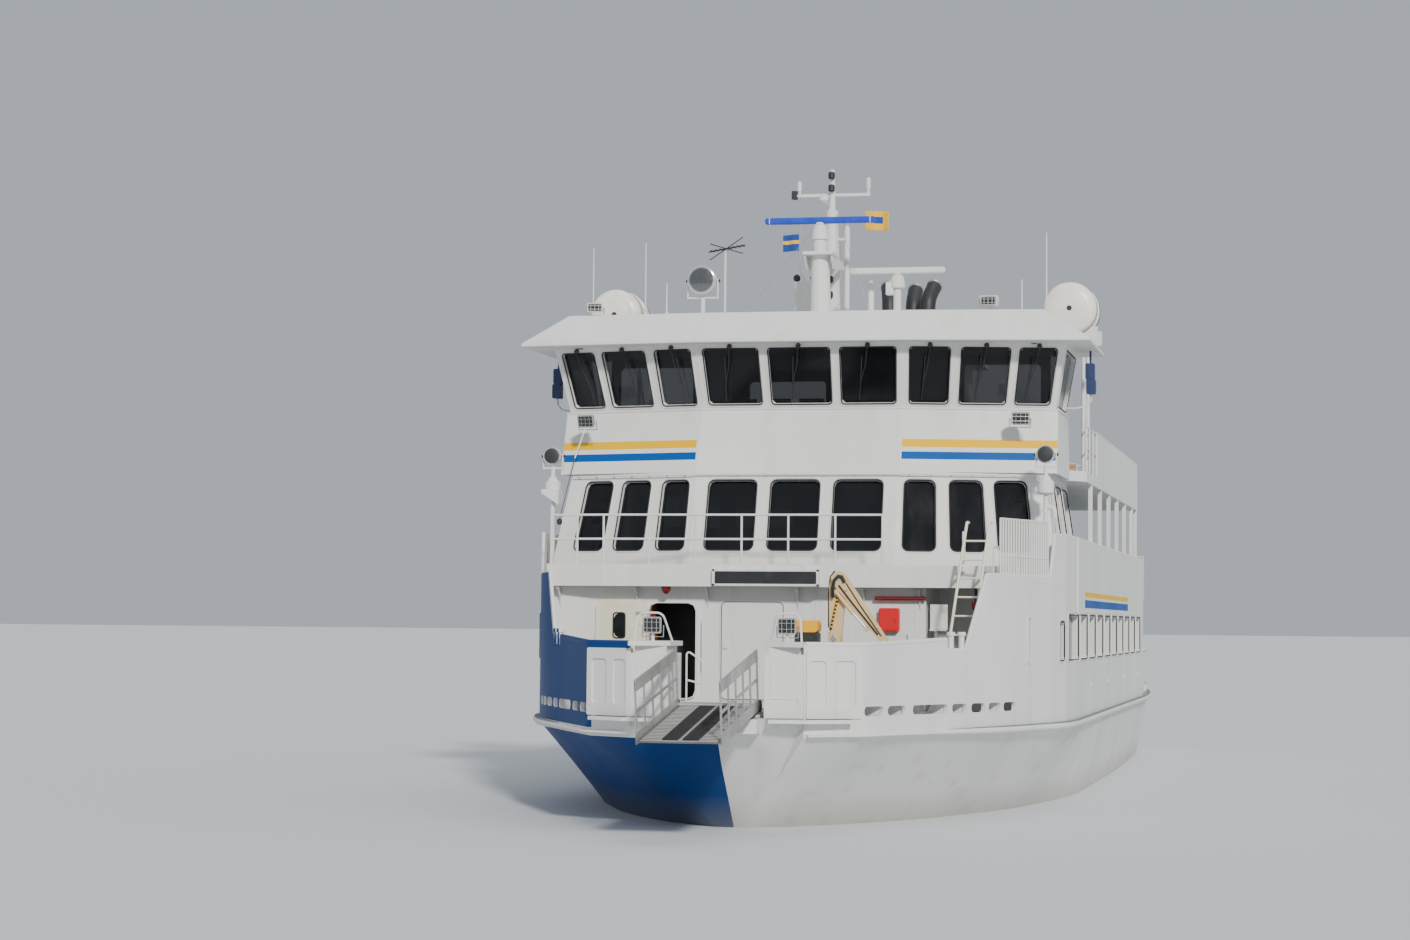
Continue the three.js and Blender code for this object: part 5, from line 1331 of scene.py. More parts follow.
def dress_door(name, face_x, way, leaf, light):
    """Way is +1 where the leaf's outer face looks ahead and -1 where it looks aft."""
    y0, y1, z0, z1 = leaf
    body = name + "_body"
    outlines = [flat_loop(face_x, y0 + d, y1 - d, z0 + d, z1 - d, 0.12) for d in (0.08, 0.13)]
    bars(name + "_outline", outlines, 0.006, CREAM, body, sides=6)
    a0, a1, b0, b1 = light
    seal = [flat_loop(face_x + way * 0.003, a0 - 0.012, a1 + 0.012, b0 - 0.012, b1 + 0.012, 0.05)]
    bars(name + "_seal", seal, 0.014, RUBBER, body)
    middle = face_x - way * LEAF_THICK / 2
    outline = rounded(a0 - 0.004, a1 + 0.004, b0 - 0.004, b1 + 0.004, 0.03)
    piece(Form().prism(outline, "x", middle - 0.003, middle + 0.003), name + "_pane", [SALOON_GLASS], body)
    grip_y, grip_z, grip_x = y0 + 0.13, z0 + 0.88, face_x + way * 0.035
    hardware = Form()
    hardware.turned((face_x, grip_y, grip_z), (face_x + way * 0.03, grip_y, grip_z), (0.035, 0.03), 16)
    hardware.pipe([(grip_x, grip_y, grip_z), (grip_x, grip_y + 0.14, grip_z)], 0.011, 10)
    for z in (z0 + 0.25, (z0 + z1) / 2, z1 - 0.25):
        hardware.block((face_x, y1 - 0.20, z - 0.03), (face_x + way * 0.008, y1 - 0.05, z + 0.03))
    piece(hardware, name + "_hardware", [STEEL], body, bevel=0.003)


dress_door("bow_door", 12.204, 1, (-3.43, -2.48, 1.96, 3.77), (-3.085, -2.89, 3.085, 3.515))
filler = Form().block((12.163, -2.886, 3.082), (12.199, -2.672, 3.518))
piece(filler, "bow_door_filler", [CREAM], "bow_door_body", bevel=0.004)
# Columns: door, x, deck, starboard edge, port edge
AFT_DOORS = (("main_aft_door", -11.05, HOUSE_DECK, -0.45, 0.45),
             ("saloon_aft_door", 5.65, UPPER_DECK, -0.45, 0.45),
             ("wheelhouse_door", 4.75, SUN_DECK, 0.70, 1.50))
for name, x, deck, low, high in AFT_DOORS:
    leaf = (low - 0.04, high + 0.04, deck + 0.085, deck + 1.965)
    dress_door(name, x, -1, leaf, (low + 0.18, high - 0.18, deck + 1.20, deck + 1.75))
print("Four doors are dressed")

# %% [markdown]
# ## Windows
#
# Ship's windows are panes of nearly black glass set in rubber, with a thin raised bead round them. From afar
# the light line of the bead and the dark line of the rubber are what tell a window from a painted square.
# Both are round bars on the rounded outline of the opening, found on the leaning wall from its four corners.

# %% Beads and seals round the windows
def wall_face(foot_a, foot_b, head_a, head_b, low, high):
    """Four corners of a leaning wall: feet and heads."""
    return [Vector((*foot_a, low)), Vector((*foot_b, low)), Vector((*head_a, high)), Vector((*head_b, high))]


def on_wall(wall, u, v):
    return wall[0].lerp(wall[1], u).lerp(wall[2].lerp(wall[3], u), v)


def wall_out(wall):
    """Outward direction of a wall that looks ahead or to port."""
    out = (wall[1] - wall[0]).cross(wall[2] - wall[0]).normalized()
    return out if out.x + out.y > 0 else -out


def pane_loop(wall, span, grow, proud, radius):
    """Closed rounded outline round a window, larger by grow and raised off the wall by proud."""
    u0, u1, v0, v1 = span
    corners = [on_wall(wall, u, v) for u, v in ((u0, v0), (u1, v0), (u1, v1), (u0, v1))]
    across = (corners[1] - corners[0]).normalized() * grow
    up = (corners[3] - corners[0]).normalized() * grow
    ways = ((-1, -1), (1, -1), (1, 1), (-1, 1))
    moved = [corner + across * a + up * b for corner, (a, b) in zip(corners, ways)]
    lift = wall_out(wall) * proud
    ring = []
    for i, corner in enumerate(moved):
        to_last = (moved[i - 1] - corner).normalized() * (radius + grow)
        to_next = (moved[(i + 1) % 4] - corner).normalized() * (radius + grow)
        for step in range(5):
            t = step * pi / 8
            ring.append(corner + to_last * (1 - sin(t)) + to_next * (1 - cos(t)) + lift)
    return ring + ring[:1]


def both_sides(paths):
    return paths + [[Vector((p[0], -p[1], p[2])) for p in path] for path in paths]


UPPER_FLOOR, SUN_FLOOR = 4.101, 6.351
SALOON_V = (0.29, 0.925)
SALOON_CENTRE = wall_face((11.45, -1.9), (11.45, 1.9), (10.8356, -1.88), (10.8356, 1.88), UPPER_FLOOR, 6.149)
SALOON_OUTER = wall_face((11.45, 1.9), (10.5, 4.8), (10.8356, 1.88), (9.9839, 4.48), UPPER_FLOOR, 6.149)
SALOON_SIDE = wall_face((5.7, 4.8), (10.299, 4.8), (5.7, 4.48), (9.783, 4.48), UPPER_FLOOR, 6.149)
BRIDGE_CENTRE = wall_face((10.26, -1.87), (10.26, 1.87), (10.74, -1.94), (10.74, 1.94), 7.35, 8.539)
BRIDGE_OUTER = wall_face((10.26, 1.87), (9.56, 4.64), (10.74, 1.94), (10.002, 4.86), 7.35, 8.539)
BRIDGE_SIDE = wall_face((9.56, 4.64), (7.5, 4.64), (10.002, 4.86), (7.5, 4.86), 7.35, 8.539)
MIDDLE_WINDOWS = [
    (SALOON_CENTRE, [(0.068, 0.308), (0.379, 0.621), (0.692, 0.932)], SALOON_V, 0.11),
    (BRIDGE_CENTRE, [(0.03, 0.3), (0.35, 0.65), (0.7, 0.97)], (0.075, 0.925), 0.06),
]
SIDE_WINDOWS = [
    (SALOON_OUTER, [(0.05, 0.255), (0.35, 0.57), (0.65, 0.865)], SALOON_V, 0.11),
    (SALOON_SIDE, [(0.05, 0.31), (0.36, 0.62), (0.67, 0.93)], (0.47, 0.925), 0.11),
    (BRIDGE_OUTER, [(0.047, 0.296), (0.368, 0.668), (0.729, 0.955)], (0.075, 0.925), 0.06),
    (BRIDGE_SIDE, [(0.12, 0.9)], (0.075, 0.925), 0.06),
]
SIDE_LINE = [(-11.0, 4.905), (-9.0, 4.99), (9.0, 4.99), (10.4, 4.92), (11.25, 4.735), (12.149, 4.465)]
BAY_FORE_X, BAY_PITCH, BAY_LONG, BAY_COUNT = 10.16, 1.9, 1.48, 10


def side_bays():
    """Each bay of the main deck's side, and the short window ahead of them, as a small upright wall."""
    fores = [BAY_FORE_X - BAY_PITCH * k for k in range(BAY_COUNT)]
    for x0, x1, head in [(fore - BAY_LONG, fore, 3.56) for fore in fores] + [(10.50, 10.78, 3.43)]:
        a, b = ((x, straight_at(SIDE_LINE, x)) for x in (x0, x1))
        yield wall_face(a, b, a, b, 2.74, head)


def window_loops(grow, proud):
    middle = [pane_loop(wall, (u0, u1, *v), grow, proud, r)
              for wall, spans, v, r in MIDDLE_WINDOWS for u0, u1 in spans]
    side = [pane_loop(wall, (u0, u1, *v), grow, proud, r)
            for wall, spans, v, r in SIDE_WINDOWS for u0, u1 in spans]
    side += [pane_loop(wall, (0, 1, 0, 1), grow, proud, 0.06) for wall in side_bays()]
    return middle + both_sides(side)


beads = window_loops(0.035, 0.004)
bars("window_beads", beads, 0.011, sides=6)
bars("window_seals", window_loops(0.004, 0.0), 0.014, RUBBER, sides=6)
print(len(beads), "windows have a bead and a seal")

# %% [markdown]
# ## Wipers and grab rails
#
# Each front window of the bridge has a wiper that hangs from a motor over the glass, and a hand rail on short
# brackets runs under the bridge, over the ledge from which the windows are washed. The wipers are thin black
# steel, so they only show as lines on the glass.

# %% Wipers and grab rails
def wiper(wall, u):
    lift = wall_out(wall) * 0.03
    form = Form()
    hub = on_wall(wall, u, 0.965) + lift * 0.3
    form.turned(hub - lift * 0.3, hub + lift * 1.6, [(0, 0.045), (0.8, 0.045), (1, 0.03)], 16)
    end = on_wall(wall, u - 0.035, 0.42) + lift
    form.pipe([hub + lift, on_wall(wall, u - 0.01, 0.7) + lift * 1.3, end], 0.009, 6)
    blade = [on_wall(wall, u - 0.045, 0.14), on_wall(wall, u - 0.028, 0.80)]
    return form.pipe([place + lift * 0.5 for place in blade], 0.010, 6)


def wipers():
    forms = [wiper(BRIDGE_CENTRE, (u0 + u1) / 2) for u0, u1 in MIDDLE_WINDOWS[1][1]]
    for u0, u1 in SIDE_WINDOWS[2][1]:
        forms.append(wiper(BRIDGE_OUTER, (u0 + u1) / 2).both_sides())
    return gather(forms)


def hand_rail():
    """Rail over the saloon windows, from side to side, on short brackets."""
    half = [on_wall(SALOON_OUTER, u, 0.965) + wall_out(SALOON_OUTER) * 0.08 for u in (0.97, 0.02)]
    paths = [half + both_sides([half])[1][::-1]]
    for k in range(7):
        foot = on_wall(SALOON_CENTRE, 0.06 + 0.88 * k / 6, 0.965)
        paths.append([foot, foot + wall_out(SALOON_CENTRE) * 0.08])
        foot = on_wall(SALOON_OUTER, 0.08 + 0.85 * k / 6, 0.965)
        paths += both_sides([[foot, foot + wall_out(SALOON_OUTER) * 0.08]])
    bars("hand_rail", paths, 0.014)


piece(wipers(), "wipers", [BLACK])
hand_rail()
for side, hand in SIDES:
    lamp = floodlight(0.34, 0.24, (10.52, hand * 4.09, 7.13), hand * 12, 12)
    piece(lamp, "band_lamp_" + side, LAMP_FINISHES)
print("Nine wipers, one hand rail and two floodlights")

# %% [markdown]
# ## Rails at the front of the upper deck
#
# The guard rail stops where the ladder comes up, and a cage of closely set bars follows the top of the port
# wing wall, above the gear on the fore deck. Rails are welded tube: every one is a round bar on a line, so a
# whole fence is a list of lines.

# %% Front rails, frames and ladder
FRONT_RAIL = [(12.57, 1.88), (12.57, -3.20), (12.375, -4.23)]
FASCIA_LINE = [(12.40, 4.305), (12.60, 3.21), (12.60, -3.21), (12.40, -4.305)]
CAGE_LINE = [(13.29, 4.052), (12.15, 4.43), (11.33, 4.672)]


def fence(line, foot, height, counts, levels=(0.5, 1.0)):
    """Rails along a line in plan and posts under them."""
    paths = [[(x, y, foot + height * level) for x, y in line] for level in levels]
    for i, ((x0, y0), (x1, y1)) in enumerate(zip(line, line[1:])):
        for k in range(0 if i == 0 else 1, counts[i] + 1):
            t = k / counts[i]
            x, y = x0 + (x1 - x0) * t, y0 + (y1 - y0) * t
            paths.append([(x, y, foot - 0.02), (x, y, foot + height)])
    return paths


def toe_strip():
    form = Form()
    line = [(12.60, 1.91)] + FASCIA_LINE[2:]
    for (x0, y0), (x1, y1) in zip(line, line[1:]):
        form.prism([(x0, y0), (x1, y1), (x1 - 0.06, y1), (x0 - 0.06, y0)], "z", 4.401, 4.412)
    return form


def ladder():
    foot, head = Vector((13.70, 3.25, 1.88)), Vector((12.90, 3.62, 5.15))
    paths = []
    for dy in (-0.2, 0.2):
        side = Vector((0, dy, 0))
        bracket = foot.lerp(head, 0.74) + side
        paths.append([foot + side, head + side, head + side + Vector((-0.22, 0, 0.0))])
        paths.append([bracket, Vector((12.61 - (bracket.y - 3.21) * 0.183, bracket.y, bracket.z))])
    bars("ladder_sides", paths, 0.026, CREAM, replaces=["foredeck_ladder"],
         bend=0.05, sides=12)
    rung = Form().turned((0, -0.2, 0), (0, 0.2, 0), 0.018, 12)
    places = [(foot.lerp(head, k / 10), LEVEL, UNIT) for k in range(1, 10)]
    copies("ladder_rungs", rung, places, CREAM)


rails = fence(FRONT_RAIL, 4.422, 0.87, [6, 2])
cage = fence(CAGE_LINE, 4.252, 0.95, [11, 8], (0.325, 1.0))
tie = [[(12.375, 4.28, 4.40), (12.375, 4.28, 4.575), (12.385, 4.36, 4.575)]]
bars("front_rails", rails + cage + tie, 0.020, replaces=["front_rail"])
piece(toe_strip(), "toe_strip")
frames = [[(12.96, 3.36, z) for z in (4.42, 4.98)] + [(12.75, 3.36, 4.98), (12.75, 3.36, 4.42)]]
frames += [[(13.02, 3.90, z) for z in (4.22, 4.72)] + [(12.70, 3.98, 4.72), (12.70, 3.98, 4.22)]]
bars("gate_frames", frames, 0.016, bend=0.05)
ladder()
print(len(rails) + len(cage), "rails and posts at the front")

# %% [markdown]
# ## Sign board
#
# The board over the fore deck is a row of dark lamps behind a sheet, in a white frame. Here it stays blank.

# %% Sign board
def sign_board():
    form = Form().block((12.602, -1.17, 4.02), (12.68, 0.77, 4.32), 0)
    form.block((12.68, -1.12, 4.06), (12.69, 0.72, 4.28), 1)
    for z0, z1 in ((4.02, 4.06), (4.28, 4.32)):
        form.block((12.68, -1.17, z0), (12.70, 0.77, z1), 0)
    for y0, y1 in ((-1.17, -1.12), (0.72, 0.77)):
        form.block((12.68, y0, 4.02), (12.70, y1, 4.32), 0)
    for y in (-0.9, -0.2, 0.5):
        form.block((12.60, y - 0.03, 4.32), (12.64, y + 0.03, 4.39), 0)
    return form


piece(sign_board(), "sign_face", [WHITE_PAINT, SIGN], replaces=["sign_board"], bevel=0.004)
print("The sign board is blank")

# %% [markdown]
# ## Deck crane
#
# A small crane for parcels stands folded beside the gangway. Its column is turned from pipe, its boom and jib
# are boxes, and a hose arches over the joint between them. Each part is drawn round the crane's own axis and
# rides on the body that carries it, so the crane still slews and folds. A yellow cover keeps rain off the
# winch, and a hose in a striped sleeve runs down the boom.

# %% Crane
AT_CRANE = Matrix.Translation((15.8, 1.6, 0))
CRANE_FINISHES = [CRANE_CREAM, STEEL, RUBBER, YELLOW, BLACK]
BOOM_PIN_Z, JIB_PIN = 3.12, (0, 0.06, 4.12)
JIB_HANGS = 53
HOSE_RINGS = 18


def crane_foot():
    pillar = [(0, 0.26), (0.04, 0.26), (0.05, 0.20), (0.93, 0.20), (0.94, 0.25), (1, 0.25)]
    form = Form().block((-0.33, -0.33, 1.851), (0.33, 0.33, 1.89))
    form.upright(0, 0, 1.89, 2.56, pillar, 32)
    web = Form().prism([(0.19, 1.89), (0.36, 1.89), (0.19, 2.20)], "y", -0.008, 0.008)
    for k in range(4):
        form.add(gather([web]).moved(Matrix.Rotation(radians(45 + 90 * k), 4, "Z")))
    return form


def crane_turret():
    """Column, two cheeks for the boom's pin, and the winch under its cover."""
    form = Form().upright(0, 0, 2.566, 2.85, [(0, 0.25), (0.10, 0.25), (0.12, 0.21), (1, 0.21)], 32)
    for x in (-0.15, 0.11):
        form.prism([(-0.14, 2.83), (0.14, 2.83), (0.09, 3.23), (-0.09, 3.23)], "x", x, x + 0.04)
    form.block((-0.16, -0.64, 2.70), (0.16, -0.12, 2.79))
    form.turned((-0.165, 0, BOOM_PIN_Z), (0.165, 0, BOOM_PIN_Z), 0.05, 16, 1)
    form.prism(rounded(-0.65, -0.27, 2.79, 3.22, 0.03), "x", -0.17, 0.17, 4)
    form.turned((-0.178, -0.46, 3.02), (0.178, -0.46, 3.02), 0.14, 24, 4)
    form.prism(rounded(-0.66, -0.26, 3.22, 3.42, 0.06), "x", -0.18, 0.18, 3)
    for y in (-0.55, -0.38):
        form.pipe([(0.181, y, 2.85), (0.19, y, 2.95), (0.181, y, 3.1)], 0.012, 6, 4)
    return form


def crane_arm():
    head = [(0.065 + 0.115 * cos(t), 4.11 + 0.115 * sin(t)) for t in (0, 0.5, 1.0, 1.5)]
    outline = [(-0.10, 3.04), (0.10, 3.04), (0.17, 3.90)] + head
    outline += [(-0.02, 4.215), (-0.08, 4.14), (-0.11, 3.97)]
    form = Form().prism(outline, "x", -0.10, -0.01)
    form.turned((-0.12, 0, BOOM_PIN_Z), (0.10, 0, BOOM_PIN_Z), 0.038, 16, 1)
    line = [(-0.08, -0.12, 3.30), (-0.09, -0.125, 3.9), (-0.08, -0.10, 4.14), (-0.06, -0.02, 4.24)]
    form.pipe(line, 0.016, 8, 2)
    top, bottom = Vector((0.012, 0.05, 3.84)), Vector((0.012, -0.075, 3.27))
    for k in range(HOSE_RINGS):
        ends = [top.lerp(bottom, (k + step) / HOSE_RINGS) for step in (0, 1)]
        form.pipe(ends, *((0.022, 8, 2) if k % 2 else (0.019, 8, 3)))
    return form


def crane_fly():
    """The jib is drawn along +Y from its pin and hung by its angle. The arched hose stays as it is."""
    outline = [(-0.09, -0.09), (0.05, -0.13), (1.30, -0.06), (1.33, 0.0), (1.30, 0.06), (0.05, 0.13),
               (-0.09, 0.09)]
    form = Form().prism(outline, "x", 0.008, 0.098)
    form.pipe([(0.06, 0.16, -0.165), (0.06, 0.62, -0.15)], 0.036, 14)
    form.pipe([(0.06, 0.60, -0.15), (0.06, 0.95, -0.12)], 0.018, 12, 1)
    for y, z in ((0.16, -0.12), (0.95, -0.08)):
        form.block((0.03, y - 0.035, z - 0.08), (0.09, y + 0.035, z + 0.04))
    form.turned((0.004, 0, 0), (0.102, 0, 0), 0.045, 16, 1)
    form.pipe([(0.112, 0.10, -0.06), (0.118, 0.5, -0.05), (0.112, 1.15, -0.02)], 0.014, 8, 2)
    form.pipe([(0.108, 0.14, 0.06), (0.112, 0.6, 0.03), (0.106, 1.2, 0.01)], 0.010, 8, 2)
    form.turned((0.053, 1.28, -0.03), (0.053, 1.34, -0.10), (0.03, 0.022), 12, 1)
    form.moved(Matrix.Translation(JIB_PIN) @ Matrix.Rotation(radians(-JIB_HANGS), 4, "X"))
    return form.pipe([(0.06, -0.035, 3.80), (0.125, -0.025, 3.94), (0.13, 0, 4.08), (0.13, 0.065, 4.155),
                      (0.13, 0.13, 4.14), (0.125, 0.175, 4.05)], 0.028, 12, 2)


# Columns: piece, form, the node that it replaces, body, bevel
CRANE = [("crane_foot", crane_foot(), "crane_base", "ship", 0.005),
         ("crane_turret", crane_turret(), "crane_column", "crane_column_body", 0.005),
         ("crane_arm", crane_arm(), "crane_boom", "crane_boom_body", 0.005),
         ("crane_fly", crane_fly(), "crane_jib", "crane_jib_body", 0.004)]
for name, form, node, body, bevel in CRANE:
    piece(form.moved(AT_CRANE), name, CRANE_FINISHES, body, replaces=[node], bevel=bevel)
print("The crane has a foot, a turret, an arm and a jib")

# %% [markdown]
# ## Bridge roof
#
# The roof's edge slopes down to a thin lip that shades the windows. It is one shell over three outlines: lip,
# lip again a little higher, and the flat top. On it stand the pedestal of the low radar, a searchlight, boxes
# with lamps, and thin aerials.

# %% Roof
ROOF_FOOT = 9.14
ROOF_LAMP = (9.5, -2.08, 9.87)
LOW_RADAR_Y = 1.51
MAST_X, RADAR_X = 7.15, 8.5


def mirrored_plan(half):
    """A plan closed by its own mirror image, from port to starboard."""
    return half + [(x, -y) for x, y in reversed(half)]


def roof():
    form = Form()
    wing_low = mirrored_plan([(7.2, 5.35), (10.62, 5.35), (11.06, 1.99)])
    wing_high = mirrored_plan([(7.55, 4.5), (10.3, 4.5), (10.54, 1.83)])
    core_low = mirrored_plan([(4.5, 2.8), (9.0, 2.8)])
    core_high = mirrored_plan([(4.85, 2.45), (9.0, 2.45)])
    for low, high, inset in ((wing_low, wing_high, 0.0), (core_low, core_high, 0.003)):
        levels = ((low, 8.54 + inset), (low, 8.60), (high, 9.15 - inset))
        form.skin([[(x, y, z) for x, y in plan] for plan, z in levels])
    return form


def pedestal():
    post = [(0, 0.13), (0.05, 0.13), (0.07, 0.075), (1, 0.075)]
    form = Form().upright(RADAR_X, LOW_RADAR_Y, ROOF_FOOT, 9.80, post, 20)
    form.upright(RADAR_X, LOW_RADAR_Y, 9.78, 10.03, [(0, 0.13), (0.1, 0.15), (0.6, 0.14), (1, 0.11)], 28)
    return form.block((8.40, 1.30, 9.66), (8.60, 1.45, 9.90))


piece(roof(), "roof_shell", replaces=["wheelhouse_roof"], bevel=0.012)
piece(pedestal(), "low_radar_pedestal", bevel=0.004)
print("The roof is on, with a pedestal for the low radar")


# %% Searchlight
def searchlight(x, y, z, radius, depth):
    """A drum lamp that looks ahead, in a yoke on a post. Finishes: paint, glass, bright metal, black."""
    form = Form()
    front = depth / 2
    barrel = [(0, 0.35), (0.12, 0.75), (0.35, 0.97), (0.9, 0.97), (0.92, 1), (1, 1)]
    lens = [(0, 0.86), (0.6, 0.84), (1, 0.5)]
    rim = [(0, 0.98), (1, 0.88)]
    for mark, (start, end, rows) in enumerate(((-front, front, barrel), (front, front + 0.03, lens),
                                               (front, front + 0.012, rim))):
        profile = [(share, radius * size) for share, size in rows]
        form.turned((x + start, y, z), (x + end, y, z), profile, 36, mark)
    foot = z - radius - 0.05
    for side in (-1, 1):
        edge = y + side * (radius + 0.02)
        low, high = edge - 0.012, edge + 0.012
        form.prism([(low, foot), (high, foot), (high, z + 0.04), (low, z + 0.04)], "x", x - 0.03, x + 0.03)
        form.turned((x, edge - side * 0.02, z), (x, edge + side * 0.04, z), 0.03, 12, 3)
    half = radius + 0.032
    return form.block((x - 0.04, y - half, foot - 0.025), (x + 0.04, y + half, foot + 0.005))


piece(searchlight(*ROOF_LAMP, 0.27, 0.32), "roof_searchlight", [WHITE_PAINT, LENS_GLASS, CHROME, BLACK],
      bevel=0.003)
post = [(0, 0.12), (0.08, 0.12), (0.1, 0.045), (1, 0.045)]
piece(Form().upright(*ROOF_LAMP[:2], ROOF_FOOT, 9.57, post, 20), "searchlight_post")
print("A searchlight stands on the roof")


# %% Aerials, boxes and lamps
def aerials():
    """Whips on small feet, and the mast of the comb aerial. Columns: x, y, tip z."""
    whips = [(8.0, -4.63, 10.74), (8.0, -3.57, 10.82), (7.9, 4.30, 10.88), (7.8, 3.82, 10.0),
             (8.6, -3.0, 9.95)]
    form = Form()
    for x, y, tip in whips:
        form.upright(x, y, ROOF_FOOT, ROOF_FOOT + 0.25, [(0, 0.045), (0.9, 0.032), (1, 0.02)], 12)
        form.upright(x, y, ROOF_FOOT + 0.23, tip, (0.017, 0.010), 10)
    return form.pipe([(8.0, -1.97, ROOF_FOOT), (8.0, -1.97, 10.62)], 0.024, 12)


def comb_aerial():
    """A boom with short bars across it and a flat reflector of two crossed pairs."""
    form = Form().pipe([(8.0, -2.30, 10.62), (8.0, -1.58, 10.74)], 0.016, 8)
    for k in range(8):
        y = -2.22 + k * 0.085
        form.pipe([(7.84, y, 10.635 + k * 0.014), (8.16, y, 10.635 + k * 0.014)], 0.009, 6)
    for tilt in (-0.16, 0.16):
        form.pipe([(8.0, -2.28, 10.62 - tilt), (8.0, -1.95, 10.68), (8.0, -1.62, 10.74 + tilt)], 0.011, 6)
    return form


def roof_boxes():
    form = Form().prism(rounded(3.22, 3.56, 9.29, 9.50, 0.03), "x", 9.35, 9.60)
    form.block((9.42, 3.34, ROOF_FOOT), (9.50, 3.44, 9.30))
    form.upright(8.0, 0.92, ROOF_FOOT, 10.0, [(0, 0.06), (0.9, 0.06), (1, 0.03)], 20)
    form.block((7.06, -0.73, 9.53), (7.24, -0.30, 10.10))
    form.block((6.95, -0.60, 9.18), (7.02, -0.52, 9.60))
    return form.block((6.98, -0.62, 9.55), (7.10, -0.40, 9.62))


def ball_lamps():
    form = Form()
    dome = [(0, 0.02), (0.2, 0.06), (0.5, 0.075), (0.8, 0.06), (1, 0.02)]
    for y in (-0.70, -0.36):
        form.upright(MAST_X, y, 10.10, 10.25, dome, 18)
    return form


piece(aerials(), "aerials")
piece(comb_aerial(), "comb_aerial", [BLACK])
piece(roof_boxes(), "roof_boxes", bevel=0.006)
piece(ball_lamps(), "ball_lamps", [BLACK])
for side, place, turn in (("port", (9.64, 3.39, 9.39), 0), ("starboard", (10.30, -4.0, 9.30), 10)):
    piece(floodlight(0.30, 0.18, place, turn), "roof_lamp_" + side, LAMP_FINISHES)
soffit = Form()
for y in (-4.3, -3.2, -1.1, 1.1, 3.2, 4.3):
    soffit.upright(10.42 - abs(y) * 0.05, y, 8.541, 8.52, (0.06, 0.05), 16)
piece(soffit, "soffit_lamps", [LENS_GLASS])
print("Five whips, a comb aerial, boxes and lamps stand on the roof")

# %% [markdown]
# ## Mast and radars
#
# The mast is a tapered tube with a spreader for flags, and a platform ahead of it on its own column carries
# the high radar. The turning scanners are hollow bars that sweep a flat beam, so their section is a rounded
# box with end caps. Both stay on their own bodies.

# %% Mast and radars
MAST_FOOT = 9.16


def mast():
    form = Form().block((6.89, -0.19, 9.151), (8.63, 0.19, 9.181))
    post = [(0, 0.21), (0.02, 0.21), (0.03, 0.183), (0.5, 0.150), (1, 0.120)]
    form.upright(MAST_X, 0, MAST_FOOT, 11.50, post, 32)
    form.upright(MAST_X, 0, 11.45, 12.32, [(0, 0.09), (0.06, 0.09), (0.08, 0.068), (1, 0.045)], 20)
    form.turned((8.38, 0, 9.166), (8.44, 0, 10.45), [(0, 0.24), (0.02, 0.24), (0.03, 0.208), (1, 0.17)], 28)
    form.prism(mirrored_plan([(MAST_X, 0.16), (8.2, 0.29), (8.76, 0.29)]), "z", 10.44, 10.50)
    for y in (-0.27, 0.25):
        form.prism([(7.2, 10.44), (8.7, 10.44), (8.7, 10.36), (8.5, 10.18), (7.3, 10.30)], "y", y, y + 0.02)
    form.upright(RADAR_X, 0, 10.49, 10.76, [(0, 0.16), (0.1, 0.13), (1, 0.13)], 28)
    form.upright(RADAR_X, 0, 10.75, 11.03, [(0, 0.165), (0.5, 0.16), (0.8, 0.13), (1, 0.12)], 28)
    form.prism(rounded(-0.70, 0.76, 11.78, 11.84, 0.02), "x", 7.12, 7.18)
    lamp = [(0, 0.03), (0.3, 0.03), (0.35, 0.045), (0.9, 0.045), (1, 0.02)]
    for y, z in ((-0.66, 12.10), (0.72, 12.15)):
        form.upright(MAST_X, y, 11.80, z, lamp, 16)
    form.upright(7.2, 0.31, 9.151, 11.20, [(0, 0.055), (0.95, 0.055), (1, 0.03)], 16)
    form.prism(rounded(0.0, 0.31, 10.90, 10.95, 0.012), "x", 7.17, 7.23)
    form.upright(7.42, -0.12, 11.62, 11.80, [(0, 0.05), (0.3, 0.10), (0.7, 0.085), (1, 0.02)], 20)
    return form.pipe([(MAST_X, -0.1, 11.62), (7.42, -0.12, 11.62)], 0.025, 10)


def mast_lamps():
    form = Form()
    lamp = [(0, 0.05), (0.1, 0.065), (0.85, 0.065), (1, 0.04)]
    for z in (11.95, 12.20):
        form.upright(7.25, 0.0, z - 0.08, z + 0.06, lamp, 18)
    form.block((7.10, -0.80, 11.74), (7.26, -0.70, 11.90))
    for z in (9.75, 10.05):
        form.upright(7.37, 0.0, z, z + 0.13, lamp, 18)
    return form


def scanner(level, y, low, half, finish):
    """A bar that turns over its hub, with a white band near each end."""
    section = rounded(-0.075, 0.075, -0.0625, 0.0625, 0.035)
    middle = low + 0.0625

    def across(along, size):
        return [(RADAR_X + a * size, y + along, middle + b * size) for a, b in section]

    ends = [(-half, 0.6), (0.03 - half, 1.0), (half - 0.03, 1.0), (half, 0.6)]
    form = Form().skin([across(along, size) for along, size in ends])
    for band in ((-half + 0.085, -half + 0.10), (half - 0.10, half - 0.085)):
        form.skin([across(along, 1.03) for along in band], 1)
    form.upright(RADAR_X, y, low - 0.022, low + 0.02, 0.09, 28, 1)
    name = "radar_scanner_" + level
    piece(form, name + "_bar", [finish, WHITE_PAINT], name + "_body", replaces=[name])


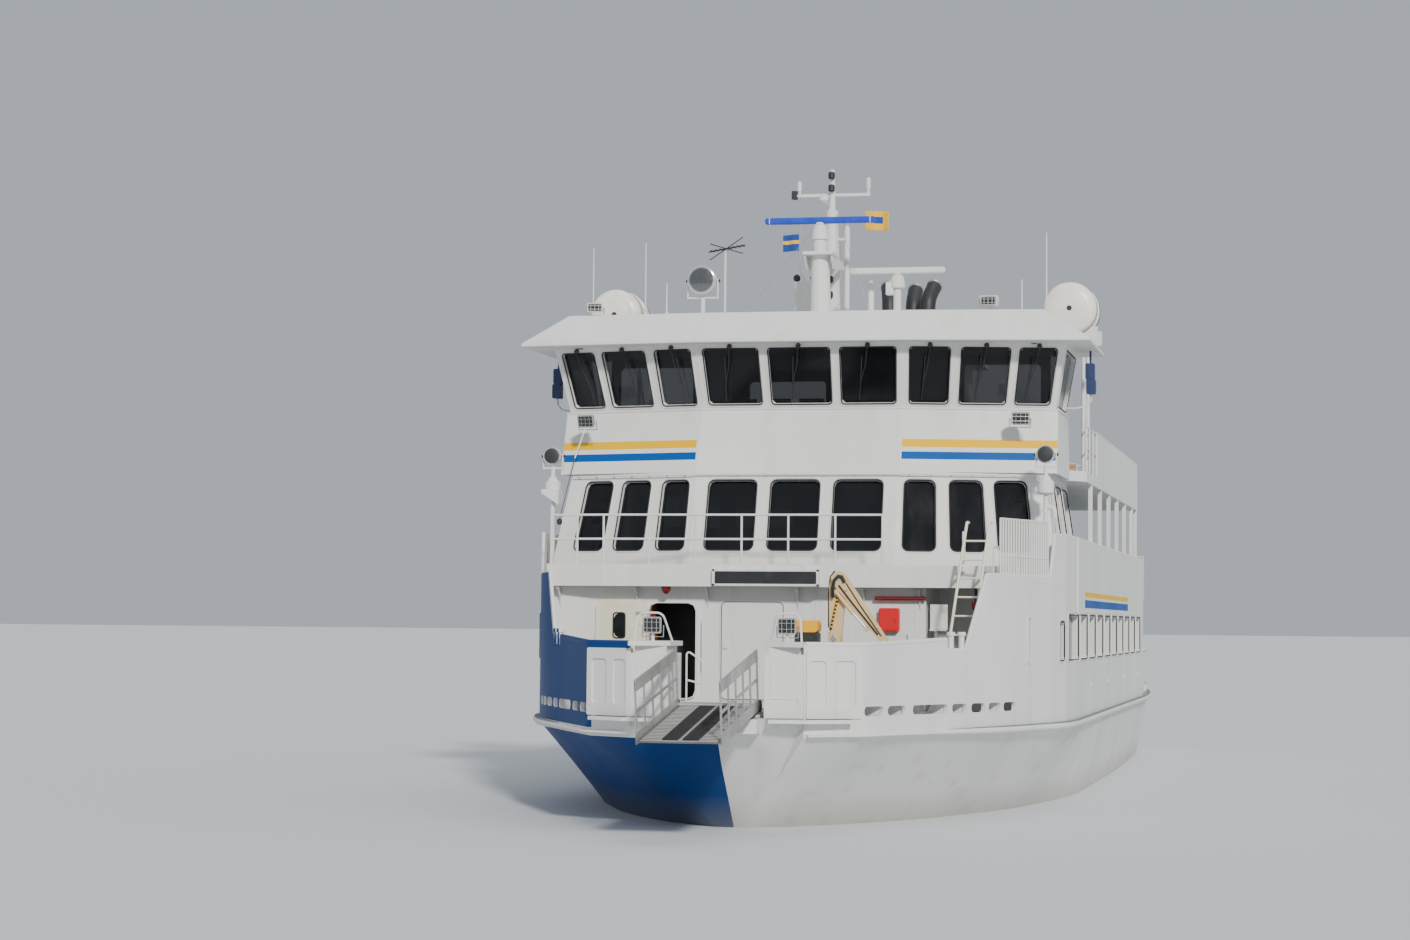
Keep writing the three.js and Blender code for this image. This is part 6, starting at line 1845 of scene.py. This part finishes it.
piece(mast(), "mast_tube", replaces=["mast"])
piece(mast_lamps(), "mast_lamps", [BLACK], bevel=0.004)
lines = [[(MAST_X, y, 11.79), (MAST_X, y, 10.3), (MAST_X, y * 0.05, 9.25)] for y in (-0.64, 0.64)]
lines.append([(MAST_X, 0.0, 12.2), (4.9, 0.0, MAST_FOOT)])
lines += [[(7.2, hand * 0.1, 11.45), (9.9, hand * 1.2, MAST_FOOT)] for _, hand in SIDES]
bars("halyards", lines, 0.005, STEEL, sides=6)
scanner("high", 0.0, 11.06, 1.075, SCANNER_BLUE)
scanner("low", LOW_RADAR_Y, 10.06, 0.92, WHITE_PAINT)
print("The mast carries two radars and", len(lines), "lines")

# %% [markdown]
# ## Flags
#
# Two small flags fly from the halyards in a light breeze: a plain blue one with a yellow bar and a yellow one
# with a blue square. Bunting is thin polyester that ripples more towards its free edge. The ripple here is
# a wave that grows along the flag, made of cross folds, so the cloth keeps its length.

# %% Flags
FLAG_BLUE = woven_cloth("flag_blue", colour_of(20, 74, 150), colour_of(12, 56, 122))
FLAG_YELLOW = woven_cloth("flag_yellow", colour_of(244, 190, 30), colour_of(226, 168, 20))


FLAG_STEPS, FLAG_ROWS = 24, 14
FLAG_WAVE, FLAG_SAG, FLAG_GAP = 0.05, 0.02, 0.012


def flag_line(hoist_y, way, long):
    """The flag's edge seen from above. Each step of the wave is as long as on the flat sheet."""
    line = []
    along = 0.0
    for i in range(FLAG_STEPS + 1):
        t = i / FLAG_STEPS
        x = MAST_X + FLAG_WAVE * t * sin(t * 7.5)
        if line:
            along += sqrt(max(0.0, (long / FLAG_STEPS) ** 2 - (x - line[-1][0]) ** 2))
        line.append((x, hoist_y + way * (FLAG_GAP + along)))
    return line


def flag(name, hoist_y, way, long, low, high, field, mark, marked, node):
    """A waved sheet. marked says which share of the length and height has the second colour."""
    corners, faces, marks = [], [], []
    for i, (x, y) in enumerate(flag_line(hoist_y, way, long)):
        sag = FLAG_SAG * (i / FLAG_STEPS) ** 2
        corners += [(x, y, low + (high - low) * j / FLAG_ROWS - sag) for j in range(FLAG_ROWS + 1)]
    for i in range(FLAG_STEPS):
        for j in range(FLAG_ROWS):
            a = i * (FLAG_ROWS + 1) + j
            faces.append((a, a + 1, a + FLAG_ROWS + 2, a + FLAG_ROWS + 1))
            marks.append(int(marked(i / FLAG_STEPS, j / FLAG_ROWS)))
    mesh = bpy.data.meshes.new(name)
    mesh.from_pydata(corners, [], faces)
    mesh.materials.append(field)
    mesh.materials.append(mark)
    mesh.polygons.foreach_set("material_index", marks)
    mesh.shade_smooth()
    made = put(name, mesh)
    cloth = made.modifiers.new("cloth", "SOLIDIFY")
    cloth.thickness = 0.0015
    settle(made, replaces=[node])


flag("pennant_starboard", -0.65, -1, 0.36, 10.72, 11.05, FLAG_BLUE, FLAG_YELLOW,
     lambda u, v: 0.38 < v < 0.62, "flag_starboard")
flag("pennant_port", 0.65, 1, 0.50, 11.10, 11.48, FLAG_YELLOW, FLAG_BLUE,
     lambda u, v: 0.3 < u < 0.7 and 0.3 < v < 0.7, "flag_port")
print("Two flags fly")

# %% [markdown]
# ## Lamps on the wings
#
# A post at each front corner of the upper deck holds a searchlight above a vent. To starboard the vent has a
# hood, to port it is a gooseneck that turns its mouth down, so that spray can't run in.

# %% Lamp posts
LAMP_POST = (10.96, 4.60)


def lamp_post(side, hand):
    x, y = LAMP_POST[0], hand * LAMP_POST[1]
    form = Form().upright(x, y, UPPER_FLOOR, 6.25, [(0, 0.11), (0.01, 0.11), (0.012, 0.042), (1, 0.042)], 20)
    form.upright(x, y, 5.72, 6.06, [(0, 0.10), (0.1, 0.15), (0.7, 0.15), (0.72, 0.12), (1, 0.06)], 28)
    if side == "port":
        neck = [(x, y - 0.02, 5.40)] + [(x, y - 0.02 + 0.10 * (1 - cos(t)) * 0.9, 5.40 + 0.10 * sin(t))
                                        for t in (0.5, 1.0, 1.57, 2.1, 2.7, 3.14)]
        form.pipe(neck + [(x, y + 0.16, 5.30)], 0.045, 14)
    else:
        hood = [(y + 0.15, 5.53), (y + 0.15, 5.82), (y - 0.18, 5.82), (y - 0.18, 5.75)]
        form.prism(hood, "x", x - 0.16, x + 0.16)
    piece(form, "lamp_post_tube_" + side, replaces=["lamp_post_" + side], bevel=0.002)
    lamp = searchlight(x - 0.015, y, 6.445, 0.165, 0.24)
    piece(lamp, "wing_searchlight_" + side, [WHITE_PAINT, BLACK, CHROME, BLACK],
          bevel=0.002)


for side, hand in SIDES:
    lamp_post(side, hand)
cable = Form().pipe([(10.60, -4.08, 7.0), (10.75, -4.24, 6.42)], 0.014, 8)
cable.pipe([(10.75, -4.24, 6.42), (11.02, -4.45, 5.26)], 0.008, 6, 1)
cable.upright(11.02, -4.45, 5.16, 5.28, [(0, 0.02), (0.25, 0.05), (0.75, 0.05), (1, 0.02)], 14, 1)
piece(cable, "lamp_cable", [WHITE_PAINT, BLACK])
print("Two lamp posts stand at the corners")

# %% [markdown]
# ## Life rafts and rings
#
# Each raft is packed in a shell of two half drums, strapped round the seam, on a cradle high enough to slide
# overboard. The shell is moulded plastic, so its ends are domed and its edges soft. Life rings hang by the
# funnel and by the aft walls.

# %% Rafts, stands and rings
RAFT_Y, RAFT_Z = 4.6, 9.587


def raft():
    """A shell with a raised seam, two straps and a plug. Rows: start, end, profile, sides, finish."""
    shell = [(0, 0.20), (0.008, 0.33), (0.03, 0.44), (0.06, 0.495), (0.10, 0.522), (0.90, 0.522),
             (0.94, 0.495), (0.97, 0.44), (0.992, 0.33), (1, 0.20)]
    seam, strap = ([(0, 0.523), (0.1, high), (0.9, high), (1, 0.523)] for high in (0.537, 0.529))
    rows = [(5.16, 6.44, shell, 44, 0), (5.775, 5.825, seam, 44, 0), (5.42, 5.47, strap, 44, 1),
            (6.14, 6.19, strap, 44, 1), (6.43, 6.445, (0.06, 0.05), 16, 1)]
    form = Form()
    for start, end, profile, sides, mark in rows:
        form.turned((start, RAFT_Y, RAFT_Z), (end, RAFT_Y, RAFT_Z), profile, sides, mark)
    return form


def raft_stand():
    form = Form()
    for x in (5.3, 6.3):
        saddle = [(RAFT_Y + 0.56 * sin(radians(a)), RAFT_Z - 0.56 * cos(radians(a)))
                  for a in range(50, -51, -10)]
        head = saddle[0][1]
        outline = [(4.05, 8.94), (5.15, 8.94), (5.15, head)] + saddle + [(4.05, head)]
        form.prism(outline, "x", x - 0.03, x + 0.03)
        for y in (4.1, 4.87):
            form.upright(x, y, SUN_FLOOR, 8.95, [(0, 0.08), (0.005, 0.08), (0.006, 0.04), (1, 0.04)], 16)
    for y in (4.1, 4.87):
        form.prism(rounded(y - 0.025, y + 0.025, 8.90, 8.96, 0.008), "x", 5.28, 6.32)
        form.pipe([(5.3, y, 6.7), (6.3, y, 8.6)], 0.022, 12)
    return form


def ring_loop(x, y, z, radius, along):
    """A closed ring of corners that faces along X or Y."""
    flat = [(radius * cos(t), radius * sin(t)) for t in around(32)]
    return [(x, y + a, z + b) if along == "x" else (x + a, y, z + b) for a, b in flat]


for side, hand in SIDES:
    piece(raft().on_side(hand), "raft_drum_" + side, [SHELL, BLACK], replaces=["raft_" + side])
    piece(raft_stand().on_side(hand), "raft_cradle_" + side, replaces=["raft_stand_" + side], bevel=0.003)
rings = Form()
for x, y, z, along in ((-3.6, 0.93, 7.5, "y"), (-11.13, 4.35, 2.9, "x")):
    for _, hand in SIDES:
        loop = ring_loop(x, hand * y, z, 0.29, along)
        rings.pipe(loop, 0.055, 12, wrap=True)
        for k in range(2, 32, 8):
            rings.pipe(loop[k:k + 4], 0.058, 12, 1)
piece(rings, "life_rings", [WHITE_PAINT, RED])
print("Two rafts and four life rings")

# %% [markdown]
# ## Funnel
#
# The casing hides three exhausts and slopes in towards the top. The pipes bend aft, so their soot falls
# behind the sun deck. Louvres in the sides let the engine room breathe. Exhausts are black steel with a paler
# rim where the heat has burnt the soot away.

# %% Funnel
FUNNEL_TOP = 10.45


def funnel():
    form = Form()
    low = [(-4.7, -0.85), (-2.5, -0.85), (-2.5, 0.85), (-4.7, 0.85)]
    high = [(-4.7, -0.70), (-2.8, -0.70), (-2.8, 0.70), (-4.7, 0.70)]
    form.skin([[(x, y, SUN_FLOOR) for x, y in low], [(x, y, FUNNEL_TOP) for x, y in high]])
    for side in (-1, 1):
        for k in range(9):
            z = 8.6 + k * 0.13
            y = side * (0.85 - 0.15 * (z - SUN_FLOOR) / (FUNNEL_TOP - SUN_FLOOR))
            lip = y + side * 0.035
            form.prism([(y, z), (lip, z - 0.03), (lip, z + 0.01), (y, z + 0.05)], "x", -4.3, -3.2)
    return form


# Columns: how far aft, how far out, z
EXHAUST_BEND = [(0, 1, 10.40), (0, 1, 10.75), (0.04, 1.02, 10.88), (0.14, 1.07, 11.01), (0.42, 1.2, 11.25)]


def exhausts():
    form = Form()
    for x, y in ((-3.3, -0.45), (-3.3, 0.45), (-4.0, 0.0)):
        bend = [(x - back, y * wide, z) for back, wide, z in EXHAUST_BEND]
        form.pipe(bend, 0.175, 28)
        tip, back = Vector(bend[-1]), Vector(bend[-2])
        way = (tip - back).normalized()
        form.turned(tip - way * 0.05, tip + way * 0.012, [(0, 0.178), (0.1, 0.188), (1, 0.188)], 28, 1)
        form.turned(tip + way * 0.012, tip + way * 0.016, 0.16, 28)
        form.upright(x, y, 10.44, 10.50, (0.23, 0.21), 28, 1)
    return form


piece(funnel(), "funnel_casing", replaces=["funnel"], bevel=0.012)
piece(exhausts(), "exhausts", [BLACK, STEEL])
print("The funnel has three exhausts")

# %% [markdown]
# ## Benches, cap rails and small things on the sides
#
# The benches get slats of wood on their steel boxes, the bulwarks a round cap that hands can slide on, and
# the sides a row of small drip hoops over the windows. Slats and hoops are all alike, so they are copies.

# %% Slats, caps and hoops
BENCHES = [(x, y, UPPER_DECK) for x in (3.9, 2.1, 0.3, -1.5) for y in (-2.8, 2.8)]
BENCHES += [(x, y, SUN_DECK) for x in (3.3, 1.5, -0.3, -5.7) for y in (-2.8, 2.8)]
slat = Form().prism(rounded(-0.045, 0.045, 0.0, 0.022, 0.006), "y", -0.88, 0.88)
across = (-0.36, -0.25, -0.14, 0.14, 0.25, 0.36)
places = [((x + dx, y, z + 0.452), LEVEL, UNIT) for x, y, z in BENCHES for dx in across]
places += [((x + way * 0.026, y, z + h), (0, way * 90, 0), UNIT)
           for x, y, z in BENCHES for way in (-1, 1) for h in (0.56, 0.68, 0.79)]
copies("bench_slats", slat, places, BENCH_WOOD)

upper = ((-11.69, 4.85), (-9.0, 4.958), (9.0, 4.958), (10.4, 4.888), (10.98, 4.76))
caps = [[(x, y, 5.0) for x, y in upper],
        [(-7.48, 4.963, 7.25), (4.40, 4.963, 7.25)],
        [(10.98, 4.762, 5.0), (11.25, 4.703, 4.23), (12.14, 4.433, 4.23)]]
bars("bulwark_caps", both_sides(caps), 0.030)

half_turn = (0, 0.5, 1.0, 1.57, 2.1, 2.6, 3.14)
hoop = Form().pipe([(0.07 * cos(t), 0.022 * sin(t) + 0.004, 0) for t in half_turn], 0.008, 6)
spots = spread(9.6, -8.4, 0.40)
places = [((x, side * (straight_at(SIDE_LINE, x) + 0.002), 3.64), (0, 0, 0 if side > 0 else 180), UNIT)
          for x in spots for side in (1, -1)]
copies("drip_hoops", hoop, places, WHITE_PAINT)


def side_gear():
    form = Form().prism(rounded(8.96, 9.04, 3.6, 5.0, 0.02), "y", 4.99, 5.02)
    form.block((7.6, 4.991, 3.58), (8.9, 5.03, 3.61))
    for x in (6.0, 1.5, -3.0, -7.5):
        form.turned((x, 4.991, 2.2), (x, 5.01, 2.2), (0.06, 0.05), 16)
    return form.both_sides()


def wing_boxes():
    """A dark instrument box hangs beside the bridge from a bent tube, under the roof's lip."""
    form = Form()
    for y0, y1, z0, z1 in ((5.12, 5.29, 7.72, 8.00), (5.10, 5.27, 8.00, 8.30)):
        form.prism(rounded(y0, y1, z0, z1, 0.03), "x", 8.38, 8.60)
    form.pipe([(8.49, 5.19, 8.28), (8.49, 5.19, 8.54)], 0.02, 8)
    tube = [(5.21, 7.74), (5.20, 7.60), (5.12, 7.50), (4.93, 7.46), (4.70, 7.46)]
    form.pipe([(8.49, y, z) for y, z in tube], 0.02, 8, 1)
    return form.both_sides()


piece(side_gear(), "side_gear", bevel=0.004)
piece(wing_boxes(), "wing_boxes", [SCANNER_DARK, WHITE_PAINT], bevel=0.004)
# Columns: x, deck, width, starboard edge of each pane
AFT_PANES = [(-11.0, HOUSE_DECK, 1.0, (-3.9, -2.5, 1.5, 2.9)),
             (5.7, UPPER_DECK, 1.2, (-3.7, -2.2, 1.0, 2.5))]
loops = [flat_loop(x - 0.004, y - 0.02, y + wide + 0.02, deck + 0.98, deck + 1.87, 0.10)
         for x, deck, wide, edges in AFT_PANES for y in edges]
bars("aft_window_seals", loops, 0.014, RUBBER, sides=6)
short_rail = [[(16.5, -0.76, 1.86), (16.5, -0.76, 2.91), (16.5, -0.49, 2.73), (16.5, -0.49, 1.86)],
              [(16.5, -0.76, 2.42), (16.5, -0.49, 2.36)]]
bars("short_rail", short_rail, 0.016, bend=0.04)
print(len(BENCHES), "benches and", 2 * len(spots), "hoops")

# %% [markdown]
# ## Saloon seats
#
# The seats behind the saloon windows are foam cushions in woven cloth on a steel rail. A cushion swells in
# the middle and tucks in at its ends, with a dent along each seam, so it is skinned over outlines of changing
# size and not cut from a block. Foam that has been sat on isn't quite full.

# %% Cushions and rails
SEAT_ROWS = (6.5, 7.5, 8.5, 9.5)
SEAT_STEP = 1.0
# Shares of a cushion's length, close together at its ends and at its seam.
CUSHION_CUTS = (0, 0.015, 0.04, 0.08, 0.16, 0.30, 0.46, 0.485, 0.50, 0.515, 0.54, 0.70, 0.84, 0.92, 0.96,
                0.985, 1)


def cushion(low, high):
    """A stuffed block with soft ends and a seam round its middle."""
    (x0, y0, z0), (x1, y1, z1) = low, high
    middle = Vector(((x0 + x1) / 2, (z0 + z1) / 2))
    radius = min(x1 - x0, z1 - z0) * 0.42
    outline = [Vector(p) for p in rounded(x0, x1, z0, z1, radius, 5)]
    rings = []
    for t in CUSHION_CUTS:
        from_end = min(t, 1 - t)
        tuck = 0.07 * exp(-from_end / 0.018) + 0.035 * exp(-abs(t - 0.5) / 0.012)
        swell = 0.05 * sin(pi * t)
        ring = []
        for k, p in enumerate(outline):
            crease = 0.004 * sin(k * 1.9 + t * 23) * exp(-from_end / 0.12)
            q = middle + (p - middle) * (0.96 - tuck + swell) + (p - middle).normalized() * crease
            ring.append((q.x, y0 + (y1 - y0) * t, q.y))
        rings.append(ring)
    return Form().skin(rings)


def seat_row(x):
    forms = []
    for k in range(6):
        y = -3.0 + SEAT_STEP * k
        forms.append(cushion((x - 0.25, y + 0.02, 4.475), (x + 0.15, y + SEAT_STEP - 0.02, 4.585)))
        forms.append(cushion((x - 0.345, y + 0.02, 4.56), (x - 0.255, y + SEAT_STEP - 0.02, 5.18)))
    return gather(forms)


def seat_frames():
    form = Form().block((6.3, -0.03, UPPER_FLOOR), (9.7, 0.03, UPPER_FLOOR + 0.06))
    for x in SEAT_ROWS:
        form.prism(rounded(x - 0.34, x + 0.12, 4.44, 4.478, 0.015), "y", -2.98, 2.98)
        for y in (-2.6, -1.3, 0.0, 1.3, 2.6):
            form.block((x - 0.12, y - 0.03, 4.12), (x - 0.06, y + 0.03, 4.45))
    return form


for i, x in enumerate(SEAT_ROWS):
    covers = [] if i else ["saloon_seats"]
    row = piece(seat_row(x), "seat_cushions_%d" % (i + 1), [SEAT_CLOTH], replaces=covers)
piece(seat_frames(), "seat_frames", [STEEL], bevel=0.003)
print(6 * len(SEAT_ROWS), "seats in the saloon")

# %% [markdown]
# ## Helm
#
# Through the bridge windows one sees the helm desk with its screens, two chairs and the wheel. They stay
# plain, because the glass is dark, but without them the bridge would look empty from close by.

# %% Helm desk and chairs
def helm_desk():
    desk = [(8.7, SUN_FLOOR), (9.5, SUN_FLOOR), (9.55, 7.25), (9.0, 7.33), (8.7, 7.15)]
    form = Form().prism(desk, "y", -1.8, 1.8)
    for y in (-1.3, -0.65, 0.0, 0.65, 1.3):
        form.prism([(9.20, 7.30), (9.24, 7.30), (9.30, 7.62), (9.26, 7.62)], "y", y - 0.24, y + 0.24)
        form.prism([(9.195, 7.33), (9.20, 7.33), (9.26, 7.60), (9.255, 7.60)], "y", y - 0.21, y + 0.21, 1)
    wheel = [(8.64, 0.18 * cos(t), 7.10 + 0.18 * sin(t)) for t in around(24)]
    form.pipe(wheel, 0.014, 10, wrap=True)
    form.pipe([(8.64, 0, 7.10), (8.72, 0, 7.10)], 0.03, 12)
    return form.pipe([(8.64, -0.18, 7.10), (8.64, 0.18, 7.10)], 0.010, 8)


def helm_chairs():
    form = Form()
    for y in (-0.75, 0.75):
        form.upright(8.1, y, SUN_FLOOR, 6.85, [(0, 0.22), (0.05, 0.22), (0.08, 0.05), (1, 0.05)], 20)
        for arm in (y - 0.26, y + 0.26):
            form.prism(rounded(7.92, 8.28, 7.10, 7.14, 0.015), "y", arm - 0.03, arm + 0.03)
    return form


piece(helm_desk(), "helm_desk", [BLACK, LENS_GLASS], replaces=["bridge_console"], bevel=0.01)
piece(helm_chairs(), "helm_chairs", [STEEL])
pads = [cushion((7.86, y - 0.24, 6.84), (8.34, y + 0.24, 6.96)) for y in (-0.75, 0.75)]
pads += [cushion((7.78, y - 0.24, 6.94), (7.90, y + 0.24, 7.58)) for y in (-0.75, 0.75)]
chair_pads = piece(gather(pads), "chair_pads", [SEAT_CLOTH])
print("The helm has a desk, five screens and two chairs")

# %% [markdown]
# ## Propellers and rudders
#
# A blade is a wing that twists: near the hub it stands steep, at the tip it lies flat, so that every part of
# it moves ahead by the same step at each turn. One blade is skinned over seven sections, and four copies are
# turned round the hub. A rudder is a smooth thin foil on a round stock.

# %% Propellers and rudders
BLADES = 4
PITCH_AT = 0.55
BLADE_ROWS = ((0.09, 0.11, 0.020), (0.16, 0.14, 0.018), (0.26, 0.175, 0.015), (0.36, 0.19, 0.012),
              (0.46, 0.175, 0.009), (0.54, 0.125, 0.006), (0.595, 0.04, 0.004))


def blade(hand):
    rings = []
    for radius, half_chord, half_thick in BLADE_ROWS:
        steep = atan2(PITCH_AT, 2 * pi * radius * 0.55)
        ring = []
        for t in around(14):
            along, across = half_chord * cos(t), half_thick * sin(t)
            x = along * sin(steep) + across * cos(steep)
            y = along * cos(steep) - across * sin(steep)
            up = sqrt(max(radius ** 2 - y ** 2, (radius * 0.4) ** 2))
            ring.append((max(-0.185, min(0.185, x)), hand * y, up))
        rings.append(ring)
    return Form().skin(rings)


def rudder_foil(y):
    form = Form()
    outline = []
    for t in around(24):
        x = 0.48 * cos(t)
        thick = 0.07 * (0.25 + 0.75 * (x + 0.48) / 0.96) ** 0.5
        outline.append((RUDDER_X + x, y + thick * sin(t)))
    form.prism(outline, "z", -2.15, -0.90)
    form.upright(RUDDER_X, y, -0.95, -0.565, 0.06, 20)
    return form.block((RUDDER_X - 0.25, y - 0.03, -0.93), (RUDDER_X + 0.25, y + 0.03, -0.88))


for side, hand in SIDES:
    body, node = "propeller_%s_body" % side, "propeller_" + side
    y = hand * SHAFT_Y
    turns = [((PROPELLER_X, y, SHAFT_Z), (360 * k / BLADES, 0, 0), UNIT) for k in range(BLADES)]
    copies("blades_" + side, blade(hand), turns, BRONZE, body, replaces=[node])
    hub = [(0, 0.12), (0.55, 0.12), (0.85, 0.095), (0.96, 0.05), (1, 0.01)]
    form = Form().turned((PROPELLER_X + 0.19, y, SHAFT_Z), (PROPELLER_X - 0.19, y, SHAFT_Z), hub, 32)
    piece(form, "hub_" + side, [BRONZE], body)
    piece(rudder_foil(y), "rudder_foil_" + side, [HULL_PAINT], "rudder_%s_body" % side,
          replaces=["rudder_" + side])
print(2 * BLADES, "blades and two rudders")

# %% [markdown]
